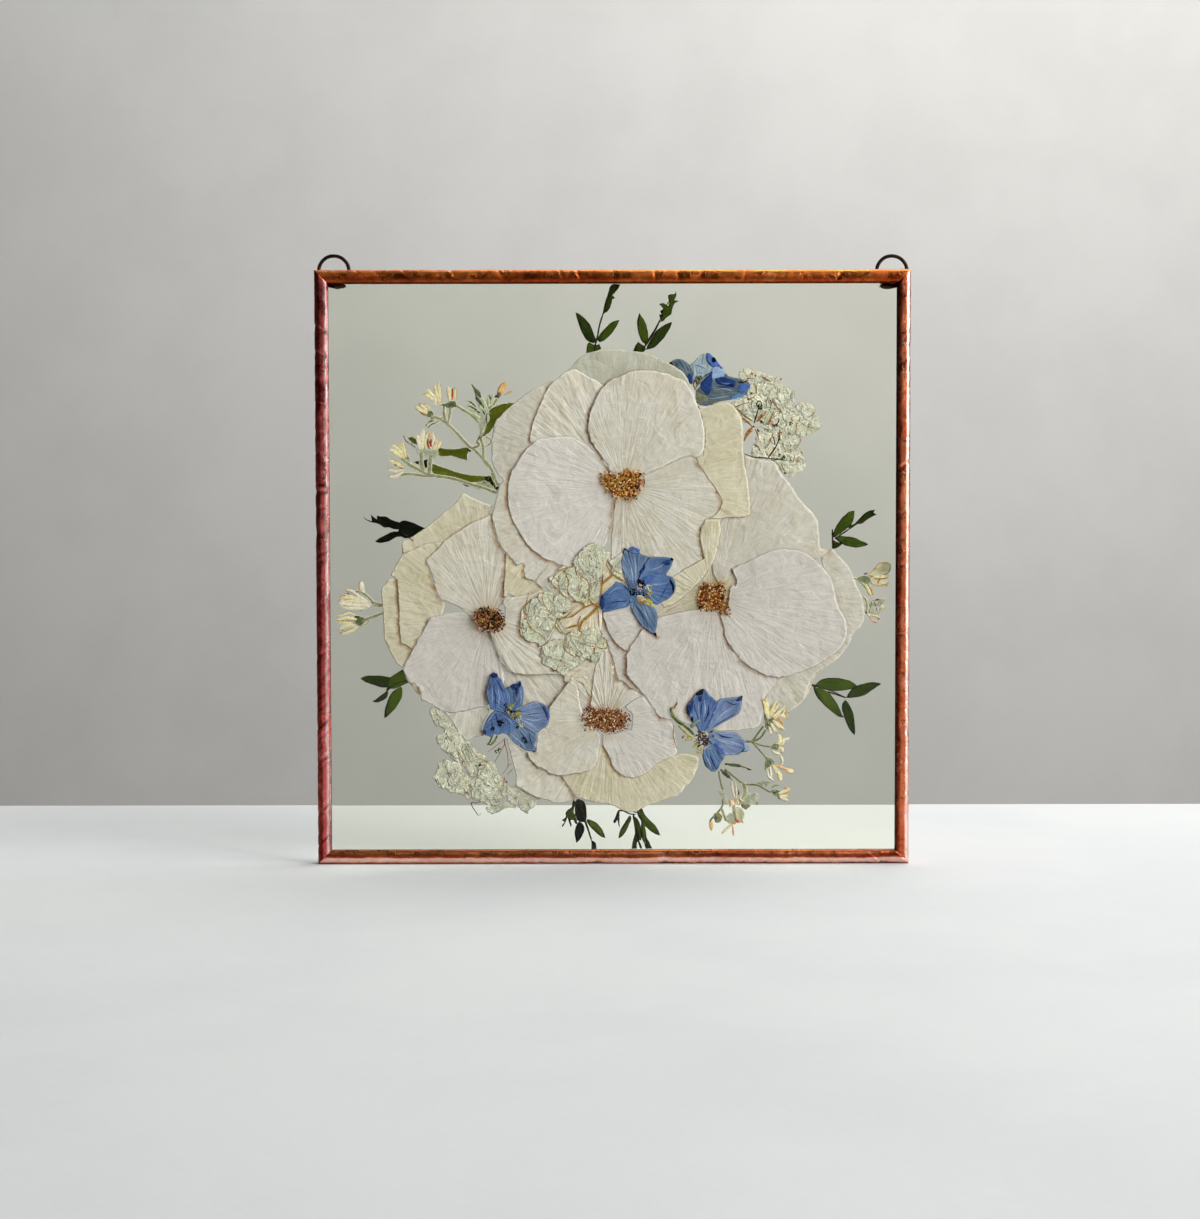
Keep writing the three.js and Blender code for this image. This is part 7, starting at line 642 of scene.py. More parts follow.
LINES = {
    "T_top": [["nge notch line",[[28.78,207.8],[28.35,202.3]]],["white ridge",[[26.86,202.72],[27.91,194.68]]],["crease",[[16.4,188.75],
     [20.22,182.82],[21.07,180.28]]],["",[[22.35,183.67],[21.07,180.28]]]],
    "T_pleat": [["",[[-33.88,181.12],[-35.59,179.43]]]],
    "T_bottomleft": [["85 (brown slit",[[-46.48,134.38],[-41.39,128.84]]],["orange blur",[[-38.19,128.84],[-37.78,123.73]]],
     ["thick brown",[[-32.03,119.89],[-29.91,117.76]]]],
    "T_right": [["-tan edge band",[[38.47,130.55],[26.93,123.73]]]],
    "L_top": [["flap crease",[[-65.21,143.32],[-63.97,137.36]]]],
    "R_outer": [["brown line",[[101.31,93.84],[97.47,89.14]]]],
    "R_top": [["brown line",[[50.43,126.71],[68.36,134.81]]]],
    "R_topleft (beige, scene)": [["630 (lines",[[21.77,107.52],[32.89,112.64]]],["",[[23.92,113.49],[24.77,110.93]]]],
    "B_topright (pleated)": [["12 (brown stem",[[-8.66,84.01],[-5.22,90.0]]]],
    "B_right (pinkish)": [["rown left edge",[[-4.49,50.57],[0.62,40.69]]],["tan line",[[25.96,60.44],[27.65,48.85]]],["yellow fold",[[14.77,38.54],
     [19.06,42.41],[16.04,34.24]]]],
    "Left-bottom": [["line",[[-38.72,64.3],[-29.29,65.59]]],["stem",[[-49.48,54.86],[-52.07,52.29],[-54.21,51.43]]]],
    "Right-bottom": [["714 (+ thread",[[27.26,69.44],[25.54,67.3]]]],
    "Centre H1 590,544 ": [["stems",[[-6.44,109.65],[-9.01,108.37],[-12.86,105.38],[-14.16,101.54],[-13.31,99.83]]],["",[[-11.56,110.51],
     [-14.13,108.37],[-17.56,106.66],[-22.7,105.38]]],["",[[-20.15,101.11],[-16.72,102.39],[-14.16,102.82]]],["",[[-12.85,109.65],[-12.0,107.09],
     [-12.87,104.53]]],["",[[0.02,124.58],[-4.26,121.17],[-4.7,117.76],[-5.57,113.49]]],["",[[0.02,125.01],[3.86,121.17],[6.41,118.61]]],
     ["dark",[[-17.96,113.49],[-12.41,111.79],[-6.43,110.08]]]],
    "Top-right outline": [["",[[61.54,193.41],[62.82,196.38]]],["branches",[[66.22,173.91],[68.35,176.88],[70.06,179.0],[70.91,181.55],
     [71.76,184.09]]],["",[[68.78,182.82],[69.63,180.7],[69.21,178.58]]]],
    "Bottom-left": [["range filament",[[-59.39,46.28],[-54.26,43.7]]],["nge-gold stems",[[-46.92,53.15],[-50.79,50.14],[-54.23,48.85]]],
     ["",[[-46.92,53.15],[-46.08,50.14],[-45.25,43.7],[-44.41,41.55]]],["",[[-46.5,51.43],[-48.66,48.42],[-51.25,44.13]]],["",[[-47.01,36.39],
     [-46.13,40.69],[-44.4,42.41],[-42.7,40.69]]],["",[[-42.7,40.69],[-41.87,33.81]]],["stem",[[-11.9,18.32],[-10.63,14.44],[-9.35,10.56]]]],
    "Top-left": [["stem",[[-6.47,225.12],[-5.6,230.19],[-4.74,233.56],[-3.45,236.09]]]],
    "Top-right": [["stem",[[13.93,222.17],[16.06,225.54],[18.2,228.92],[19.9,232.3]]]],
    "Left-lower": [["703 + stem",[[-97.33,74.16],[-95.6,75.87]]]],
    "Right-upper": [["stem",[[100.79,144.17],[104.63,146.3]]]],
    "Right-lower": [["stems",[[84.64,76.73],[87.21,75.87]]],["",[[84.64,76.73],[84.64,75.01]]],["",[[92.35,73.73],[96.21,72.44],[99.64,71.16]]]],
    "Bottom-right": [["stem",[[4.43,22.63],[7.0,21.33],[9.57,20.9]]]],
    "Upper-left": [["head C stem",[[-77.67,192.99],[-74.28,190.87],[-71.74,189.6]]],["bracts",[[-79.41,187.91],[-73.44,189.6]]],
     ["acts (dark tip",[[-60.14,205.69],[-57.19,201.03]]],[" + thin orange",[[-45.7,200.61],[-42.71,203.15]]],["wooly stems",[[-56.45,181.55],
     [-54.77,177.31],[-53.1,172.22],[-50.99,168.82]]]],
    "Left-mid": [["stems",[[-99.17,112.64],[-103.42,114.77]]],["",[[-99.18,110.93],[-103.02,111.36]]],["stem",[[-98.78,107.52],[-101.78,106.24],
     [-103.93,105.38],[-105.65,104.1]]]],
    "Right-mid": [["filaments",[[108.95,119.89],[111.09,117.76],[111.95,115.2]]],["",[[108.1,117.76],[110.67,115.2]]],["filaments",[[108.55,107.52],
     [110.69,106.24],[114.11,104.95]]],["",[[109.84,105.81],[111.55,104.53],[113.26,103.25]]]],
    "Bottom-right 1": [["-right 1: stem",[[56.8,52.29],[59.38,53.15]]],["branches",[[59.38,53.15],[61.52,56.58],[63.66,59.58],[64.95,61.3]]],
     ["",[[60.23,53.58],[62.81,54.86],[64.95,57.01],[65.81,58.73]]],["branch",[[59.38,52.72],[62.81,51.43],[67.09,50.14]]],["branch",[[59.38,52.29],
     [61.95,49.71],[64.09,47.14],[66.24,44.13]]]],
    "Bottom-right 2": [["stem",[[45.22,39.83],[46.07,35.96],[46.93,32.09]]],["pale tubes",[[51.22,36.39],[51.22,32.09],[52.93,28.65]]],
     ["",[[54.65,35.1],[55.94,29.08]]],["",[[56.37,34.24],[57.66,32.09],[57.65,29.08]]],["with filaments",[[51.21,17.03],[48.63,14.87],
     [46.48,12.72]]],["",[[51.64,16.17],[51.64,11.86]]]],
}
LEVEL = {"de_centre":0,"de_left":0,"de_right":0,"st_top":0,"st_left":0,"st_right":0,"st_bottom":0,"hy_centre":1,"lf_bottom_left":0,"wo_lower_right":1,"wo_bottom":0,"T_top":1,"T_strip":1,"R_right":1,"B_left":1,"T_far_right":2,"R_bottom":2,"T_right":3,"B_right":3,"R_left_b":3,"T_LL":4,"L_right":2,"R_left_a":4,"R_topleft":3,"R_top":3,"B_bottom":4,"T_pleat":5,"T_bottomleft":5,"R_outer":4,"R_low":5,"B_topright":5,"B_leftbottom":5,"T_back_top":6,"L_mid_right":6,"B_topleft":6,"T_left":6,"L_top":7,"L_bottomleft":8,"L_curl":9,"L_left":9,"L_bottom_right":9,"L_bottom_back":9,"L_back_top":10,"L_left_outer":10,"de_top":7,"hy_top":8,"hy_low":9,"lf_top_left":8,"lf_top_right":8,"lf_left_upper":11,"lf_left_lower":9,"lf_right_upper":6,"lf_right_lower":7,"lf_bottom_right":6,"wo_upper_left":7,"wo_left":11,"wo_right":7}
CENTRES = {
    "T": [4.83,162.03],
    "L": [-53.48,104.95],
    "R": [42.73,114.35],
    "B": [-2.74,62.16],
    "de_centre": [10.69,118.61],
    "de_left": [-44.29,64.73],
    "de_right": [38.38,55.72],
    "de_top": [36.43,201.88],
}
HY_STAR = [58.98,187.91]
HY_STEM = [[[56.42,176.04],[59.41,174.76],[62.81,174.13],[66.22,173.91],[70.49,173.49],[75.17,173.07]],[[58.98,187.91],[56.0,181.55],[57.28,177.31],
     [59.41,174.76]],[[58.98,187.91],[61.11,182.4],[62.39,179.43],[62.81,174.34]],[[58.98,187.91],[55.15,190.87],[52.17,195.11],[53.45,196.8],
     [55.15,193.84],[58.13,188.75]]]
LEAF_STEMS = {
    "left_upper": [[[-89.97,142.05],[-85.73,139.07],[-82.33,136.94]]],
    "left_lower": [[[-97.32,75.01],[-93.02,77.58],[-87.87,79.3]]],
    "bottom_left": [[[-14.44,27.36],[-13.6,22.63],[-11.9,17.46],[-9.35,9.7],[-8.51,5.82]],[[-16.59,26.93],[-16.18,22.63],[-16.62,18.32]]],
    "bottom_right": [[[2.28,22.63],[7.0,22.63],[11.29,21.33]],[[11.31,27.79],[12.15,21.33],[12.56,14.87],[13.83,7.12]],[[8.72,21.33],[9.55,14.01],
     [9.96,6.25]]],
    "right_upper": [[[93.97,143.32],[93.98,135.23]],[[95.25,139.49],[99.51,142.47],[104.63,145.88]]],
    "right_lower": [[[83.36,77.58],[88.5,75.87],[93.64,74.16],[100.06,71.16]]],
    "top_left": [[[-7.76,218.79],[-7.33,222.17],[-6.46,225.54],[-5.6,230.19],[-4.31,234.41],[-2.59,240.73],[-0.87,245.79]]],
    "top_right": [[[11.8,218.79],[13.93,221.74],[16.91,225.97],[19.9,231.88],[22.04,237.36],[25.45,242.42]]],
}

# ---------------------------------------------------------------- small tools
def rng(seed):
    return np.random.default_rng(seed)


def waves(x, z, seed, scale, n=7):
    r = rng(seed)
    out = np.zeros_like(x)
    for _ in range(n):
        a = r.uniform(0, 2 * math.pi)
        k = 2 * math.pi / scale * r.uniform(0.6, 1.6)
        out += np.sin(k * (x * math.cos(a) + z * math.sin(a)) + r.uniform(0, 7))
    return out / math.sqrt(n)


def spline(pts, step, closed=True, sharp=62):
    p = np.array(pts, float)
    n = len(p)
    prv = np.roll(p, 1, 0)
    nxt = np.roll(p, -1, 0)
    if not closed:
        prv[0] = p[0]
        nxt[-1] = p[-1]
    a = p - prv
    b = nxt - p
    la = np.linalg.norm(a, axis=1)
    lb = np.linalg.norm(b, axis=1)
    ang = np.degrees(np.arccos(np.clip((a * b).sum(1) / np.maximum(la * lb, 1e-9), -1, 1)))
    t = (a + b)
    t /= np.maximum(np.linalg.norm(t, axis=1), 1e-9)[:, None]
    w = np.where(ang > sharp, 0.0, 1.0)
    out = []
    for i in range(n if closed else n - 1):
        j = (i + 1) % n
        seg = p[j] - p[i]
        ln = np.linalg.norm(seg)
        k = max(1, int(round(ln / step)))
        s = (np.arange(k) / k)[:, None]
        m0 = t[i] * ln * w[i] + seg * (1 - w[i])
        m1 = t[j] * ln * w[j] + seg * (1 - w[j])
        h = (2 * s**3 - 3 * s**2 + 1) * p[i] + (s**3 - 2 * s**2 + s) * m0 + (-2 * s**3 + 3 * s**2) * p[j] + (s**3 - s**2) * m1
        out.append(h)
    if not closed:
        out.append(p[-1:])
    return np.concatenate(out)


def inside(q, poly):
    x, z = q[:, 0][:, None], q[:, 1][:, None]
    a = poly
    b = np.roll(poly, -1, 0)
    az, bz, ax, bx = a[:, 1], b[:, 1], a[:, 0], b[:, 0]
    cond = (az > z) != (bz > z)
    dz = np.where(bz == az, 1e-12, bz - az)
    xi = ax + (z - az) * (bx - ax) / dz
    return (np.logical_and(cond, x < xi).sum(1) % 2) == 1


def dist(q, poly, closed=True):
    """distance of each point to a polyline, and the index of the nearest segment"""
    a = poly if closed else poly[:-1]
    b = np.roll(poly, -1, 0) if closed else poly[1:]
    ab = b - a
    best = np.full(len(q), 1e9)
    idx = np.zeros(len(q), int)
    for s in range(0, len(q), 2000):
        c = q[s:s + 2000]
        ap = c[:, None, :] - a[None]
        t = np.clip((ap * ab).sum(2) / np.maximum((ab * ab).sum(1), 1e-12), 0, 1)
        d = np.linalg.norm(ap - t[:, :, None] * ab, axis=2)
        k = d.argmin(1)
        idx[s:s + 2000] = k
        best[s:s + 2000] = d[np.arange(len(c)), k]
    return best, idx


def area(p):
    q = np.roll(p, -1, 0)
    return 0.5 * (p[:, 0] * q[:, 1] - q[:, 0] * p[:, 1]).sum()


def normals(p):
    """outward normals of an anticlockwise outline"""
    t = np.roll(p, -1, 0) - np.roll(p, 1, 0)
    t /= np.maximum(np.linalg.norm(t, axis=1), 1e-9)[:, None]
    return np.stack([t[:, 1], -t[:, 0]], 1)


ATTRS = ("edge", "side", "front", "fside", "hue")


class Piece:
    """one object gathered from arrays, in millimetres"""

    def __init__(self, name, *nodes):
        self.name, self.nodes = name, nodes
        self.v, self.f, self.m, self.mats = [], [], [], []
        self.a = {k: [] for k in ATTRS}
        self.polar = []
        self.n = 0

    def add(self, v, faces, mat, polar=None, **attrs):
        v = np.asarray(v, float)
        n = len(v)
        if mat not in self.mats:
            self.mats.append(mat)
        k = self.mats.index(mat)
        self.v.append(v)
        self.f.extend([tuple(int(i) + self.n for i in f) for f in faces])
        self.m.extend([k] * len(faces))
        for name in ATTRS:
            val = attrs.get(name, 0.5 if name == "hue" else (9.0 if name in ("edge", "front") else 0.0))
            self.a[name].append(np.broadcast_to(np.asarray(val, float), (n,)))
        self.polar.append(np.zeros((n, 3)) if polar is None else polar)
        self.n += n

    def done(self, smooth=True):
        v = np.concatenate(self.v) * MM
        me = bpy.data.meshes.new(self.name)
        me.from_pydata(v.tolist(), [], self.f)
        for m in self.mats:
            me.materials.append(m)
        me.polygons.foreach_set("material_index", self.m)
        me.polygons.foreach_set("use_smooth", [smooth] * len(self.f))
        for name in ATTRS:
            at = me.attributes.new(name, 'FLOAT', 'POINT')
            at.data.foreach_set("value", np.concatenate(self.a[name]).astype(np.float32))
        at = me.attributes.new("polar", 'FLOAT_VECTOR', 'POINT')
        at.data.foreach_set("vector", np.concatenate(self.polar).astype(np.float32).ravel())
        me.validate()
        me.update()
        ob = bpy.data.objects.new(self.name, me)
        bpy.context.scene.collection.objects.link(ob)
        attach(ob, "root")
        if self.nodes:
            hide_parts(*self.nodes)
        return ob


def sheet(piece, outline, y0, mat, centre=(0, 0), step=0.8, relief=None, thick=0.07, wobble=0.06, seed=1,
          fronts=(), creases=(), hue=0.5, serrate=0.0, sharp=62, roll=0.05, angle0=None):
    """a thin leaf or petal cut to an outline, facing -Y; creases are (polyline, height) pairs"""
    b = spline(outline, step * 0.75, sharp=sharp)
    if area(b) < 0:
        b = b[::-1]
    keep = np.linalg.norm(b - np.roll(b, 1, 0), axis=1) > 0.02
    b = b[keep]
    nb = normals(b)
    w = wobble * waves(b[:, 0], b[:, 1], seed + 5, 3.0)
    if serrate:
        w = w + serrate * waves(b[:, 0], b[:, 1], seed + 6, 1.6)
    b = b + nb * w[:, None]
    lo, hi = b.min(0), b.max(0)
    r = rng(seed)
    gx = np.arange(lo[0], hi[0], step)
    gz = np.arange(lo[1], hi[1], step * 0.87)
    X, Z = np.meshgrid(gx, gz)
    X = X + (np.arange(len(gz)) % 2)[:, None] * step * 0.5
    q = np.stack([X.ravel(), Z.ravel()], 1) + r.uniform(-0.12, 0.12, (X.size, 2)) * step
    q = q[inside(q, b)]
    if len(q):
        d, _ = dist(q, b)
        q = q[d > step * 0.45]
    extra = []
    for line, _h in creases:
        c = spline(line, 0.5, closed=False, sharp=170)
        if len(c) < 2:
            continue
        t = np.gradient(c, axis=0)
        t /= np.maximum(np.linalg.norm(t, axis=1), 1e-9)[:, None]
        nn = np.stack([t[:, 1], -t[:, 0]], 1)
        for off in (-0.45, 0.0, 0.45):
            extra.append(c + nn * off)
    if extra:
        e = np.concatenate(extra)
        e = e[inside(e, b)]
        if len(e):
            d, _ = dist(e, b)
            e = e[d > 0.25]
        if len(e) and len(q):
            far = np.ones(len(q), bool)
            for s in range(0, len(e), 200):
                dd = np.linalg.norm(q[:, None] - e[None, s:s + 200], axis=2).min(1)
                far &= dd > 0.4
            q = q[far]
        q = np.concatenate([q, e]) if len(e) else q
    pts = np.concatenate([b, q]) if len(q) else b
    nbd = len(b)
    res = delaunay_2d_cdt([Vector(p) for p in pts.tolist()], [(i, (i + 1) % nbd) for i in range(nbd)], [list(range(nbd))], 1, 1e-7)
    v2 = np.array([list(p) for p in res[0]])
    tris = [list(f) for f in res[2]]
    # outer edges of the triangulation
    cnt = {}
    for f in tris:
        k = len(f)
        for i in range(k):
            e = (f[i], f[(i + 1) % k])
            cnt[e] = cnt.get(e, 0) + 1
    rim = [e for e in cnt if (e[1], e[0]) not in cnt]
    used = sorted({i for f in tris for i in f})
    remap = {o: i for i, o in enumerate(used)}
    v2 = v2[used]
    tris = [[remap[i] for i in f] for f in tris]
    rim = [(remap[a_], remap[b_]) for a_, b_ in rim]
    d, idx = dist(v2, b)
    mid_n = normals(b)
    # how far the nearest edge faces left and down; the material makes its painted rim highlight and rim shade stronger
    # there
    side = np.clip(-mid_n[idx, 0] * 0.9 - mid_n[idx, 1] * 0.25, 0, 1)
    c = np.array(centre, float)
    rel = v2 - c
    rad = np.linalg.norm(rel, axis=1)
    th = np.arctan2(rel[:, 1], rel[:, 0])
    if angle0 is None:
        mean = v2.mean(0) - c
        angle0 = math.atan2(mean[1], mean[0])
    th = (th - angle0 + math.pi) % (2 * math.pi) - math.pi
    h = np.zeros(len(v2))
    if relief is not None:
        h = h + relief(v2[:, 0], v2[:, 1], th, rad, d)
    h = h + roll * np.exp(-d / 0.9)
    for line, hh in creases:
        cl = spline(line, 0.5, closed=False, sharp=170)
        dc, _ = dist(v2, cl, closed=False)
        h = h + hh * np.exp(-(dc / 0.38) ** 2)
    h = np.clip(h, -0.16, 0.22)
    # signed distance to the edges of pieces lying in front, and how far each of those edges faces left and down: the
    # material paints a shadow from these
    fr = np.full(len(v2), 9.0)
    fs = np.zeros(len(v2))
    for o in fronts:
        if o[:, 0].min() > v2[:, 0].max() + 2 or o[:, 0].max() < v2[:, 0].min() - 2 or o[:, 1].min() > v2[:, 1].max() + 2 or o[:, 1].max() < v2[:, 1].min() - 2:
            continue
        do, io = dist(v2, o)
        sd = np.where(inside(v2, o), -do, do)
        on = normals(o)
        s_ = np.clip(-on[io, 0] * 0.95 - on[io, 1] * 0.3, 0, 1)
        better = sd < fr
        fs = np.where(better, s_, fs)
        fr = np.where(better, sd, fr)
    y = y0 - h
    n = len(v2)
    front = np.stack([v2[:, 0], y - thick / 2, v2[:, 1]], 1)
    back = np.stack([v2[:, 0], y + thick / 2, v2[:, 1]], 1)
    faces = []
    for f in tris:
        faces.append(f)                      # seen from -Y, anticlockwise in x,z faces -Y
        faces.append([i + n for i in reversed(f)])
    for a_, b_ in rim:
        faces.append([b_, a_, a_ + n, b_ + n])
    polar = np.stack([th * 16.0, rad * 0.05, np.full(n, seed * 1.7)], 1)
    piece.add(np.concatenate([front, back]), faces, mat, polar=np.concatenate([polar, polar]),
              edge=np.concatenate([d, d]), side=np.concatenate([side, side]),
              front=np.concatenate([fr, np.full(n, 9.0)]), fside=np.concatenate([fs, np.zeros(n)]), hue=hue)
    return b


def tube(piece, path, r0, r1, mat, sides=6, flat=0.6, hue=0.5, bump=0.0, seed=0, step=None, taper=None):
    """a closed, slightly flattened tube along a 3-D path, mm"""
    p = np.array(path, float)
    if step:
        p = spline(p, step, closed=False, sharp=170)
    n = len(p)
    t = np.gradient(p, axis=0)
    t /= np.maximum(np.linalg.norm(t, axis=1), 1e-9)[:, None]
    up = np.array([0.0, -1.0, 0.0])
    s = np.cross(t, up)
    ls = np.linalg.norm(s, axis=1)
    s[ls < 1e-6] = (1, 0, 0)
    s /= np.maximum(np.linalg.norm(s, axis=1), 1e-9)[:, None]
    u = np.cross(s, t)
    k = np.linspace(0, 1, n)
    r = r0 + (r1 - r0) * k if taper is None else np.interp(k, np.linspace(0, 1, len(taper)), taper)
    if bump:
        r = r * (1 + bump * waves(k * 10, k * 3 + seed, seed, 2.0))
    ang = np.arange(sides) / sides * 2 * math.pi
    ring = s[:, None, :] * (np.cos(ang)[None, :, None] * r[:, None, None]) + u[:, None, :] * (np.sin(ang)[None, :, None] * r[:, None, None] * flat)
    v = (p[:, None, :] + ring).reshape(-1, 3)
    faces = []
    for i in range(n - 1):
        for j in range(sides):
            a_, b_ = i * sides + j, i * sides + (j + 1) % sides
            faces.append((a_, a_ + sides, b_ + sides, b_))
    v = np.concatenate([v, p[:1] - t[:1] * r[0] * 0.5, p[-1:] + t[-1:] * r[-1] * 0.5])
    a_, b_ = n * sides, n * sides + 1
    for j in range(sides):
        faces.append((a_, j, (j + 1) % sides))
        faces.append((b_, (n - 1) * sides + (j + 1) % sides, (n - 1) * sides + j))
    piece.add(v, faces, mat, hue=hue, edge=9.0)


def _ico():
    import bmesh
    bm = bmesh.new()
    bmesh.ops.create_icosphere(bm, subdivisions=2, radius=1.0)
    v = np.array([list(x.co) for x in bm.verts])
    f = [[w.index for w in g.verts] for g in bm.faces]
    bm.free()
    return v, f


ICO_V, ICO_F = _ico()


def grain(piece, pos, size, mat, r, hue=0.5, rough=0.18):
    """a small lumpy body: the size along x, y and z, turned in the plane of the glass"""
    v = ICO_V * (1 + rough * waves(ICO_V[:, 0] * 3 + pos[0], ICO_V[:, 2] * 3 + pos[2], int(r.integers(1e6)), 3.0, 4))[:, None]
    v = v * np.array(size)
    a = r.uniform(0, math.pi)
    ca, sa = math.cos(a), math.sin(a)
    v = np.stack([v[:, 0] * ca - v[:, 2] * sa, v[:, 1], v[:, 0] * sa + v[:, 2] * ca], 1)
    piece.add(v + np.array(pos), ICO_F, mat, hue=hue)


# ---------------------------------------------------------------- materials
class Nodes:
    def __init__(self, name):
        self.mat = bpy.data.materials.new(name)
        self.mat.use_nodes = True
        self.t = self.mat.node_tree
        self.t.nodes.clear()
        self.out = self.t.nodes.new('ShaderNodeOutputMaterial')
        self.p = self.t.nodes.new('ShaderNodeBsdfPrincipled')
        self.t.links.new(self.p.outputs[0], self.out.inputs[0])

    def set(self, **kw):
        for k, v in kw.items():
            self.p.inputs[k.replace('_', ' ')].default_value = v

    def node(self, kind, **kw):
        n = self.t.nodes.new(kind)
        for k, v in kw.items():
            if hasattr(n, k):
                setattr(n, k, v)
        return n

    def link(self, a, b):
        self.t.links.new(a, b)

    def attr(self, name, vec=False):
        n = self.node('ShaderNodeAttribute', attribute_name=name)
        return n.outputs['Vector' if vec else 'Fac']

    def coord(self):
        return self.node('ShaderNodeTexCoord').outputs['Object']

    def noise(self, vec, scale, detail=4.0, rough=0.55, dist_=0.0):
        n = self.node('ShaderNodeTexNoise')
        n.inputs['Scale'].default_value = scale
        n.inputs['Detail'].default_value = detail
        n.inputs['Roughness'].default_value = rough
        n.inputs['Distortion'].default_value = dist_
        if vec is not None:
            self.link(vec, n.inputs['Vector'])
        return n.outputs['Fac']

    def scalevec(self, vec, s):
        n = self.node('ShaderNodeVectorMath', operation='MULTIPLY')
        n.inputs[1].default_value = s
        self.link(vec, n.inputs[0])
        return n.outputs[0]

    def ramp(self, fac, a, b, lo=0.0, hi=1.0, smooth=True):
        n = self.node('ShaderNodeMapRange')
        n.interpolation_type = 'SMOOTHSTEP' if smooth else 'LINEAR'
        n.clamp = True
        n.inputs['From Min'].default_value = a
        n.inputs['From Max'].default_value = b
        n.inputs['To Min'].default_value = lo
        n.inputs['To Max'].default_value = hi
        self.link(fac, n.inputs['Value'])
        return n.outputs[0]

    def math(self, op, a, b=None, c=None):
        n = self.node('ShaderNodeMath', operation=op)
        for i, x in enumerate((a, b, c)):
            if x is None:
                continue
            if isinstance(x, (int, float)):
                n.inputs[i].default_value = x
            else:
                self.link(x, n.inputs[i])
        return n.outputs[0]

    def mix(self, fac, a, b, mode='MIX'):
        n = self.node('ShaderNodeMix', data_type='RGBA', blend_type=mode)
        n.clamp_factor = True
        for s, x in ((n.inputs[0], fac), (n.inputs[6], a), (n.inputs[7], b)):
            if isinstance(x, (int, float)):
                s.default_value = x
            elif isinstance(x, tuple):
                s.default_value = (*x[:3], 1.0)
            else:
                self.link(x, s)
        return n.outputs[2]

    def bump(self, height, strength, distance):
        n = self.node('ShaderNodeBump')
        n.inputs['Strength'].default_value = strength
        n.inputs['Distance'].default_value = distance
        self.link(height, n.inputs['Height'])
        self.link(n.outputs[0], self.p.inputs['Normal'])


def srgb(r, g, b):
    out = []
    for c in (r, g, b):
        c /= 255.0
        out.append(c / 12.92 if c <= 0.04045 else ((c + 0.055) / 1.055) ** 2.4)
    return tuple(out)


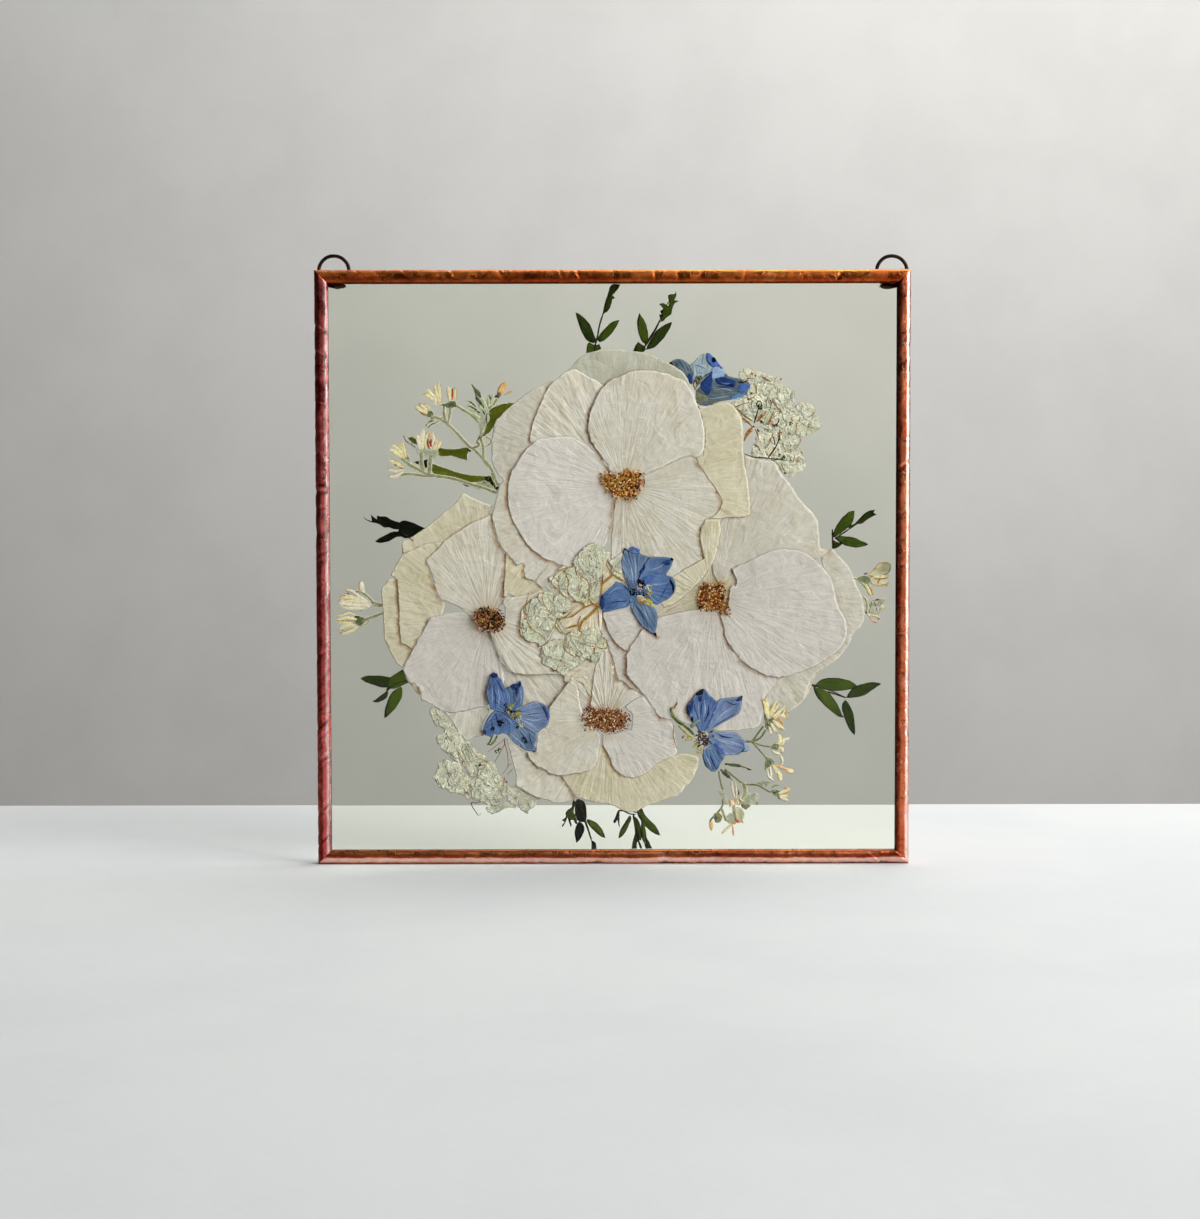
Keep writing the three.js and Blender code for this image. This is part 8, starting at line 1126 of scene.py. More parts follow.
def petal_mat(name, base, warm, rim=(158, 114, 60), under_shadow=(150, 104, 50), vein=(168, 156, 122), pleat=0.5,
              vein_amt=0.3, rim_w=0.2, alpha=1.0, blotch=0.6, rim_lo=0.58, cloud=(192, 186, 160), cloud_amt=0.4,
              core=(196, 160, 106), core_amt=0.6, soft=1.0, bump_d=0.0013, gloss=0.55, tip=None, tip_amt=0.5, core_r=12.5,
              white_amt=0.4, crumple=0.0, spec=0.2):
    m = Nodes(name)
    co = m.coord()
    pol = m.attr("polar", vec=True)
    hue = m.attr("hue")
    white = tuple(min(250, c_ + 14) for c_ in base)
    big = m.noise(co, 60.0, 4.0, 0.6, 0.6)
    mid = m.noise(co, 190.0, 5.0, 0.62, 0.8)
    col = m.mix(m.math('MULTIPLY', m.ramp(big, 0.38, 0.62), blotch), srgb(*base), srgb(*warm))
    # thin, see-through looking clouds and chalky patches
    col = m.mix(m.ramp(mid, 0.48, 0.66, 0.0, cloud_amt), col, srgb(*cloud))
    col = m.mix(m.ramp(m.noise(co, 310.0, 4.0, 0.6, 0.5), 0.52, 0.68, 0.0, white_amt), col, srgb(*white))
    pl = m.noise(m.scalevec(pol, (0.30, 0.55, 1.0)), 2.4, 3.0, 0.5, 0.3)
    streak = m.noise(m.scalevec(pol, (1.0, 0.8, 1.0)), 2.4, 4.0, 0.6, 0.25)
    fine = m.noise(m.scalevec(pol, (2.7, 1.5, 1.0)), 2.6, 3.0, 0.6, 0.3)
    sep = m.node('ShaderNodeSeparateXYZ')
    m.link(pol, sep.inputs[0])
    rad = sep.outputs['Y']                    # 0.05 per millimetre from the flower's middle
    near = m.ramp(rad, 1.5, 0.15)
    # fine veins, then pale ridges and darker furrows that run out from the middle and darker pleat folds: the ridges
    # are a painted highlight, the furrows and folds painted shade
    va = m.math('ADD', m.math('MULTIPLY', near, 0.55), 0.45)
    col = m.mix(m.math('MULTIPLY', m.ramp(fine, 0.52, 0.7, 0.0, vein_amt * 1.3), va), col, srgb(*vein))
    col = m.mix(m.math('MULTIPLY', m.ramp(streak, 0.53, 0.68, 0.0, vein_amt * 1.5), va), col, srgb(*[c_ * 0.9 for c_ in warm]))
    col = m.mix(m.math('MULTIPLY', m.ramp(streak, 0.48, 0.34, 0.0, min(0.9, 2.2 * white_amt)), va), col, srgb(*white))
    col = m.mix(m.ramp(pl, 0.55, 0.72, 0.0, 0.3 * pleat), col, srgb(*[c_ * 0.93 for c_ in warm]))
    cf = m.math('MULTIPLY', m.ramp(rad, 0.05 * core_r, 0.008 * core_r), m.ramp(streak, 0.36, 0.62, 0.25, 1.0))
    col = m.mix(m.math('MULTIPLY', cf, core_amt), col, srgb(*core))
    if tip:
        col = m.mix(m.math('MULTIPLY', m.ramp(rad, 0.42, 0.85), m.ramp(streak, 0.3, 0.6, 0.5, 1.0)), col, m.mix(tip_amt, col, srgb(*tip)))
    fold = None
    if crumple:
        # crumpled tissue: pale crests with a painted highlight and thin creases between them in painted shade
        f1 = m.math('ABSOLUTE', m.math('SUBTRACT', m.noise(co, 190.0, 3.0, 0.6, 1.4), 0.5))
        f2 = m.math('ABSOLUTE', m.math('SUBTRACT', m.noise(m.scalevec(co, (1.0, 1.0, 0.8)), 240.0, 3.0, 0.6, 1.2), 0.5))
        col = m.mix(m.ramp(f2, 0.034, 0.0, 0.0, 0.95 * crumple), col, srgb(255, 255, 246))
        col = m.mix(m.ramp(f1, 0.012, 0.0, 0.0, 0.95 * crumple), col, srgb(*rim))
        fold = m.math('ADD', m.ramp(f1, 0.0, 0.03), m.ramp(f2, 0.05, 0.0))
    edge = m.attr("edge")
    side = m.attr("side")
    ragged = m.noise(co, 900.0, 4.0, 0.6)
    along = m.noise(co, 105.0, 3.0, 0.6)
    # painted highlight: a pale band just inside the rim, stronger on edges that face left and down; then the dry rim
    # itself, a browned edge drawn wider and darker on those edges as painted shade
    band = m.math('MULTIPLY', m.ramp(edge, 0.15, 0.4), m.ramp(edge, 1.0, 0.45))
    col = m.mix(m.math('MULTIPLY', band, m.math('ADD', m.math('MULTIPLY', side, 0.4), 0.4)), col, srgb(*[min(252, c_ + (24 if white_amt > 0.3 else 6)) for c_ in base]))
    wid = m.math('MULTIPLY', m.math('ADD', m.math('MULTIPLY', side, 0.5), 0.6), m.math('MULTIPLY', m.ramp(ragged, 0.3, 0.7, 0.4, 1.6), rim_w))
    rimf = m.math('SUBTRACT', 1.0, m.math('DIVIDE', edge, wid))
    ra = m.math('MULTIPLY', m.math('ADD', m.math('MULTIPLY', side, 0.3), rim_lo), m.ramp(along, 0.34, 0.58, 0.45, 1.15))
    col = m.mix(m.math('MULTIPLY', m.ramp(rimf, 0.0, 0.75), ra), col, srgb(*rim))
    # painted shadow: warm brown shade on what lies under a neighbour's edge, wider and stronger where that edge faces
    # left and down
    fr = m.attr("front")
    fs = m.attr("fside")
    fw = m.math('MULTIPLY', m.math('ADD', m.math('MULTIPLY', fs, 1.5), 0.45), m.ramp(along, 0.3, 0.7, 0.5, 1.6))
    shade = m.ramp(m.math('DIVIDE', fr, fw), 1.0, 0.0)
    under = m.ramp(fr, -1.2, -0.2)
    amt = m.math('MULTIPLY', m.math('MULTIPLY', shade, under), m.math('ADD', m.math('MULTIPLY', fs, 0.75), 0.3))
    amt = m.math('MULTIPLY', amt, m.ramp(along, 0.32, 0.55, 0.35, 1.0))
    col = m.mix(m.math('MULTIPLY', amt, m.ramp(ragged, 0.25, 0.65, 0.6, 1.0)), col, srgb(*under_shadow))
    tone = m.ramp(hue, -1.0, 1.0, 0.66, 1.1, smooth=False)
    n = m.node('ShaderNodeVectorMath', operation='SCALE')
    m.link(col, n.inputs[0])
    m.link(tone, n.inputs['Scale'])
    m.link(n.outputs[0], m.p.inputs['Base Color'])
    m.set(Roughness=gloss, Specular_IOR_Level=spec, Alpha=alpha)
    crinkle = m.noise(co, 120.0, 3.0, 0.5, 1.0)
    crisp = m.noise(co, 620.0, 3.0, 0.6, 0.5)
    hgt = m.math('ADD', m.math('MULTIPLY', pl, pleat * 1.1), m.math('MULTIPLY', crinkle, 0.75 * soft))
    hgt = m.math('ADD', hgt, m.math('MULTIPLY', streak, 0.30))
    hgt = m.math('ADD', hgt, m.math('MULTIPLY', fine, 0.05))
    hgt = m.math('ADD', hgt, m.math('MULTIPLY', crisp, 0.05))
    if fold is not None:
        hgt = m.math('ADD', hgt, m.math('MULTIPLY', fold, 0.35))
    m.bump(hgt, 0.85, bump_d)
    return m.mat


def plain_mat(name, base, dark, spot=None, scale=700.0, rough=0.75, spec=0.07, bumpd=0.0003, hue_lo=0.7, hue_hi=1.3, streaky=None):
    m = Nodes(name)
    co = m.coord()
    n1 = m.noise(co, scale, 4.0, 0.6)
    col = m.mix(m.ramp(n1, 0.35, 0.68), srgb(*base), srgb(*dark))
    if spot:
        col = m.mix(m.ramp(m.noise(co, scale * 1.9, 3.0), 0.58, 0.7), col, srgb(*spot))
    if streaky:
        s = m.noise(m.scalevec(m.attr("polar", vec=True), (3.0, 6.0, 1.0)), 2.0, 3.0)
        col = m.mix(m.ramp(s, 0.5, 0.7, 0.0, 0.5), col, srgb(*streaky))
    n = m.node('ShaderNodeVectorMath', operation='SCALE')
    m.link(col, n.inputs[0])
    m.link(m.ramp(m.attr("hue"), 0.0, 1.0, hue_lo, hue_hi, smooth=False), n.inputs['Scale'])
    m.link(n.outputs[0], m.p.inputs['Base Color'])
    m.set(Roughness=rough, Specular_IOR_Level=spec)
    m.bump(n1, 0.6, bumpd)
    return m.mat

# ---------------------------------------------------------------- glass
def glass_mat():
    m = Nodes("glass")
    m.set(Roughness=0.0, IOR=1.5, Transmission_Weight=1.0, Specular_IOR_Level=0.05)
    m.p.inputs['Base Color'].default_value = (0.964, 0.974, 0.926, 1.0)
    m.p.inputs['Specular Tint'].default_value = (0.2, 0.2, 0.2, 1.0)     # glass for pictures, with little glare
    tr = m.node('ShaderNodeBsdfTransparent')
    tr.inputs[0].default_value = (0.93, 0.94, 0.92, 1.0)
    lp = m.node('ShaderNodeLightPath')
    mx = m.node('ShaderNodeMixShader')
    m.link(lp.outputs['Is Shadow Ray'], mx.inputs[0])
    m.link(m.p.outputs[0], mx.inputs[1])
    m.link(tr.outputs[0], mx.inputs[2])
    m.link(mx.outputs[0], m.out.inputs[0])
    return m.mat


def pane(name, side, mat):
    """a cut pane: flat faces with fine arrised edges"""
    inset = FACE - 4.7 + 0.4
    h = W / 2 - inset
    y0 = MID_Y + side * (GAP + GLASS_T) / 2
    c = 0.35
    rings = []
    for (e, yy) in ((c, -GLASS_T / 2), (0, -GLASS_T / 2 + c), (0, GLASS_T / 2 - c), (c, GLASS_T / 2)):
        k = h - e
        rings.append([(-k, y0 + yy, W / 2 - k), (k, y0 + yy, W / 2 - k), (k, y0 + yy, W / 2 + k), (-k, y0 + yy, W / 2 + k)])
    v = [q for r_ in rings for q in r_]
    f = [(0, 1, 2, 3), (15, 14, 13, 12)]
    for i in range(3):
        for j in range(4):
            a_, b_ = i * 4 + j, i * 4 + (j + 1) % 4
            f.append((a_, a_ + 4, b_ + 4, b_))
    p = Piece(name + "_cut", name)
    p.add(v, f, mat)
    return p.done(smooth=False)


gm = glass_mat()
pane("glass_front", -1, gm)
pane("glass_back", 1, gm)


# ---------------------------------------------------------------- copper rails
def copper_mat(name, base, alt, dark, pale, lit_and_shaded_bands=()):
    """burnished copper over solder: a shiny bead with pale spots of wear and painted highlight, tarnish and fine dark
    cracks across it, and lengthwise pale and dark bands of painted highlight and shade
    """
    m = Nodes(name)
    co = m.coord()
    blot = m.noise(co, 30.0, 4.0, 0.6, 0.6)
    small = m.noise(co, 170.0, 5.0, 0.62, 0.4)
    col = m.mix(m.ramp(blot, 0.36, 0.66), srgb(*base), srgb(*alt))
    col = m.mix(m.ramp(small, 0.64, 0.76, 0.0, 0.3), col, srgb(*dark))
    # pale spots: partly worn metal, partly painted highlights
    col = m.mix(m.ramp(m.noise(co, 75.0, 4.0, 0.7, 1.0), 0.6, 0.7, 0.0, 0.5), col, srgb(*pale))
    col = m.mix(m.ramp(m.noise(co, 620.0, 3.0, 0.6), 0.66, 0.72, 0.0, 0.7), col, srgb(*pale))
    crack = m.math('ABSOLUTE', m.math('SUBTRACT', m.noise(co, 46.0, 5.0, 0.7, 1.6), 0.5))
    col = m.mix(m.ramp(crack, 0.010, 0.0, 0.0, 0.75), col, srgb(56, 20, 14))
    # painted highlight and shade: lengthwise pale and dark bands where the rounded bead faces the window or the dim
    # room, with wandering borders: (from, to, soft, colour, amount), mm from the window
    wander = m.math('MULTIPLY', m.math('SUBTRACT', m.noise(m.scalevec(co, (1.0, 0.2, 1.0)), 70.0, 5.0, 0.65, 0.8), 0.5), 2.2)
    u = m.math('ADD', m.attr("edge"), wander)
    for (lo, hi, soft, c_, amt) in lit_and_shaded_bands:
        f = m.math('MULTIPLY', m.ramp(u, lo - soft, lo + soft), m.ramp(u, hi + soft, hi - soft))
        f = m.math('MULTIPLY', f, m.ramp(m.noise(co, 210.0, 4.0, 0.65), 0.3, 0.6, amt * 0.65, amt))
        col = m.mix(f, col, srgb(*c_))
    # darker within half a millimetre of the glass edge
    col = m.mix(m.ramp(m.attr("edge"), 0.45, 0.0, 0.0, 0.85), col, srgb(50, 18, 14))
    m.link(col, m.p.inputs['Base Color'])
    m.set(Metallic=1.0)
    m.link(m.ramp(small, 0.35, 0.7, 0.24, 0.46), m.p.inputs['Roughness'])
    wr = m.noise(co, 420.0, 4.0, 0.6, 0.8)
    h = m.math('ADD', m.math('MULTIPLY', wr, 0.35), m.math('MULTIPLY', small, 1.0))
    h = m.math('ADD', h, m.ramp(crack, 0.0, 0.02, 0.0, 0.25))
    m.bump(h, 0.5, 0.00028)
    return m.mat


def section(n_arc=7):
    """outline of a rail's section, u from the window edge (0) outwards, v front to back, opening in the groove"""
    half = RAIL_T / 2
    g = GAP / 2 + GLASS_T + 0.02
    pts = [(0.0, -g), (0.05, -half + 0.50), (0.38, -half + 0.32), (0.95, -half + 0.15), (1.7, -half + 0.04), (2.5, -half), (3.3, -half + 0.02)]
    r_ = 2.3
    for i in range(1, n_arc + 1):
        a_ = -math.pi / 2 + (math.pi / 2) * i / n_arc
        pts.append((FACE - r_ + r_ * math.cos(a_), -half + r_ + r_ * math.sin(a_)))
    pts += [(FACE, -1.2), (FACE, 0.0), (FACE, 1.2)]
    for i in range(0, n_arc):
        a_ = (math.pi / 2) * i / n_arc
        pts.append((FACE - r_ + r_ * math.cos(a_), half - r_ + r_ * math.sin(a_)))
    pts += [(3.3, half - 0.02), (2.5, half), (1.7, half - 0.04), (0.95, half - 0.15), (0.38, half - 0.32), (0.05, half - 0.50), (0.0, g), (4.6, g), (4.6, -g)]
    return pts


def rail(name, kind, seed, creases, mat):
    """a bead with dents and folds; all displacement is inwards so that the bead keeps its outer size"""
    sec = section()
    ns = len(sec)
    n = 420
    t = np.linspace(-1, 1, n)
    r = rng(seed)
    V = np.zeros((n, ns, 3))
    E = np.zeros((n, ns))
    s = t * W / 2
    groove = {ns - 1, ns - 2, ns - 3, 0}
    for k, (u, v) in enumerate(sec):
        inward = FACE - u
        half = W / 2 - inward
        a_ = t * half
        # depth of dents: soft hollows, sharper folds across the bead, pits
        d = 0.06 * (1 + waves(s, np.full(n, u + v * 0.7), seed, 22.0)) * 0.5
        d = d + 0.04 * (1 + waves(s * 1.0, np.full(n, u * 1.5 + v), seed + 1, 5.0)) * 0.5
        d = d + 0.025 * (1 + waves(s * 1.0, np.full(n, u * 2.0 + v * 2), seed + 2, 1.9)) * 0.5
        for (c, w_, h_) in creases:
            sk = (u - FACE / 2) * 0.25
            d = d + h_ * np.exp(-((s - c - sk) / w_) ** 2)
        ends = np.clip((W / 2 - np.abs(s)) / 4.0, 0, 1)
        d = np.maximum(d, 0) * min(1.0, max(0.15, u / 1.3))
        d = d * (0.35 + 0.65 * ends)
        if k in groove:
            d = d * 0
        # direction: towards the middle of the bead
        cu, cv = FACE * 0.5, 0.0
        du, dv = 0.0, 0.0
        if abs(v) > RAIL_T / 2 - 1.0:
            dv = -math.copysign(1, v)
        if u > FACE - 1.4:
            du = -1.0
        ln = math.hypot(du, dv) or 1.0
        uu = u + du / ln * d
        vv = v + dv / ln * d
        inw = FACE - uu
        V[:, k, 0] = a_
        V[:, k, 1] = MID_Y + vv
        V[:, k, 2] = inw
        E[:, k] = u
    x, y, z = V[..., 0].copy(), V[..., 1].copy(), V[..., 2].copy()
    if kind == 'bottom':
        P = np.stack([x, y, z], -1)
        flip = False
    elif kind == 'top':
        P = np.stack([-x, y, W - z], -1)
        flip = False
    elif kind == 'left':
        P = np.stack([-W / 2 + z, y, W / 2 - x], -1)
        flip = False
    else:
        P = np.stack([W / 2 - z, y, W / 2 + x], -1)
        flip = False
    faces = []
    for i in range(n - 1):
        for k in range(ns):
            a_, b_ = i * ns + k, i * ns + (k + 1) % ns
            faces.append((a_, a_ + ns, b_ + ns, b_))
    faces.append(tuple(range(ns)))
    faces.append(tuple(reversed(range((n - 1) * ns, n * ns))))
    p = Piece(name + "_bead", name)
    p.add(P.reshape(-1, 3), faces, mat, edge=E.ravel())
    ob = p.done()
    fix_normals(ob)
    return ob


def fix_normals(ob):
    import bmesh
    bm = bmesh.new()
    bm.from_mesh(ob.data)
    bmesh.ops.recalc_face_normals(bm, faces=bm.faces)
    bm.to_mesh(ob.data)
    bm.free()
    ob.data.update()


# painted light: each rail gets its own copy of the copper, its pale and dark bands set by how that rail faces the
# window and the dim room, its tone partly patina and partly painted light
CU = {
    "top": copper_mat("copper_top", (236, 132, 58), (214, 100, 40), (96, 34, 14), (244, 176, 112), lit_and_shaded_bands=((-2.0, 2.6, 0.9, (128, 38, 18), 0.8), (3.4, 8.0, 0.5, (240, 146, 80), 0.35))),
    "bottom": copper_mat("copper_bottom", (232, 132, 78), (206, 92, 56), (92, 32, 22), (250, 206, 190), lit_and_shaded_bands=((-1.0, 0.9, 0.4, (250, 168, 120), 0.55), (1.3, 2.7, 0.25, (96, 32, 20), 0.75), (2.95, 5.0, 0.3, (255, 220, 208), 0.75), (5.2, 8.0, 0.3, (110, 50, 44), 0.6))),
    "left": copper_mat("copper_left", (246, 122, 112), (214, 84, 78), (84, 22, 20), (255, 210, 204), lit_and_shaded_bands=((3.1, 8.0, 0.6, (84, 14, 10), 0.92), (0.4, 1.5, 0.5, (255, 226, 228), 0.85))),
    "right": copper_mat("copper_right", (236, 134, 92), (210, 98, 58), (90, 32, 20), (252, 206, 190), lit_and_shaded_bands=((-2.0, 1.5, 0.7, (74, 14, 9), 0.9), (3.7, 5.4, 0.35, (255, 222, 210), 0.8))),
}


def rand_creases(seed, n, fixed):
    r = rng(seed)
    out = [(float(r.uniform(-120, 120)), float(r.uniform(0.35, 1.3)), float(r.uniform(0.05, 0.2))) for _ in range(n)]
    return out + fixed


rail("rail_top", "top", 11, rand_creases(21, 34, [(14.5, 0.5, 0.35)]), CU["top"])
rail("rail_bottom", "bottom", 12, rand_creases(22, 30, [(115.5, 0.6, 0.35), (-7.5, 2.0, 0.3), (21.5, 2.6, 0.3)]), CU["bottom"])
rail("rail_left", "left", 13, rand_creases(23, 34, [(-33.5, 1.2, 0.35), (-16.0, 2.2, 0.3)]), CU["left"])
rail("rail_right", "right", 14, rand_creases(24, 30, []), CU["right"])


# ---------------------------------------------------------------- wire rings, soldered to the back
def wire_mat():
    m = Nodes("dark_wire")
    co = m.coord()
    n1 = m.noise(co, 300.0, 5.0, 0.65)
    col = m.mix(m.ramp(n1, 0.35, 0.7), srgb(58, 40, 34), srgb(28, 20, 19))
    col = m.mix(m.ramp(m.noise(co, 900.0, 3.0), 0.6, 0.72, 0.0, 0.7), col, srgb(120, 74, 54))
    m.link(col, m.p.inputs['Base Color'])
    m.set(Metallic=0.9)
    m.link(m.ramp(n1, 0.3, 0.7, 0.28, 0.5), m.p.inputs['Roughness'])
    m.bump(m.noise(co, 700.0, 4.0), 0.5, 0.0003)
    return m.mat


def solder_mat():
    m = Nodes("solder")
    co = m.coord()
    n1 = m.noise(co, 420.0, 5.0, 0.6)
    col = m.mix(m.ramp(n1, 0.35, 0.65), srgb(52, 34, 30), srgb(96, 60, 46))
    m.link(col, m.p.inputs['Base Color'])
    m.set(Metallic=0.95, Roughness=0.4)
    m.bump(n1, 0.6, 0.0006)
    return m.mat


wm, sm_ = wire_mat(), solder_mat()
for name, (cx, cz), wedge in (("ring_left", (-119.3, 254.4), 1), ("ring_right", (119.7, 254.0), -1)):
    p = Piece(name + "_wire", name)
    cy = MID_Y + RAIL_T / 2 + 0.1 + 0.8
    na, nb_ = 72, 12
    v = []
    for i in range(na):
        a_ = 2 * math.pi * i / na
        w1 = 0.03 * math.sin(3 * a_ + cx) + 0.02 * math.sin(7 * a_)
        for j in range(nb_):
            b_ = 2 * math.pi * j / nb_
            rr = 6.42 + w1 + 0.78 * math.cos(b_)
            v.append((cx + rr * math.cos(a_), cy + 0.78 * math.sin(b_), cz + rr * math.sin(a_)))
    f = []
    for i in range(na):
        for j in range(nb_):
            a0, a1 = i * nb_ + j, i * nb_ + (j + 1) % nb_
            b0, b1 = ((i + 1) % na) * nb_ + j, ((i + 1) % na) * nb_ + (j + 1) % nb_
            f.append((a0, a1, b1, b0))
    p.add(v, f, wm)
    # solder: a lump over the wire's lower half, spreading down to the glass edge
    r = rng(5 + wedge)
    iv = ICO_V
    for (dx, dz, sx, sy, sz) in ((0.4 * wedge, -5.0, 5.4, 0.72, 1.3), (1.2 * wedge, -6.6, 4.6, 0.5, 1.1), (2.0 * wedge, -7.1, 3.0, 0.35, 0.9), (-3.9, -3.6, 1.4, 0.7, 1.6), (4.0, -3.5, 1.4, 0.7, 1.6), (0, -2.0, 3.0, 0.3, 1.6)):
        lump = iv * (1 + 0.12 * waves(iv[:, 0] * 3, iv[:, 2] * 3, int(r.integers(1e6)), 3.0))[:, None] * np.array([sx, sy, sz])
        c = np.array([cx + dx, MID_Y + RAIL_T / 2 + 0.15 + (0.1 if dz > -6 else -0.05), cz + dz])
        lump = lump + c
        lump[:, 1] = np.clip(lump[:, 1], MID_Y + 3.2 + 0.05, MID_Y + RAIL_T / 2 + 1.68)
        lump[:, 0] = np.clip(lump[:, 0], -126.9, 126.9)
        p.add(lump, ICO_F, sm_)
    if wedge == 1:
        grain(p, (cx + 4.1, MID_Y + 2.6, 253.75), (0.7, 0.7, 0.42), sm_, r)
    ob = p.done()
    fix_normals(ob)


# ---------------------------------------------------------------- petals
def ylev(key):
    return MID_Y - GAP / 2 + 0.17 + LEVEL[key] * PITCH


PITCH = (GAP - 0.36) / (max(LEVEL.values()) + 0.5)

CREAM = dict(base=(219, 213, 208), warm=(206, 196, 179), cloud=(194, 188, 174))
PINKISH = dict(base=(221, 214, 213), warm=(208, 198, 194), cloud=(202, 194, 189))
YELLOW = dict(base=(212, 204, 186), warm=(198, 187, 158), cloud=(190, 181, 155))
MATS = {
    "cream": petal_mat("petal_cream", **CREAM),
    "cream_fine": petal_mat("petal_cream_fine", **CREAM, pleat=0.3, vein_amt=0.2),
    "pink": petal_mat("petal_blush", **PINKISH, pleat=0.3, vein_amt=0.2, blotch=0.35),
    "yellow": petal_mat("petal_ivory", **YELLOW, pleat=0.5, vein_amt=0.25),
    "pleated": petal_mat("petal_pleated", **CREAM, pleat=1.1, vein_amt=0.4),
    "thin": petal_mat("petal_thin", base=(208, 206, 196), warm=(192, 189, 172), pleat=0.4, vein_amt=0.2, alpha=0.86, rim_w=0.22),
}
#       key            node(s)                                centre  material  pleat amplitude
PLAN = [
    ("T_top", ["rose_top_petal_upper"], "T", "cream_fine", 0.035),
    ("T_strip", ["rose_right_petal_top_left"], "R", "yellow", 0.03),
    ("R_right", ["rose_right_petal_right"], "R", "pink", 0.03),
    ("B_left", ["rose_bottom_petal_left"], "B", "cream_fine", 0.03),
    ("T_far_right", ["rose_top_petal_far_right"], "T", "yellow", 0.04),
    ("R_bottom", ["rose_right_petal_bottom"], "R", "pink", 0.035),
    ("T_right", ["rose_top_petal_right"], "T", "cream", 0.05),
    ("B_right", ["rose_bottom_petal_right"], "B", "pink", 0.04),
    ("R_left_b", ["rose_right_petal_left_front"], "R", "pink", 0.03),
    ("T_LL", ["rose_top_petal_lower_left"], "T", "pink", 0.03),
    ("L_right", ["rose_left_petal_right"], "L", "cream", 0.04),
    ("R_left_a", ["rose_right_petal_left_back"], "R", "pink", 0.04),
    ("R_topleft", [], "R", "yellow", 0.05),
    ("R_top", ["rose_right_petal_top"], "R", "cream_fine", 0.04),
    ("B_bottom", ["rose_bottom_petal_bottom"], "B", "yellow", 0.05),
    ("T_pleat", ["rose_top_petal_pleated"], "T", "pleated", 0.11),
    ("T_bottomleft", ["rose_top_petal_low_left"], "T", "cream", 0.05),
    ("R_outer", ["rose_right_petal_outer"], "R", "cream", 0.05),
    ("R_low", ["rose_right_petal_low"], "R", "yellow", 0.05),
    ("B_topright", ["rose_bottom_petal_top"], "B", "pleated", 0.08),
    ("B_leftbottom", ["rose_bottom_petal_low_left"], "B", "cream", 0.05),
    ("T_back_top", ["rose_top_petal_back"], "T", "thin", 0.04),
    ("L_mid_right", [], "L", "yellow", 0.08),
    ("B_topleft", [], "B", "cream", 0.06),
    ("T_left", ["rose_top_petal_left"], "T", "cream", 0.04),
    ("L_top", ["rose_left_petal_top"], "L", "cream", 0.05),
    ("L_bottomleft", ["rose_left_petal_lower"], "L", "pink", 0.03),
    ("L_curl", [], "L", "yellow", 0.02),
    ("L_left", ["rose_left_petal_left"], "L", "yellow", 0.045),
    ("L_bottom_right", [], "L", "cream", 0.05),
    ("L_bottom_back", ["rose_left_petal_bottom"], "L", "cream", 0.05),
    ("L_back_top", ["rose_left_petal_back_top"], "L", "yellow", 0.045),
    ("L_left_outer", ["rose_left_petal_outer"], "L", "yellow", 0.05),
]
TONE_DOWN = {'T_top': 0.36, 'T_right': 0.42, 'T_back_top': 0.45, 'T_left': 0.66, 'T_strip': 0.05, 'T_pleat': 0.0, 'B_right': 0.5, 'R_outer': 0.82, 'R_low': 0.82, 'L_left': -0.05, 'L_left_outer': -0.2, 'L_back_top': 0.05, 'L_mid_right': -0.4, 'L_bottomleft': 0.3, 'R_topleft': 0.6}
STEP = 0.85
done_outlines = []


def petal_relief(seed, amp, centre_px, pleats=34):
    r = rng(seed)
    ph = r.uniform(0, 6, 6)
    ks = r.uniform(0.6, 1.5, 6) * pleats

    def f(x, z, th, rad, d):
        g = sum(np.sin(ks[i] * th * (1 + 0.05 * i) + ph[i] + 0.05 * rad) for i in range(6)) / 2.6
        env = np.clip(rad / 8.0, 0, 1) * (0.55 + 0.45 * np.clip(1 - d / 9.0, 0, 1))
        h = amp * g * env
        h = h + 0.045 * waves(x, z, seed + 3, 16.0) + 0.018 * waves(x, z, seed + 4, 5.0)
        return h
    return f


front_list = []
for key in [k for k in DELPH if k != "top"]:
    for o in DELPH[key]:
        front_list.append((LEVEL["de_" + key], np.array(spline(o, 0.8))))
for o in HYDR["centre"]:
    front_list.append((LEVEL["hy_centre"], np.array(spline(o, 0.8))))


def ccw(o):
    return o if area(o) > 0 else o[::-1]


front_list = [(l, ccw(o)) for l, o in front_list]
for i, (key, nodes, ck, mk, amp) in enumerate(PLAN):
    pc = Piece((nodes[0] if nodes else "rose_petal_" + key.lower()) + "_dry", *nodes)
    r = rng(100 + i)
    fronts = [o for l, o in front_list if l < LEVEL[key]]
    b = sheet(pc, PETALS[key], ylev(key), MATS[mk], centre=CENTRES[ck], step=STEP, relief=petal_relief(200 + i, amp * (0.5 if key in ('R_right', 'R_bottom') else 1.0), ck),
              seed=300 + i, fronts=fronts, creases=CREASES.get(key, []), hue=float(r.uniform(0.36, 0.6)) - TONE_DOWN.get(key, 0.62 if ck == 'R' else 0.12), wobble=0.13)
    if key == 'R_topleft':
        # the foot of this petal, which runs on behind the stamens
        sheet(pc, R_BACK, ylev('R_low'), MATS[mk], centre=CENTRES[ck], step=STEP, relief=petal_relief(260, 0.04, ck), seed=390, hue=0.45, wobble=0.1)
    front_list.append((LEVEL[key], b))
    pc.done()

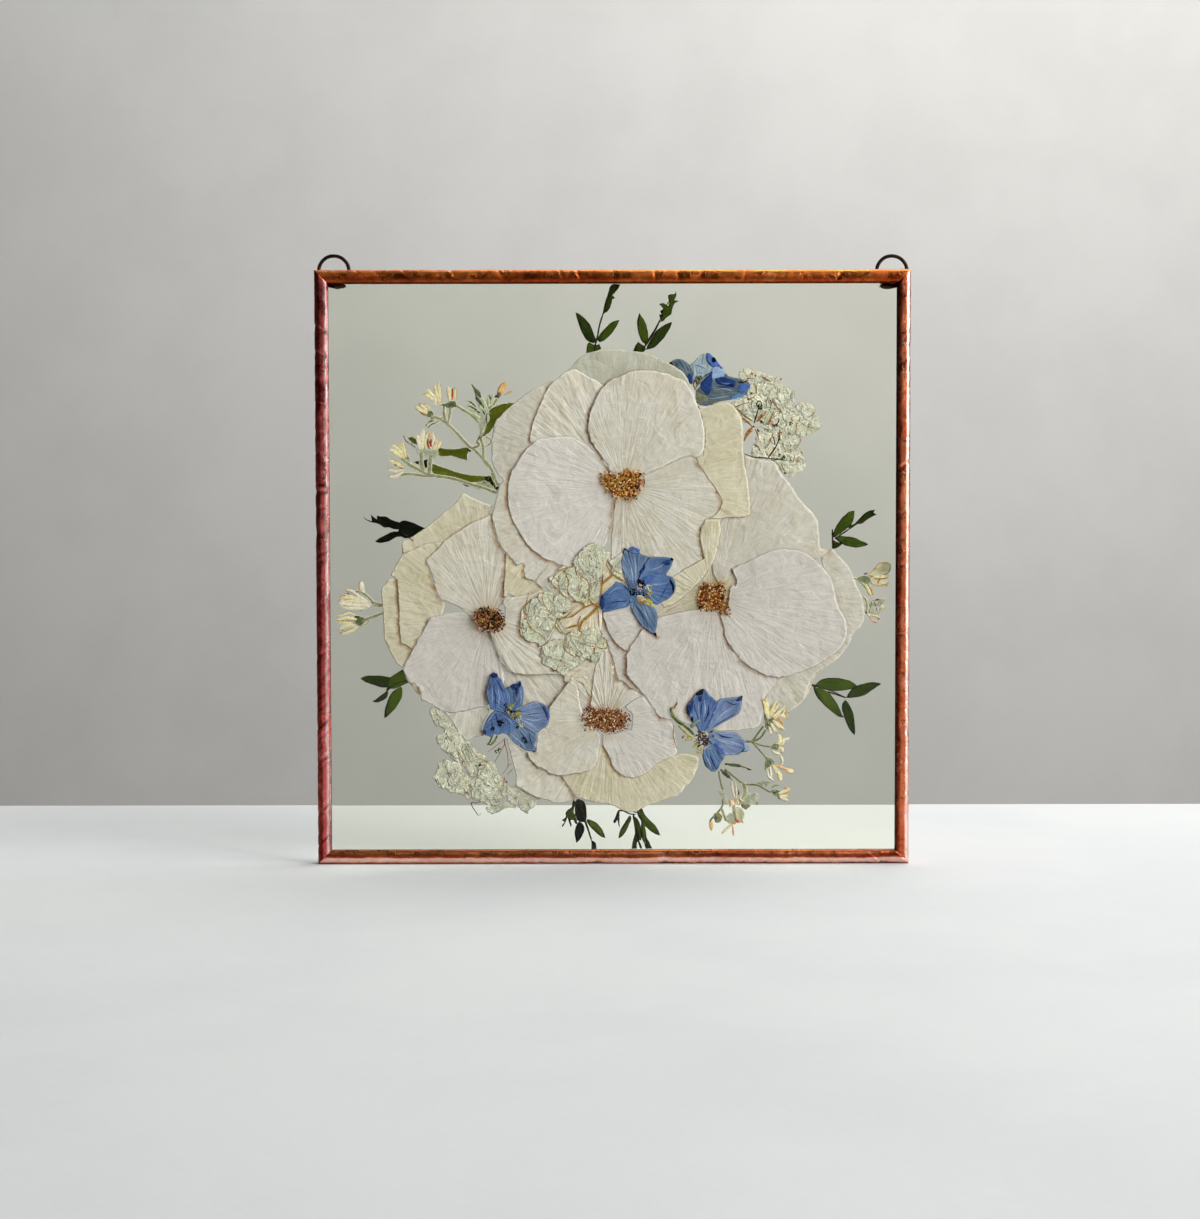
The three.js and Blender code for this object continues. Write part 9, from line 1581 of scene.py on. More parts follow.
# ---------------------------------------------------------------- rose centres
ANTHER = {
    "gold": plain_mat("anther_gold", (226, 158, 78), (168, 98, 38), (244, 206, 126), scale=1500.0),
    "brown": plain_mat("anther_brown", (128, 66, 28), (74, 34, 14), (168, 104, 52), scale=1500.0),
    "yellow": plain_mat("anther_yellow", (204, 178, 84), (160, 130, 50), scale=1500.0),
    "black": plain_mat("anther_black", (26, 10, 6), (14, 6, 4), (60, 34, 18), scale=1500.0),
    "cream": plain_mat("anther_cream", (242, 222, 184), (206, 176, 128), scale=1500.0),
    "red": plain_mat("anther_red", (168, 98, 70), (104, 46, 30), (208, 152, 116), scale=1500.0),
}
FILAMENT = plain_mat("filament", (196, 160, 96), (150, 108, 56), scale=900.0)
ROSE_MIX = {
    "top": (("gold", 0.46), ("brown", 0.22), ("yellow", 0.08), ("black", 0.10), ("cream", 0.14)),
    "left": (("red", 0.24), ("black", 0.46), ("brown", 0.14), ("gold", 0.16)),
    "right": (("gold", 0.30), ("brown", 0.20), ("red", 0.17), ("black", 0.20), ("cream", 0.13)),
    "bottom": (("red", 0.44), ("brown", 0.14), ("gold", 0.08), ("black", 0.13), ("cream", 0.21)),
}


def scatter(poly, r, spacing, tries=6000, margin=0.0):
    lo, hi = poly.min(0), poly.max(0)
    q = r.uniform(lo, hi, (tries, 2))
    q = q[inside(q, poly)]
    if margin:
        d, _ = dist(q, poly)
        q = q[d > margin]
    keep = []
    for p_ in q:
        if all((p_[0] - k[0])**2 + (p_[1] - k[1])**2 > spacing**2 for k in keep):
            keep.append(p_)
    return np.array(keep) if keep else np.zeros((0, 2))


for si, (k, outline) in enumerate(STAMENS.items()):
    pc = Piece("rose_" + k + "_stamens_dry", "rose_" + k + "_stamens")
    r = rng(700 + si)
    poly = np.array(spline(outline, 0.6))
    c = poly.mean(0)
    y = ylev("st_" + k)
    small = c + (poly - c) * 0.82
    sheet(pc, small.tolist()[::2], y + 0.07, ANTHER["black" if k == 'left' else 'brown'], centre=c, step=0.7, relief=lambda x, z, th, rad, d: 0.05 * waves(x, z, 5, 1.5), seed=710 + si, wobble=0.25, hue=0.4)
    names, ws = zip(*ROSE_MIX[k])
    for p_ in scatter(poly, r, 0.62):
        nm = names[int(r.choice(len(names), p=np.array(ws) / sum(ws)))]
        a_, b_ = r.uniform(0.34, 0.62), r.uniform(0.2, 0.34)
        grain(pc, (p_[0] + r.normal(0, 0.25), y - r.uniform(0.0, 0.12), p_[1] + r.normal(0, 0.25)), (a_, 0.16, b_), ANTHER[nm], r, hue=float(r.uniform(0.1, 0.95)), rough=0.28)
    for j in range(64):
        a_ = r.uniform(0, 2 * math.pi)
        far = poly[int(r.integers(len(poly)))]
        s0 = c + (far - c) * r.uniform(0.1, 0.45)
        s1 = c + (far - c) * r.uniform(0.8, 1.12)
        mid = (s0 + s1) / 2 + r.normal(0, 0.5, 2)
        yy = y - r.uniform(-0.04, 0.1)
        tube(pc, [(s0[0], yy, s0[1]), (mid[0], yy - 0.03, mid[1]), (s1[0], yy, s1[1])], 0.07, 0.05, FILAMENT, sides=4, step=0.7, hue=float(r.uniform(0.2, 0.9)))
        if j % 2 == 0:
            grain(pc, (s1[0], yy, s1[1]), (0.34, 0.12, 0.22), ANTHER[names[int(r.integers(len(names)))]], r, hue=float(r.uniform(0.2, 0.9)))
    pc.done()

# ---------------------------------------------------------------- delphiniums
def sepal_mat(name, base, deep, light, rim=(26, 38, 86)):
    return petal_mat(name, base=base, warm=deep, rim=rim, under_shadow=(44, 50, 84), vein=tuple(c_ * 0.62 for c_ in deep), cloud=light, cloud_amt=0.5,
                     core=(62, 60, 84), core_amt=0.5, core_r=3.5, tip=tuple(c_ * 0.8 for c_ in deep), tip_amt=0.75, pleat=0.9, vein_amt=0.5, rim_w=0.34, rim_lo=0.75, white_amt=0.12)


TONES = {
    "a": sepal_mat("delphinium_a", (112, 140, 182), (74, 104, 160), (96, 128, 182)),
    "b": sepal_mat("delphinium_b", (100, 132, 186), (60, 92, 160), (122, 142, 186)),
    "g": sepal_mat("delphinium_g", (126, 148, 182), (88, 114, 160), (104, 132, 176)),
    "l": sepal_mat("delphinium_l", (150, 166, 202), (108, 134, 188), (132, 150, 196)),
    "t": sepal_mat("delphinium_t", (112, 130, 142), (80, 98, 116), (134, 150, 158), rim=(48, 58, 72)),
    "p": sepal_mat("delphinium_p", (176, 192, 202), (150, 168, 184), (190, 202, 208), rim=(92, 112, 134)),
}
DABS = {
    "m": plain_mat("sepal_blue", (78, 108, 176), (58, 84, 156), (104, 130, 190), scale=700.0, hue_lo=0.85, hue_hi=1.15),
    "d": plain_mat("sepal_deep", (34, 58, 118), (20, 34, 84), (62, 92, 150), scale=700.0, hue_lo=0.85, hue_hi=1.15),
    "k": plain_mat("sepal_black", (12, 14, 26), (6, 6, 12), (30, 36, 62), scale=900.0),
    "n": plain_mat("sepal_navy", (36, 66, 130), (22, 40, 90), (60, 92, 160), scale=700.0),
    "q": plain_mat("sepal_olive", (124, 124, 104), (92, 92, 78), (150, 148, 124), scale=800.0),
    "l": plain_mat("sepal_light", (152, 172, 206), (128, 152, 196), (176, 190, 212), scale=700.0, hue_lo=0.9, hue_hi=1.1),
    "g": plain_mat("sepal_grey", (128, 150, 184), (104, 130, 172), scale=700.0, hue_lo=0.9, hue_hi=1.1),
    "a": plain_mat("sepal_mid", (104, 140, 190), (78, 112, 170), scale=700.0, hue_lo=0.9, hue_hi=1.1),
    "y": plain_mat("anther_lime", (204, 190, 40), (120, 108, 16), (240, 232, 150), scale=1300.0),
    "o": plain_mat("anther_ochre", (188, 136, 56), (120, 76, 30), (222, 196, 110), scale=1300.0),
    "w": plain_mat("anther_white", (212, 210, 188), (150, 150, 122), (232, 230, 214), scale=1300.0),
    "c": plain_mat("anther_blush", (226, 206, 186), (150, 118, 98), scale=1300.0),
    "b2": plain_mat("core_brown", (96, 54, 40), (34, 18, 16), (176, 140, 116), scale=1300.0),
    "b3": plain_mat("strand_brown", (176, 122, 56), (112, 66, 26), (214, 172, 106), scale=900.0),
    "au": plain_mat("strand_ochre", (186, 138, 50), (134, 90, 30), (216, 180, 104), scale=900.0),
    "b4": plain_mat("strand_red", (84, 34, 20), (44, 16, 12), (136, 72, 40), scale=900.0),
    "g1": plain_mat("stub_teal", (142, 160, 144), (102, 124, 110), scale=900.0),
    "g2": plain_mat("spur_olive", (112, 128, 62), (66, 82, 38), (168, 176, 116), scale=800.0),
    "g3": plain_mat("spur_yellow", (176, 172, 88), (130, 132, 60), (210, 200, 130), scale=800.0),
    "gr": plain_mat("bud_green", (64, 104, 58), (34, 60, 34), scale=900.0),
}
DEL_NODE = {"centre": "delphinium_centre", "left": "delphinium_left", "right": "delphinium_right", "top": "delphinium_upper_right"}


def strand(pc, pts, w_, y, mat, taper=(0.55, 0.95, 1.0, 0.85, 0.3), flat=0.35, hue=0.5, seed=0):
    """a flat strip of width w_ along a line in the plane of the glass"""
    p = [(q[0], y, q[1]) for q in pts]
    if len(p) == 2:
        p.insert(1, ((p[0][0] + p[1][0]) / 2, y, (p[0][2] + p[1][2]) / 2))
    tube(pc, p, 0, 0, mat, sides=6, flat=min(flat, 0.16 / max(w_ / 2, 0.05)) if w_ > 0.9 else flat, step=0.5, taper=tuple(t_ * w_ / 2 for t_ in taper), bump=0.12, seed=seed, hue=hue)


def clump(pc, kind, x, z, rx, rz, y, r, dens=3.2):
    n = max(3, int(rx * rz * dens * 2.2))
    for _ in range(n):
        a, q = r.uniform(0, 2 * math.pi), math.sqrt(r.random())
        grain(pc, (x + rx * q * math.cos(a), y - r.uniform(0, 0.07), z + rz * q * math.sin(a)), (r.uniform(0.28, 0.55), 0.1, r.uniform(0.16, 0.32)), DABS[kind], r, hue=float(r.uniform(0.15, 0.95)), rough=0.25)


for di, (k, spec) in enumerate(DELS.items()):
    pc = Piece(DEL_NODE[k] + "_dry", DEL_NODE[k])
    r = rng(800 + di)
    y = ylev("de_" + k)
    c = np.array(CENTRES["de_" + k])

    def rel(x, z, th, rad, d, s=di):
        return 0.05 * np.sin(th * 15 + rad * 0.15) * np.clip(rad / 4, 0, 1) + 0.05 * waves(x, z, 30 + s, 6.0) + 0.02 * waves(x, z, 40 + s, 2.0)
    for j, (o, t_) in enumerate(zip(spec["sepals"], spec["tone"])):
        sheet(pc, o, y + 0.12 - 0.04 * j, TONES[t_], centre=c, step=0.6, relief=rel, seed=820 + di * 10 + j, wobble=0.05, hue=float(r.uniform(0.4, 0.6)), thick=0.05, sharp=38)
    for j, (t_, o) in enumerate(spec["marks"]):
        sheet(pc, o, y - 0.105 - 0.004 * j, DABS[t_], centre=c, step=0.5, seed=870 + j, wobble=0.12, serrate=0.1, hue=float(r.uniform(0.35, 0.65)), thick=0.03, roll=0.0, sharp=50)
    for j, (t_, pts, w_) in enumerate(spec["streaks"]):
        strand(pc, pts, w_, y - 0.10 - 0.003 * j, DABS[t_], taper=(0.25, 0.8, 1.0, 0.7, 0.15), flat=0.22, hue=float(r.uniform(0.4, 0.6)), seed=j)
    for (t_, x, z, rx, rz) in spec["core"]:
        clump(pc, t_, x, z, rx, rz, y - 0.13, r)
    for j, (t_, pts, w_) in enumerate(spec["fil"]):
        strand(pc, pts, w_, y - 0.13 - 0.004 * j, DABS[t_], taper=(0.8, 1, 1, 0.9, 0.5), seed=50 + j)
    pc.done()

# ---------------------------------------------------------------- hydrangea
HYD = petal_mat("hydrangea_pale", base=(252, 250, 228), warm=(244, 240, 204), rim=(146, 122, 56), under_shadow=(150, 130, 76), vein=(222, 218, 172), cloud=(244, 243, 218), cloud_amt=0.4, core=(176, 170, 104), core_amt=0.4, core_r=1.4, pleat=1.1, vein_amt=0.2, rim_w=0.24, rim_lo=0.72, bump_d=0.0015, crumple=0.8)
HYDG = petal_mat("hydrangea_green", base=(242, 244, 218), warm=(230, 232, 194), rim=(140, 118, 54), under_shadow=(140, 122, 70), vein=(212, 214, 166), cloud=(236, 238, 208), cloud_amt=0.4, core=(164, 162, 100), core_amt=0.4, core_r=1.4, pleat=1.1, vein_amt=0.2, rim_w=0.26, rim_lo=0.72, bump_d=0.0015, crumple=0.9)
BLUSH = petal_mat("petal_blush", base=(238, 228, 214), warm=(222, 206, 178), rim=(150, 112, 52), under_shadow=(160, 120, 60), vein=(200, 180, 144), cloud=(204, 182, 142), cloud_amt=0.5, core_amt=0.0, white_amt=0.3)
STEMB = plain_mat("stem_brown", (132, 92, 46), (84, 56, 30), (170, 130, 70), scale=800.0)
STEMG = plain_mat("stem_gold", (176, 138, 66), (126, 90, 40), scale=800.0)


def reach(poly, c, ang):
    """distance from c to the outline along each angle"""
    out = []
    nx = np.roll(poly, -1, 0)
    for a in ang:
        d = np.array([math.cos(a), math.sin(a)])
        e = nx - poly
        w = poly - c
        den = d[0] * e[:, 1] - d[1] * e[:, 0]
        den = np.where(np.abs(den) < 1e-9, 1e-9, den)
        t_ = (w[:, 0] * e[:, 1] - w[:, 1] * e[:, 0]) / den
        u_ = (w[:, 0] * d[1] - w[:, 1] * d[0]) / den
        ok = (t_ > 0) & (u_ >= 0) & (u_ <= 1)
        out.append(t_[ok].min() if ok.any() else 0.5)
    return np.array(out)


def fan(pc, poly, c, a0, spread, length, y, mat, r, seed, over=1.04):
    """one ruffled sepal: narrow where it is fixed, with a scalloped outer edge"""
    c = np.array(c, float)
    an = a0 + np.linspace(-spread, spread, 15)
    lim = reach(poly, c, an) * over
    ln = np.minimum(length * r.uniform(0.9, 1.1) * (0.80 + 0.20 * np.cos((an - a0) / spread * 1.45)), lim)
    ln = ln * (1 + 0.05 * np.sin(np.arange(15) * r.uniform(1.7, 2.6) + r.uniform(0, 6)) + r.normal(0, 0.025, 15))
    if ln.max() < 1.2:
        return
    q = c + np.stack([np.cos(an), np.sin(an)], 1) * ln[:, None]
    base = c + np.array([[math.cos(a0 + 2.4), math.sin(a0 + 2.4)], [math.cos(a0 - 2.4), math.sin(a0 - 2.4)]]) * 0.35
    pts = [tuple(base[1])] + [tuple(x) for x in q] + [tuple(base[0])]
    k1, k2, ph = r.uniform(9, 14), r.uniform(17, 26), r.uniform(0, 6, 3)

    def rel(x, z, th, rad, d):
        g = np.sin(k1 * th + ph[0]) * 0.06 + np.sin(k2 * th + ph[1] + rad * 0.3) * 0.035
        return g * np.clip(rad / 2.5, 0, 1) + 0.035 * waves(x, z, seed, 1.8)
    sheet(pc, pts, y, mat, centre=c, step=0.6, relief=rel, seed=seed, wobble=0.16, serrate=0.10, hue=float(r.uniform(0.45, 1.0)), thick=0.05, roll=0.07)


def floret(pc, poly, c, size, y, r, seed, n=4):
    a0 = r.uniform(0, 2 * math.pi)
    for q in range(n):
        fan(pc, poly, c, a0 + q * 2 * math.pi / n + r.normal(0, 0.15), r.uniform(0.75, 1.05) * 4 / n, size * r.uniform(0.8, 1.2), y - 0.022 * q,
            HYD if r.random() < 0.7 else HYDG, r, seed + q)
    grain(pc, (c[0], y - 0.14, c[1]), (0.4, 0.1, 0.35), ANTHER["gold"] if r.random() < 0.5 else HYDG, r)


def hyd_rel(s):
    return lambda x, z, th, rad, d: 0.07 * waves(x, z, s, 3.2) + 0.05 * waves(x, z, s + 1, 1.7) + 0.05 * waves(x, z, s + 2, 8.0)


def polyline(pc, pts, y, r0, r1, mat, seed=0, sag=0.0, sides=6, step=0.8):
    n = len(pts)
    path = [(q[0], y - sag * math.sin(math.pi * i / max(1, n - 1)), q[1]) for i, q in enumerate(pts)]
    if n == 2:
        path.insert(1, tuple((np.array(path[0]) + np.array(path[1])) / 2))
    tube(pc, path, r0, r1, mat, sides=sides, step=step, bump=0.15, seed=seed, hue=0.5)


for hi_, (k, node) in enumerate((("centre", "hydrangea_centre"), ("low", "hydrangea_lower_left"), ("top", "hydrangea_upper_right"))):
    pc = Piece(node + "_dry", node)
    r = rng(900 + hi_)
    y = ylev("hy_" + k)
    outs = HYDR[k] if k != "top" else [HYDR[k]]
    for j, o in enumerate(outs):
        poly = np.array(spline(o, 0.6))
        if k != "top":
            sheet(pc, o, y + 0.14 - 0.012 * j, HYD if j % 3 else HYDG, centre=poly.mean(0), step=0.6, relief=hyd_rel(910 + hi_ * 20 + j), seed=920 + j, wobble=0.1, serrate=0.14,
                  hue=float(r.uniform(0.6, 0.9)), thick=0.05, roll=0.08)
        if k == "top":
            continue
        n_f = max(1, int(abs(area(poly)) / 44))
        for q, p_ in enumerate(scatter(poly, r, 5.4, 1500, margin=2.0)[:n_f + 2]):
            floret(pc, poly, p_, r.uniform(5.0, 7.4), y + 0.03 - 0.04 * r.random(), r, 1000 + 50 * hi_ + 400 * j + q * 5, n=4 if r.random() < 0.6 else 3)
    if k == "top":
        star = np.array(HY_STAR)
        for q, p_ in enumerate(scatter(poly, r, 4.6, 4000, margin=1.4)):
            away = np.linalg.norm(p_ - (star + np.array([3.0, -2.0])))
            if away < 6.0 or np.linalg.norm(p_ - (star + np.array([0.0, -9.0]))) < 4.0:
                continue
            floret(pc, poly, p_, r.uniform(4.6, 6.6), y + 0.10 - 0.10 * r.random(), r, 2600 + q * 5, n=4 if r.random() < 0.6 else 3)
    if k == "centre":
        # a blush scrap of petal that the florets are fixed on
        for j, o in enumerate(HYC_BACK):
            sheet(pc, o, y + (0.30, 0.80)[j], BLUSH, centre=np.mean(o, 0), step=0.7, relief=hyd_rel(990 + j), seed=995 + j, wobble=0.1, serrate=0.05, hue=0.45, thick=0.05, roll=0.02)
        for j, (t_, pts, w_) in enumerate(HYC_STRANDS):
            strand(pc, pts, w_, y - 0.15 - 0.001 * j, DABS[t_], taper=(0.8, 1, 1, 0.8, 0.5), seed=120 + j, hue=float(r.uniform(0.3, 0.7)))
        for (t_, x, z, rx, rz) in HYC_DOTS:
            clump(pc, t_, x, z, rx, rz, y - 0.19, r)
    if k == "low":
        for j, (t_, pts, w_) in enumerate(HYL_STRANDS):
            strand(pc, pts, w_, y - 0.15 - 0.002 * j, DABS[t_], taper=(0.8, 1, 1, 0.8, 0.5), seed=60 + j, hue=float(r.uniform(0.3, 0.7)))
        for (t_, x, z, rx, rz) in HYL_DOTS:
            clump(pc, t_, x, z, rx, rz, y - 0.17, r)
    if k == "top":
        for j, (t_, pts, w_) in enumerate(HY_STRANDS):
            strand(pc, pts, w_, y - 0.14 - 0.002 * j, DABS[t_], taper=(0.8, 1, 1, 0.8, 0.5), seed=j, hue=float(r.uniform(0.3, 0.7)))
        for (t_, x, z, rx, rz) in HY_DOTS:
            clump(pc, t_, x, z, rx, rz, y - 0.17, r)
    pc.done()

# ---------------------------------------------------------------- leaf sprigs
LEAFM = petal_mat("leaf_dark", base=(44, 58, 12), warm=(26, 36, 8), rim=(4, 5, 3), under_shadow=(18, 20, 12), vein=(70, 82, 28), cloud=(60, 76, 16), core=(18, 22, 8), core_amt=0.6, core_r=2.6, pleat=0.5, vein_amt=0.3, rim_w=0.85, rim_lo=0.95, white_amt=0.1, spec=0.05)
LEAFG = petal_mat("leaf_green", base=(66, 84, 16), warm=(40, 54, 10), rim=(5, 7, 3), under_shadow=(20, 22, 12), vein=(92, 104, 36), cloud=(84, 100, 26), core=(22, 28, 10), core_amt=0.6, core_r=2.6, pleat=0.5, vein_amt=0.3, rim_w=0.85, rim_lo=0.95, white_amt=0.1, spec=0.05)
LEAFB = petal_mat("leaf_black", base=(14, 20, 8), warm=(9, 12, 6), rim=(3, 3, 2), under_shadow=(5, 5, 4), vein=(32, 40, 16), cloud=(20, 28, 10), core=(18, 20, 12), core_amt=0.6, core_r=2.6, pleat=0.5, vein_amt=0.3, rim_w=0.85, rim_lo=0.95, white_amt=0.1, spec=0.05)
LSTEM = plain_mat("leaf_stem", (44, 42, 20), (20, 18, 10), (88, 76, 36), scale=900.0)
LEAF_SET = {"top_left": (LEAFM, LEAFG), "top_right": (LEAFG, LEAFM), "left_upper": (LEAFB, LEAFB), "left_lower": (LEAFM, LEAFG), "right_upper": (LEAFG, LEAFM),
            "right_lower": (LEAFG, LEAFM), "bottom_left": (LEAFB, LEAFG), "bottom_right": (LEAFM, LEAFG)}
LEAF_LINES = {"top_left": "Top-left", "top_right": "Top-right", "left_lower": "Left-lower", "right_upper": "Right-upper", "right_lower": "Right-lower", "bottom_left": "Bottom-left", "bottom_right": "Bottom-right"}


def midrib(o):
    p = np.array(spline(o, 0.6))
    c = p.mean(0)
    w_, v_ = np.linalg.eigh(np.cov((p - c).T))
    d = v_[:, 1]
    t = (p - c) @ d
    a, b = p[t.argmin()], p[t.argmax()]
    return a, b, c


for li, (k, outs) in enumerate(LEAVES.items()):
    pc = Piece("leaf_sprig_" + k + "_dry", "leaf_sprig_" + k)
    r = rng(1200 + li)
    y = ylev("lf_" + k)
    for j, o in enumerate(outs):
        if len(o) < 4:
            continue
        a, b, c = midrib(o)
        ln = np.linalg.norm(b - a)
        mat = LEAF_SET[k][j % 2]
        cr = []
        if ln > 5:
            q0, q1 = a + (b - a) * 0.08, a + (b - a) * 0.92
            side = np.array([-(b - a)[1], (b - a)[0]]) / ln
            mid = (a + b) / 2 * 0.5 + c * 0.5
            cr = [([tuple(q0), tuple(mid), tuple(q1)], 0.09)]

        def rel(x, z, th, rad, d, s=li * 20 + j):
            return 0.04 * waves(x, z, s, 4.0) + 0.03 * waves(x, z, s + 1, 1.6)
        sheet(pc, o, y - 0.02 * j, mat, centre=a, step=0.55, relief=rel, seed=1210 + li * 20 + j, wobble=0.05, serrate=0.03, creases=cr, hue=float(r.uniform(0.3, 0.7)), thick=0.06, roll=-0.03)
    for q, (lab, ln) in enumerate(LINES.get(LEAF_LINES.get(k, ""), [])):
        if k == "bottom_left" and "stem" != lab.strip():
            continue
        if k in ("top_left", "top_right") and len(ln) < 3:
            continue
        polyline(pc, ln, y - 0.05, 0.36, 0.22, LSTEM, seed=q)
    for q, ln in enumerate(LEAF_STEMS.get(k, [])):
        polyline(pc, ln, y - 0.03, 0.38, 0.22, LSTEM, seed=q)
    pc.done()

# ---------------------------------------------------------------- woolly sprigs
def tomentose(name, base, dark, pale, rim=(28, 30, 14), rim_w=0.5):
    return petal_mat(name, base=base, warm=dark, rim=rim, under_shadow=tuple(c_ * 0.5 for c_ in dark), vein=pale, cloud=tuple((a_ + b_) / 2 for a_, b_ in zip(base, dark)), cloud_amt=0.6,
                     core_amt=0.0, pleat=0.6, vein_amt=0.35, rim_w=rim_w, rim_lo=0.7, white_amt=0.15, spec=0.07)


WM = {
    "olive": tomentose("sprig_olive", (98, 106, 20), (62, 72, 12), (132, 134, 46), rim=(12, 14, 6), rim_w=0.7),
    "olive2": tomentose("sprig_olive_pale", (156, 158, 112), (120, 124, 78), (196, 198, 160), rim=(70, 74, 44), rim_w=0.3),
    "black": tomentose("sprig_black", (22, 24, 10), (12, 12, 6), (50, 54, 24)),
    "grey": tomentose("sprig_grey", (172, 180, 150), (134, 144, 110), (206, 210, 188), rim=(90, 100, 68), rim_w=0.3),
    "white": tomentose("sprig_white", (226, 220, 210), (200, 192, 180), (240, 236, 228), rim=(60, 50, 40), rim_w=0.4),
    "calyx": tomentose("sprig_calyx", (132, 142, 100), (84, 96, 54), (190, 192, 158), rim=(54, 66, 40), rim_w=0.35),
    "pale": tomentose("sprig_pale", (204, 208, 186), (168, 174, 146), (224, 226, 212), rim=(120, 126, 90), rim_w=0.25),
    "pale2": tomentose("sprig_pale_head", (214, 212, 194), (188, 184, 158), (228, 226, 212), rim=(140, 126, 92), rim_w=0.3),
    "cream": tomentose("sprig_cream", (228, 222, 190), (206, 196, 150), (238, 234, 212), rim=(168, 140, 84), rim_w=0.3),
}
WSTEM = plain_mat("wool_stem", (160, 160, 130), (120, 122, 88), (196, 194, 166), scale=700.0)
WTHIN = plain_mat("thin_stem", (128, 126, 84), (92, 94, 54), (168, 162, 120), scale=800.0)
WHAIR = plain_mat("wool_hair", (230, 226, 208), (200, 198, 174), scale=900.0, hue_lo=0.85, hue_hi=1.15)
WF = {
    "c": plain_mat("floret_cream", (236, 226, 184), (218, 200, 142), (246, 240, 214), scale=900.0, hue_lo=0.85, hue_hi=1.15),
    "p": plain_mat("floret_pale", (234, 226, 210), (214, 200, 178), (246, 240, 228), scale=900.0, hue_lo=0.85, hue_hi=1.15),
    "o": plain_mat("floret_orange", (222, 178, 120), (190, 134, 74), (238, 206, 160), scale=900.0),
    "r": plain_mat("floret_red", (180, 84, 40), (116, 48, 26), (214, 136, 80), scale=900.0),
    "b": plain_mat("floret_base", (128, 108, 92), (88, 74, 66), (160, 140, 120), scale=900.0),
    "k": plain_mat("sprig_dark", (44, 34, 26), (26, 20, 18), (84, 66, 44), scale=900.0),
    "w": plain_mat("floret_white", (236, 234, 224), (210, 206, 190), scale=900.0),
    "gd": plain_mat("bract_dark", (92, 100, 66), (48, 54, 32), (156, 162, 130), scale=800.0),
    "gl": plain_mat("bract_pale", (196, 202, 174), (150, 158, 124), (222, 226, 206), scale=800.0),
}
FEDGE = plain_mat("floret_edge", (168, 124, 62), (128, 88, 42), (200, 160, 96), scale=900.0)


def hairs(pc, starts, dirs, y, r, ln=(0.3, 0.8), mat=None):
    for p_, d_ in zip(starts, dirs):
        l_ = r.uniform(*ln)
        a = math.atan2(d_[1], d_[0]) + r.normal(0, 0.6)
        e = p_ + np.array([math.cos(a), math.sin(a)]) * l_
        m_ = (p_ + e) / 2 + r.normal(0, 0.08, 2)
        yy = y - r.uniform(0, 0.07)
        tube(pc, [(p_[0], yy, p_[1]), (m_[0], yy - 0.02, m_[1]), (e[0], yy, e[1])], 0.075, 0.04, mat or WHAIR, sides=3, flat=1.0, hue=float(r.uniform(0.2, 0.9)))


def offsets(pts, step=0.35):
    c = spline(np.array(pts, float), step, closed=False, sharp=170)
    t = np.gradient(c, axis=0)
    t /= np.maximum(np.linalg.norm(t, axis=1), 1e-9)[:, None]
    return c, t, np.stack([t[:, 1], -t[:, 0]], 1)


def woolly_stem(pc, pts, w_, y, r, dens, seed):
    c, t, n_ = offsets(pts)
    if w_ < 0.95 and dens < 0.6:
        strand(pc, pts, w_, y, WTHIN, taper=(1, 1, 1, 1, 1), seed=seed)
        return
    strand(pc, pts, w_ * 0.8, y, WSTEM, taper=(1, 1, 1, 1, 1), seed=seed)
    for sd in (-1, 1):
        q = c + n_ * sd * w_ * 0.46 + r.normal(0, 0.03, c.shape)
        tube(pc, [(a_[0], y - 0.03, a_[1]) for a_ in q[::2]] if len(q) > 5 else [(a_[0], y - 0.03, a_[1]) for a_ in q], 0.17, 0.13, WHAIR, sides=4, flat=0.6, hue=0.7, bump=0.2, seed=seed + sd)
    m_ = max(4, int(len(c) * 1.6 * dens))
    i = r.integers(0, len(c), m_)
    sg = np.where(r.random(m_) < 0.5, -1.0, 1.0)[:, None]
    st = c[i] + n_[i] * sg * r.uniform(0.0, 0.5, (m_, 1)) * w_
    hairs(pc, st, n_[i] * sg + t[i] * r.uniform(-1.5, 1.5, (m_, 1)), y - 0.05, r)


def woolly_leaf(pc, o, kind, y, r, seed, dens):
    poly = np.array(spline(o, 0.5))
    poly = poly if area(poly) > 0 else poly[::-1]

    def rel(x, z, th, rad, d, s=seed):
        return 0.05 * waves(x, z, s, 2.6) + 0.03 * waves(x, z, s + 1, 1.2)
    sheet(pc, o, y, WM[kind], centre=poly.mean(0), step=0.55, relief=rel, seed=seed, wobble=0.1, serrate=0.08, hue=float(r.uniform(0.4, 0.6)), thick=0.05)
    if kind in ("black", "white"):
        return
    n_ = normals(poly)
    ring = np.concatenate([poly, poly[:2]])[::2]
    tube(pc, [(a_[0], y - 0.03, a_[1]) for a_ in ring], 0.11, 0.11, WHAIR if kind in ("olive", "calyx", "pale", "grey") else FEDGE, sides=4, flat=0.6, hue=0.55, bump=0.5, seed=seed)
    k_ = 1.5 if kind in ("calyx", "grey", "pale") else 0.5
    m_ = int(len(poly) * k_ * (0.4 + dens))
    i = r.integers(0, len(poly), m_)
    hairs(pc, poly[i] - n_[i] * r.uniform(0, 0.4, (m_, 1)), n_[i], y - 0.06, r)
    if kind in ("calyx", "grey", "pale"):
        lo, hi = poly.min(0), poly.max(0)
        q = r.uniform(lo, hi, (int(abs(area(poly)) * 4), 2))
        q = q[inside(q, poly)]
        hairs(pc, q, r.normal(0, 1, q.shape), y - 0.08, r, mat=WHAIR if r.random() < 0.7 else WF["gd"])


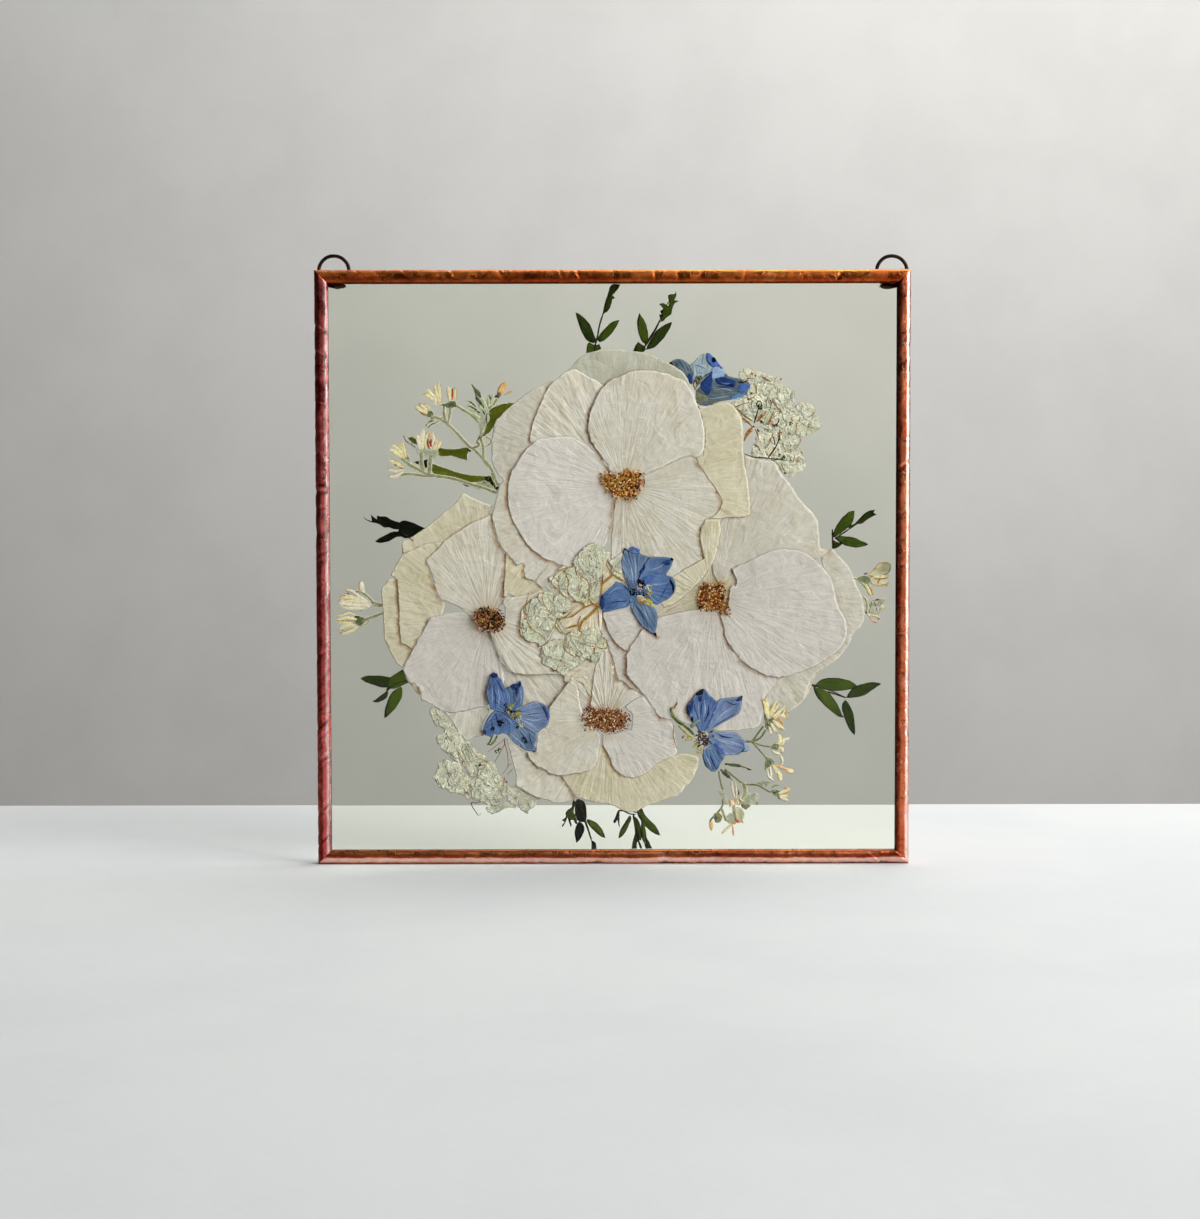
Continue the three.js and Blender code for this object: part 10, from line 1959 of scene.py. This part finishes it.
def floret_tube(pc, pts, w_, y, kind, r, seed):
    strand(pc, pts, w_, y, WF[kind], taper=(0.5, 0.85, 1.0, 0.95, 0.5), hue=float(r.uniform(0.35, 0.75)), seed=seed)
    if kind in ("c", "p") and w_ > 0.75:
        c, t, n_ = offsets(pts, 0.5)
        # edge lines: a brown line mostly on one side and a white line mostly on the other; the white line is a painted
        # highlight
        for sd in (-1, 1):
            q = c + n_ * (sd * w_ * 0.43 * np.interp(np.linspace(0, 1, len(c)), (0, 0.3, 0.8, 1), (0.6, 0.95, 1.0, 0.55)))[:, None]
            tube(pc, [(a_[0], y - 0.05, a_[1]) for a_ in q], 0.09, 0.10, FEDGE if (sd > 0) == (r.random() < 0.75) else WF["w"], sides=4, flat=0.6, hue=float(r.uniform(0.3, 0.7)))
        e = c[-1]
        for _ in range(3):
            d_ = t[-1] + n_[-1] * r.uniform(-0.8, 0.8)
            strand(pc, [tuple(e - t[-1] * 0.3), tuple(e + d_ * r.uniform(0.3, 0.6))], 0.26, y - 0.06, FEDGE if r.random() < 0.5 else WF["c"], seed=seed)


for wi, (k, node) in enumerate((("upper_left", "woolly_sprig_upper_left"), ("left", "woolly_sprig_left"), ("right", "woolly_sprig_right"),
                                ("lower_right", "woolly_sprig_lower_right"), ("bottom", "woolly_sprig_bottom"))):
    pc = Piece(node + "_dry", node)
    r = rng(1500 + wi)
    y = ylev("wo_" + k)
    spec = WOOLS[k]
    dens = spec["hair"] * 1.0
    for j, (kind, o) in enumerate(spec["leaf"]):
        woolly_leaf(pc, o, kind, y + 0.09 - 0.006 * j, r, 1520 + wi * 40 + j, dens)
    for j, (pts, w_) in enumerate(spec["stem"]):
        woolly_stem(pc, pts, w_, y - 0.01, r, dens, 1700 + j)
    for j, (kind, pts, w_) in enumerate(spec["spike"]):
        strand(pc, pts, w_, y - 0.06 - 0.002 * j, WF[kind], taper=(0.7, 1.0, 0.9, 0.6, 0.2), hue=float(r.uniform(0.3, 0.7)), seed=j)
        if kind in ("gd", "gl") and w_ > 0.8:
            c, t, n_ = offsets(pts, 0.5)
            for sd in (-1, 1):
                q = c + n_ * sd * (w_ * 0.4 * np.linspace(1.0, 0.4, len(c)))[:, None]
                tube(pc, [(a_[0], y - 0.09, a_[1]) for a_ in q], 0.11, 0.07, WHAIR, sides=4, flat=0.7, hue=0.6)
    for j, (kind, pts, w_) in enumerate(spec["flo"]):
        floret_tube(pc, pts, w_, y - 0.05 - 0.0015 * j, kind, r, 1800 + j)
    pc.done()
# ---------------------------------------------------------------- stage and lights
bpy.context.scene.view_settings.view_transform = 'Standard'
KEY_W, FILL_W, BACK_W, WORLD_S = 22.4, 4.9, 28.5, 0.265


def stage_mat(name, base, alt):
    m = Nodes(name)
    co = m.coord()
    col = m.mix(m.ramp(m.noise(co, 6.0, 6.0, 0.6), 0.35, 0.65), srgb(*base), srgb(*alt))
    m.link(col, m.p.inputs['Base Color'])
    m.set(Roughness=0.85, Specular_IOR_Level=0.2)
    m.bump(m.noise(co, 160.0, 6.0, 0.6), 0.12, 0.001)
    return m.mat


def slab(name, lo, hi, mat):
    (x0, y0, z0), (x1, y1, z1) = lo, hi
    v = [(x0, y0, z0), (x1, y0, z0), (x1, y1, z0), (x0, y1, z0), (x0, y0, z1), (x1, y0, z1), (x1, y1, z1), (x0, y1, z1)]
    f = [(3, 2, 1, 0), (4, 5, 6, 7), (0, 1, 5, 4), (1, 2, 6, 5), (2, 3, 7, 6), (3, 0, 4, 7)]
    me = bpy.data.meshes.new(name)
    me.from_pydata(v, [], f)
    me.materials.append(mat)
    ob = bpy.data.objects.new(name, me)
    bpy.context.scene.collection.objects.link(ob)
    return ob


slab("floor", (-3.0, -3.0, -0.12), (3.0, 0.181, 0.0), stage_mat("floor_paint", (226, 228, 228), (220, 223, 224)))
slab("backdrop", (-4.0, 1.7, -2.0), (4.0, 1.75, 3.5), stage_mat("backdrop_paint", (214, 213, 210), (209, 208, 205)))


def lamp(name, loc, target, size, power, colour=(1, 1, 1), size_y=None):
    d = bpy.data.lights.new(name, 'AREA')
    d.shape = 'RECTANGLE'
    d.size = size
    d.size_y = size_y or size
    d.energy = power
    d.color = colour
    o = bpy.data.objects.new(name, d)
    o.location = loc
    o.rotation_euler = (Vector(target) - Vector(loc)).to_track_quat('-Z', 'Y').to_euler()
    bpy.context.scene.collection.objects.link(o)
    return o


lamp("window", (1.35, -0.75, 0.75), (0, 0, 0.12), 0.9, KEY_W, (1.0, 0.99, 0.975), 1.2)
lamp("fill", (1.0, -1.3, 0.75), (0, 0, 0.12), 0.8, FILL_W, (0.98, 0.99, 1.0), 1.1)
lamp("backdrop_light", (0.6, 0.7, 1.6), (0, 1.7, 0.3), 1.6, BACK_W, (1.0, 0.99, 0.97))
world = bpy.data.worlds.new("world")
bpy.context.scene.world = world
world.use_nodes = True
# the room: pale everywhere but dim behind the viewer, so that the glass stays clear
wt = world.node_tree
bg = wt.nodes["Background"]
tc = wt.nodes.new('ShaderNodeTexCoord')
sx = wt.nodes.new('ShaderNodeSeparateXYZ')
wt.links.new(tc.outputs['Generated'], sx.inputs[0])
mr = wt.nodes.new('ShaderNodeMapRange')
mr.interpolation_type = 'SMOOTHSTEP'
mr.inputs['From Min'].default_value = -0.97
mr.inputs['From Max'].default_value = -0.55
mr.inputs['To Min'].default_value = 0.1
mr.inputs['To Max'].default_value = 1.0
wt.links.new(sx.outputs['Y'], mr.inputs['Value'])
mu = wt.nodes.new('ShaderNodeMath')
mu.operation = 'MULTIPLY'
mu.inputs[1].default_value = WORLD_S
wt.links.new(mr.outputs[0], mu.inputs[0])
# brighter on the window's side of the room
mx_ = wt.nodes.new('ShaderNodeMapRange')
mx_.inputs['From Min'].default_value = -0.8
mx_.inputs['From Max'].default_value = 0.8
mx_.inputs['To Min'].default_value = 0.5
mx_.inputs['To Max'].default_value = 1.45
wt.links.new(sx.outputs['X'], mx_.inputs['Value'])
mu2 = wt.nodes.new('ShaderNodeMath')
mu2.operation = 'MULTIPLY'
wt.links.new(mu.outputs[0], mu2.inputs[0])
wt.links.new(mx_.outputs[0], mu2.inputs[1])
wt.links.new(mu2.outputs[0], bg.inputs[1])
bg.inputs[0].default_value = (0.84, 0.86, 0.88, 1)
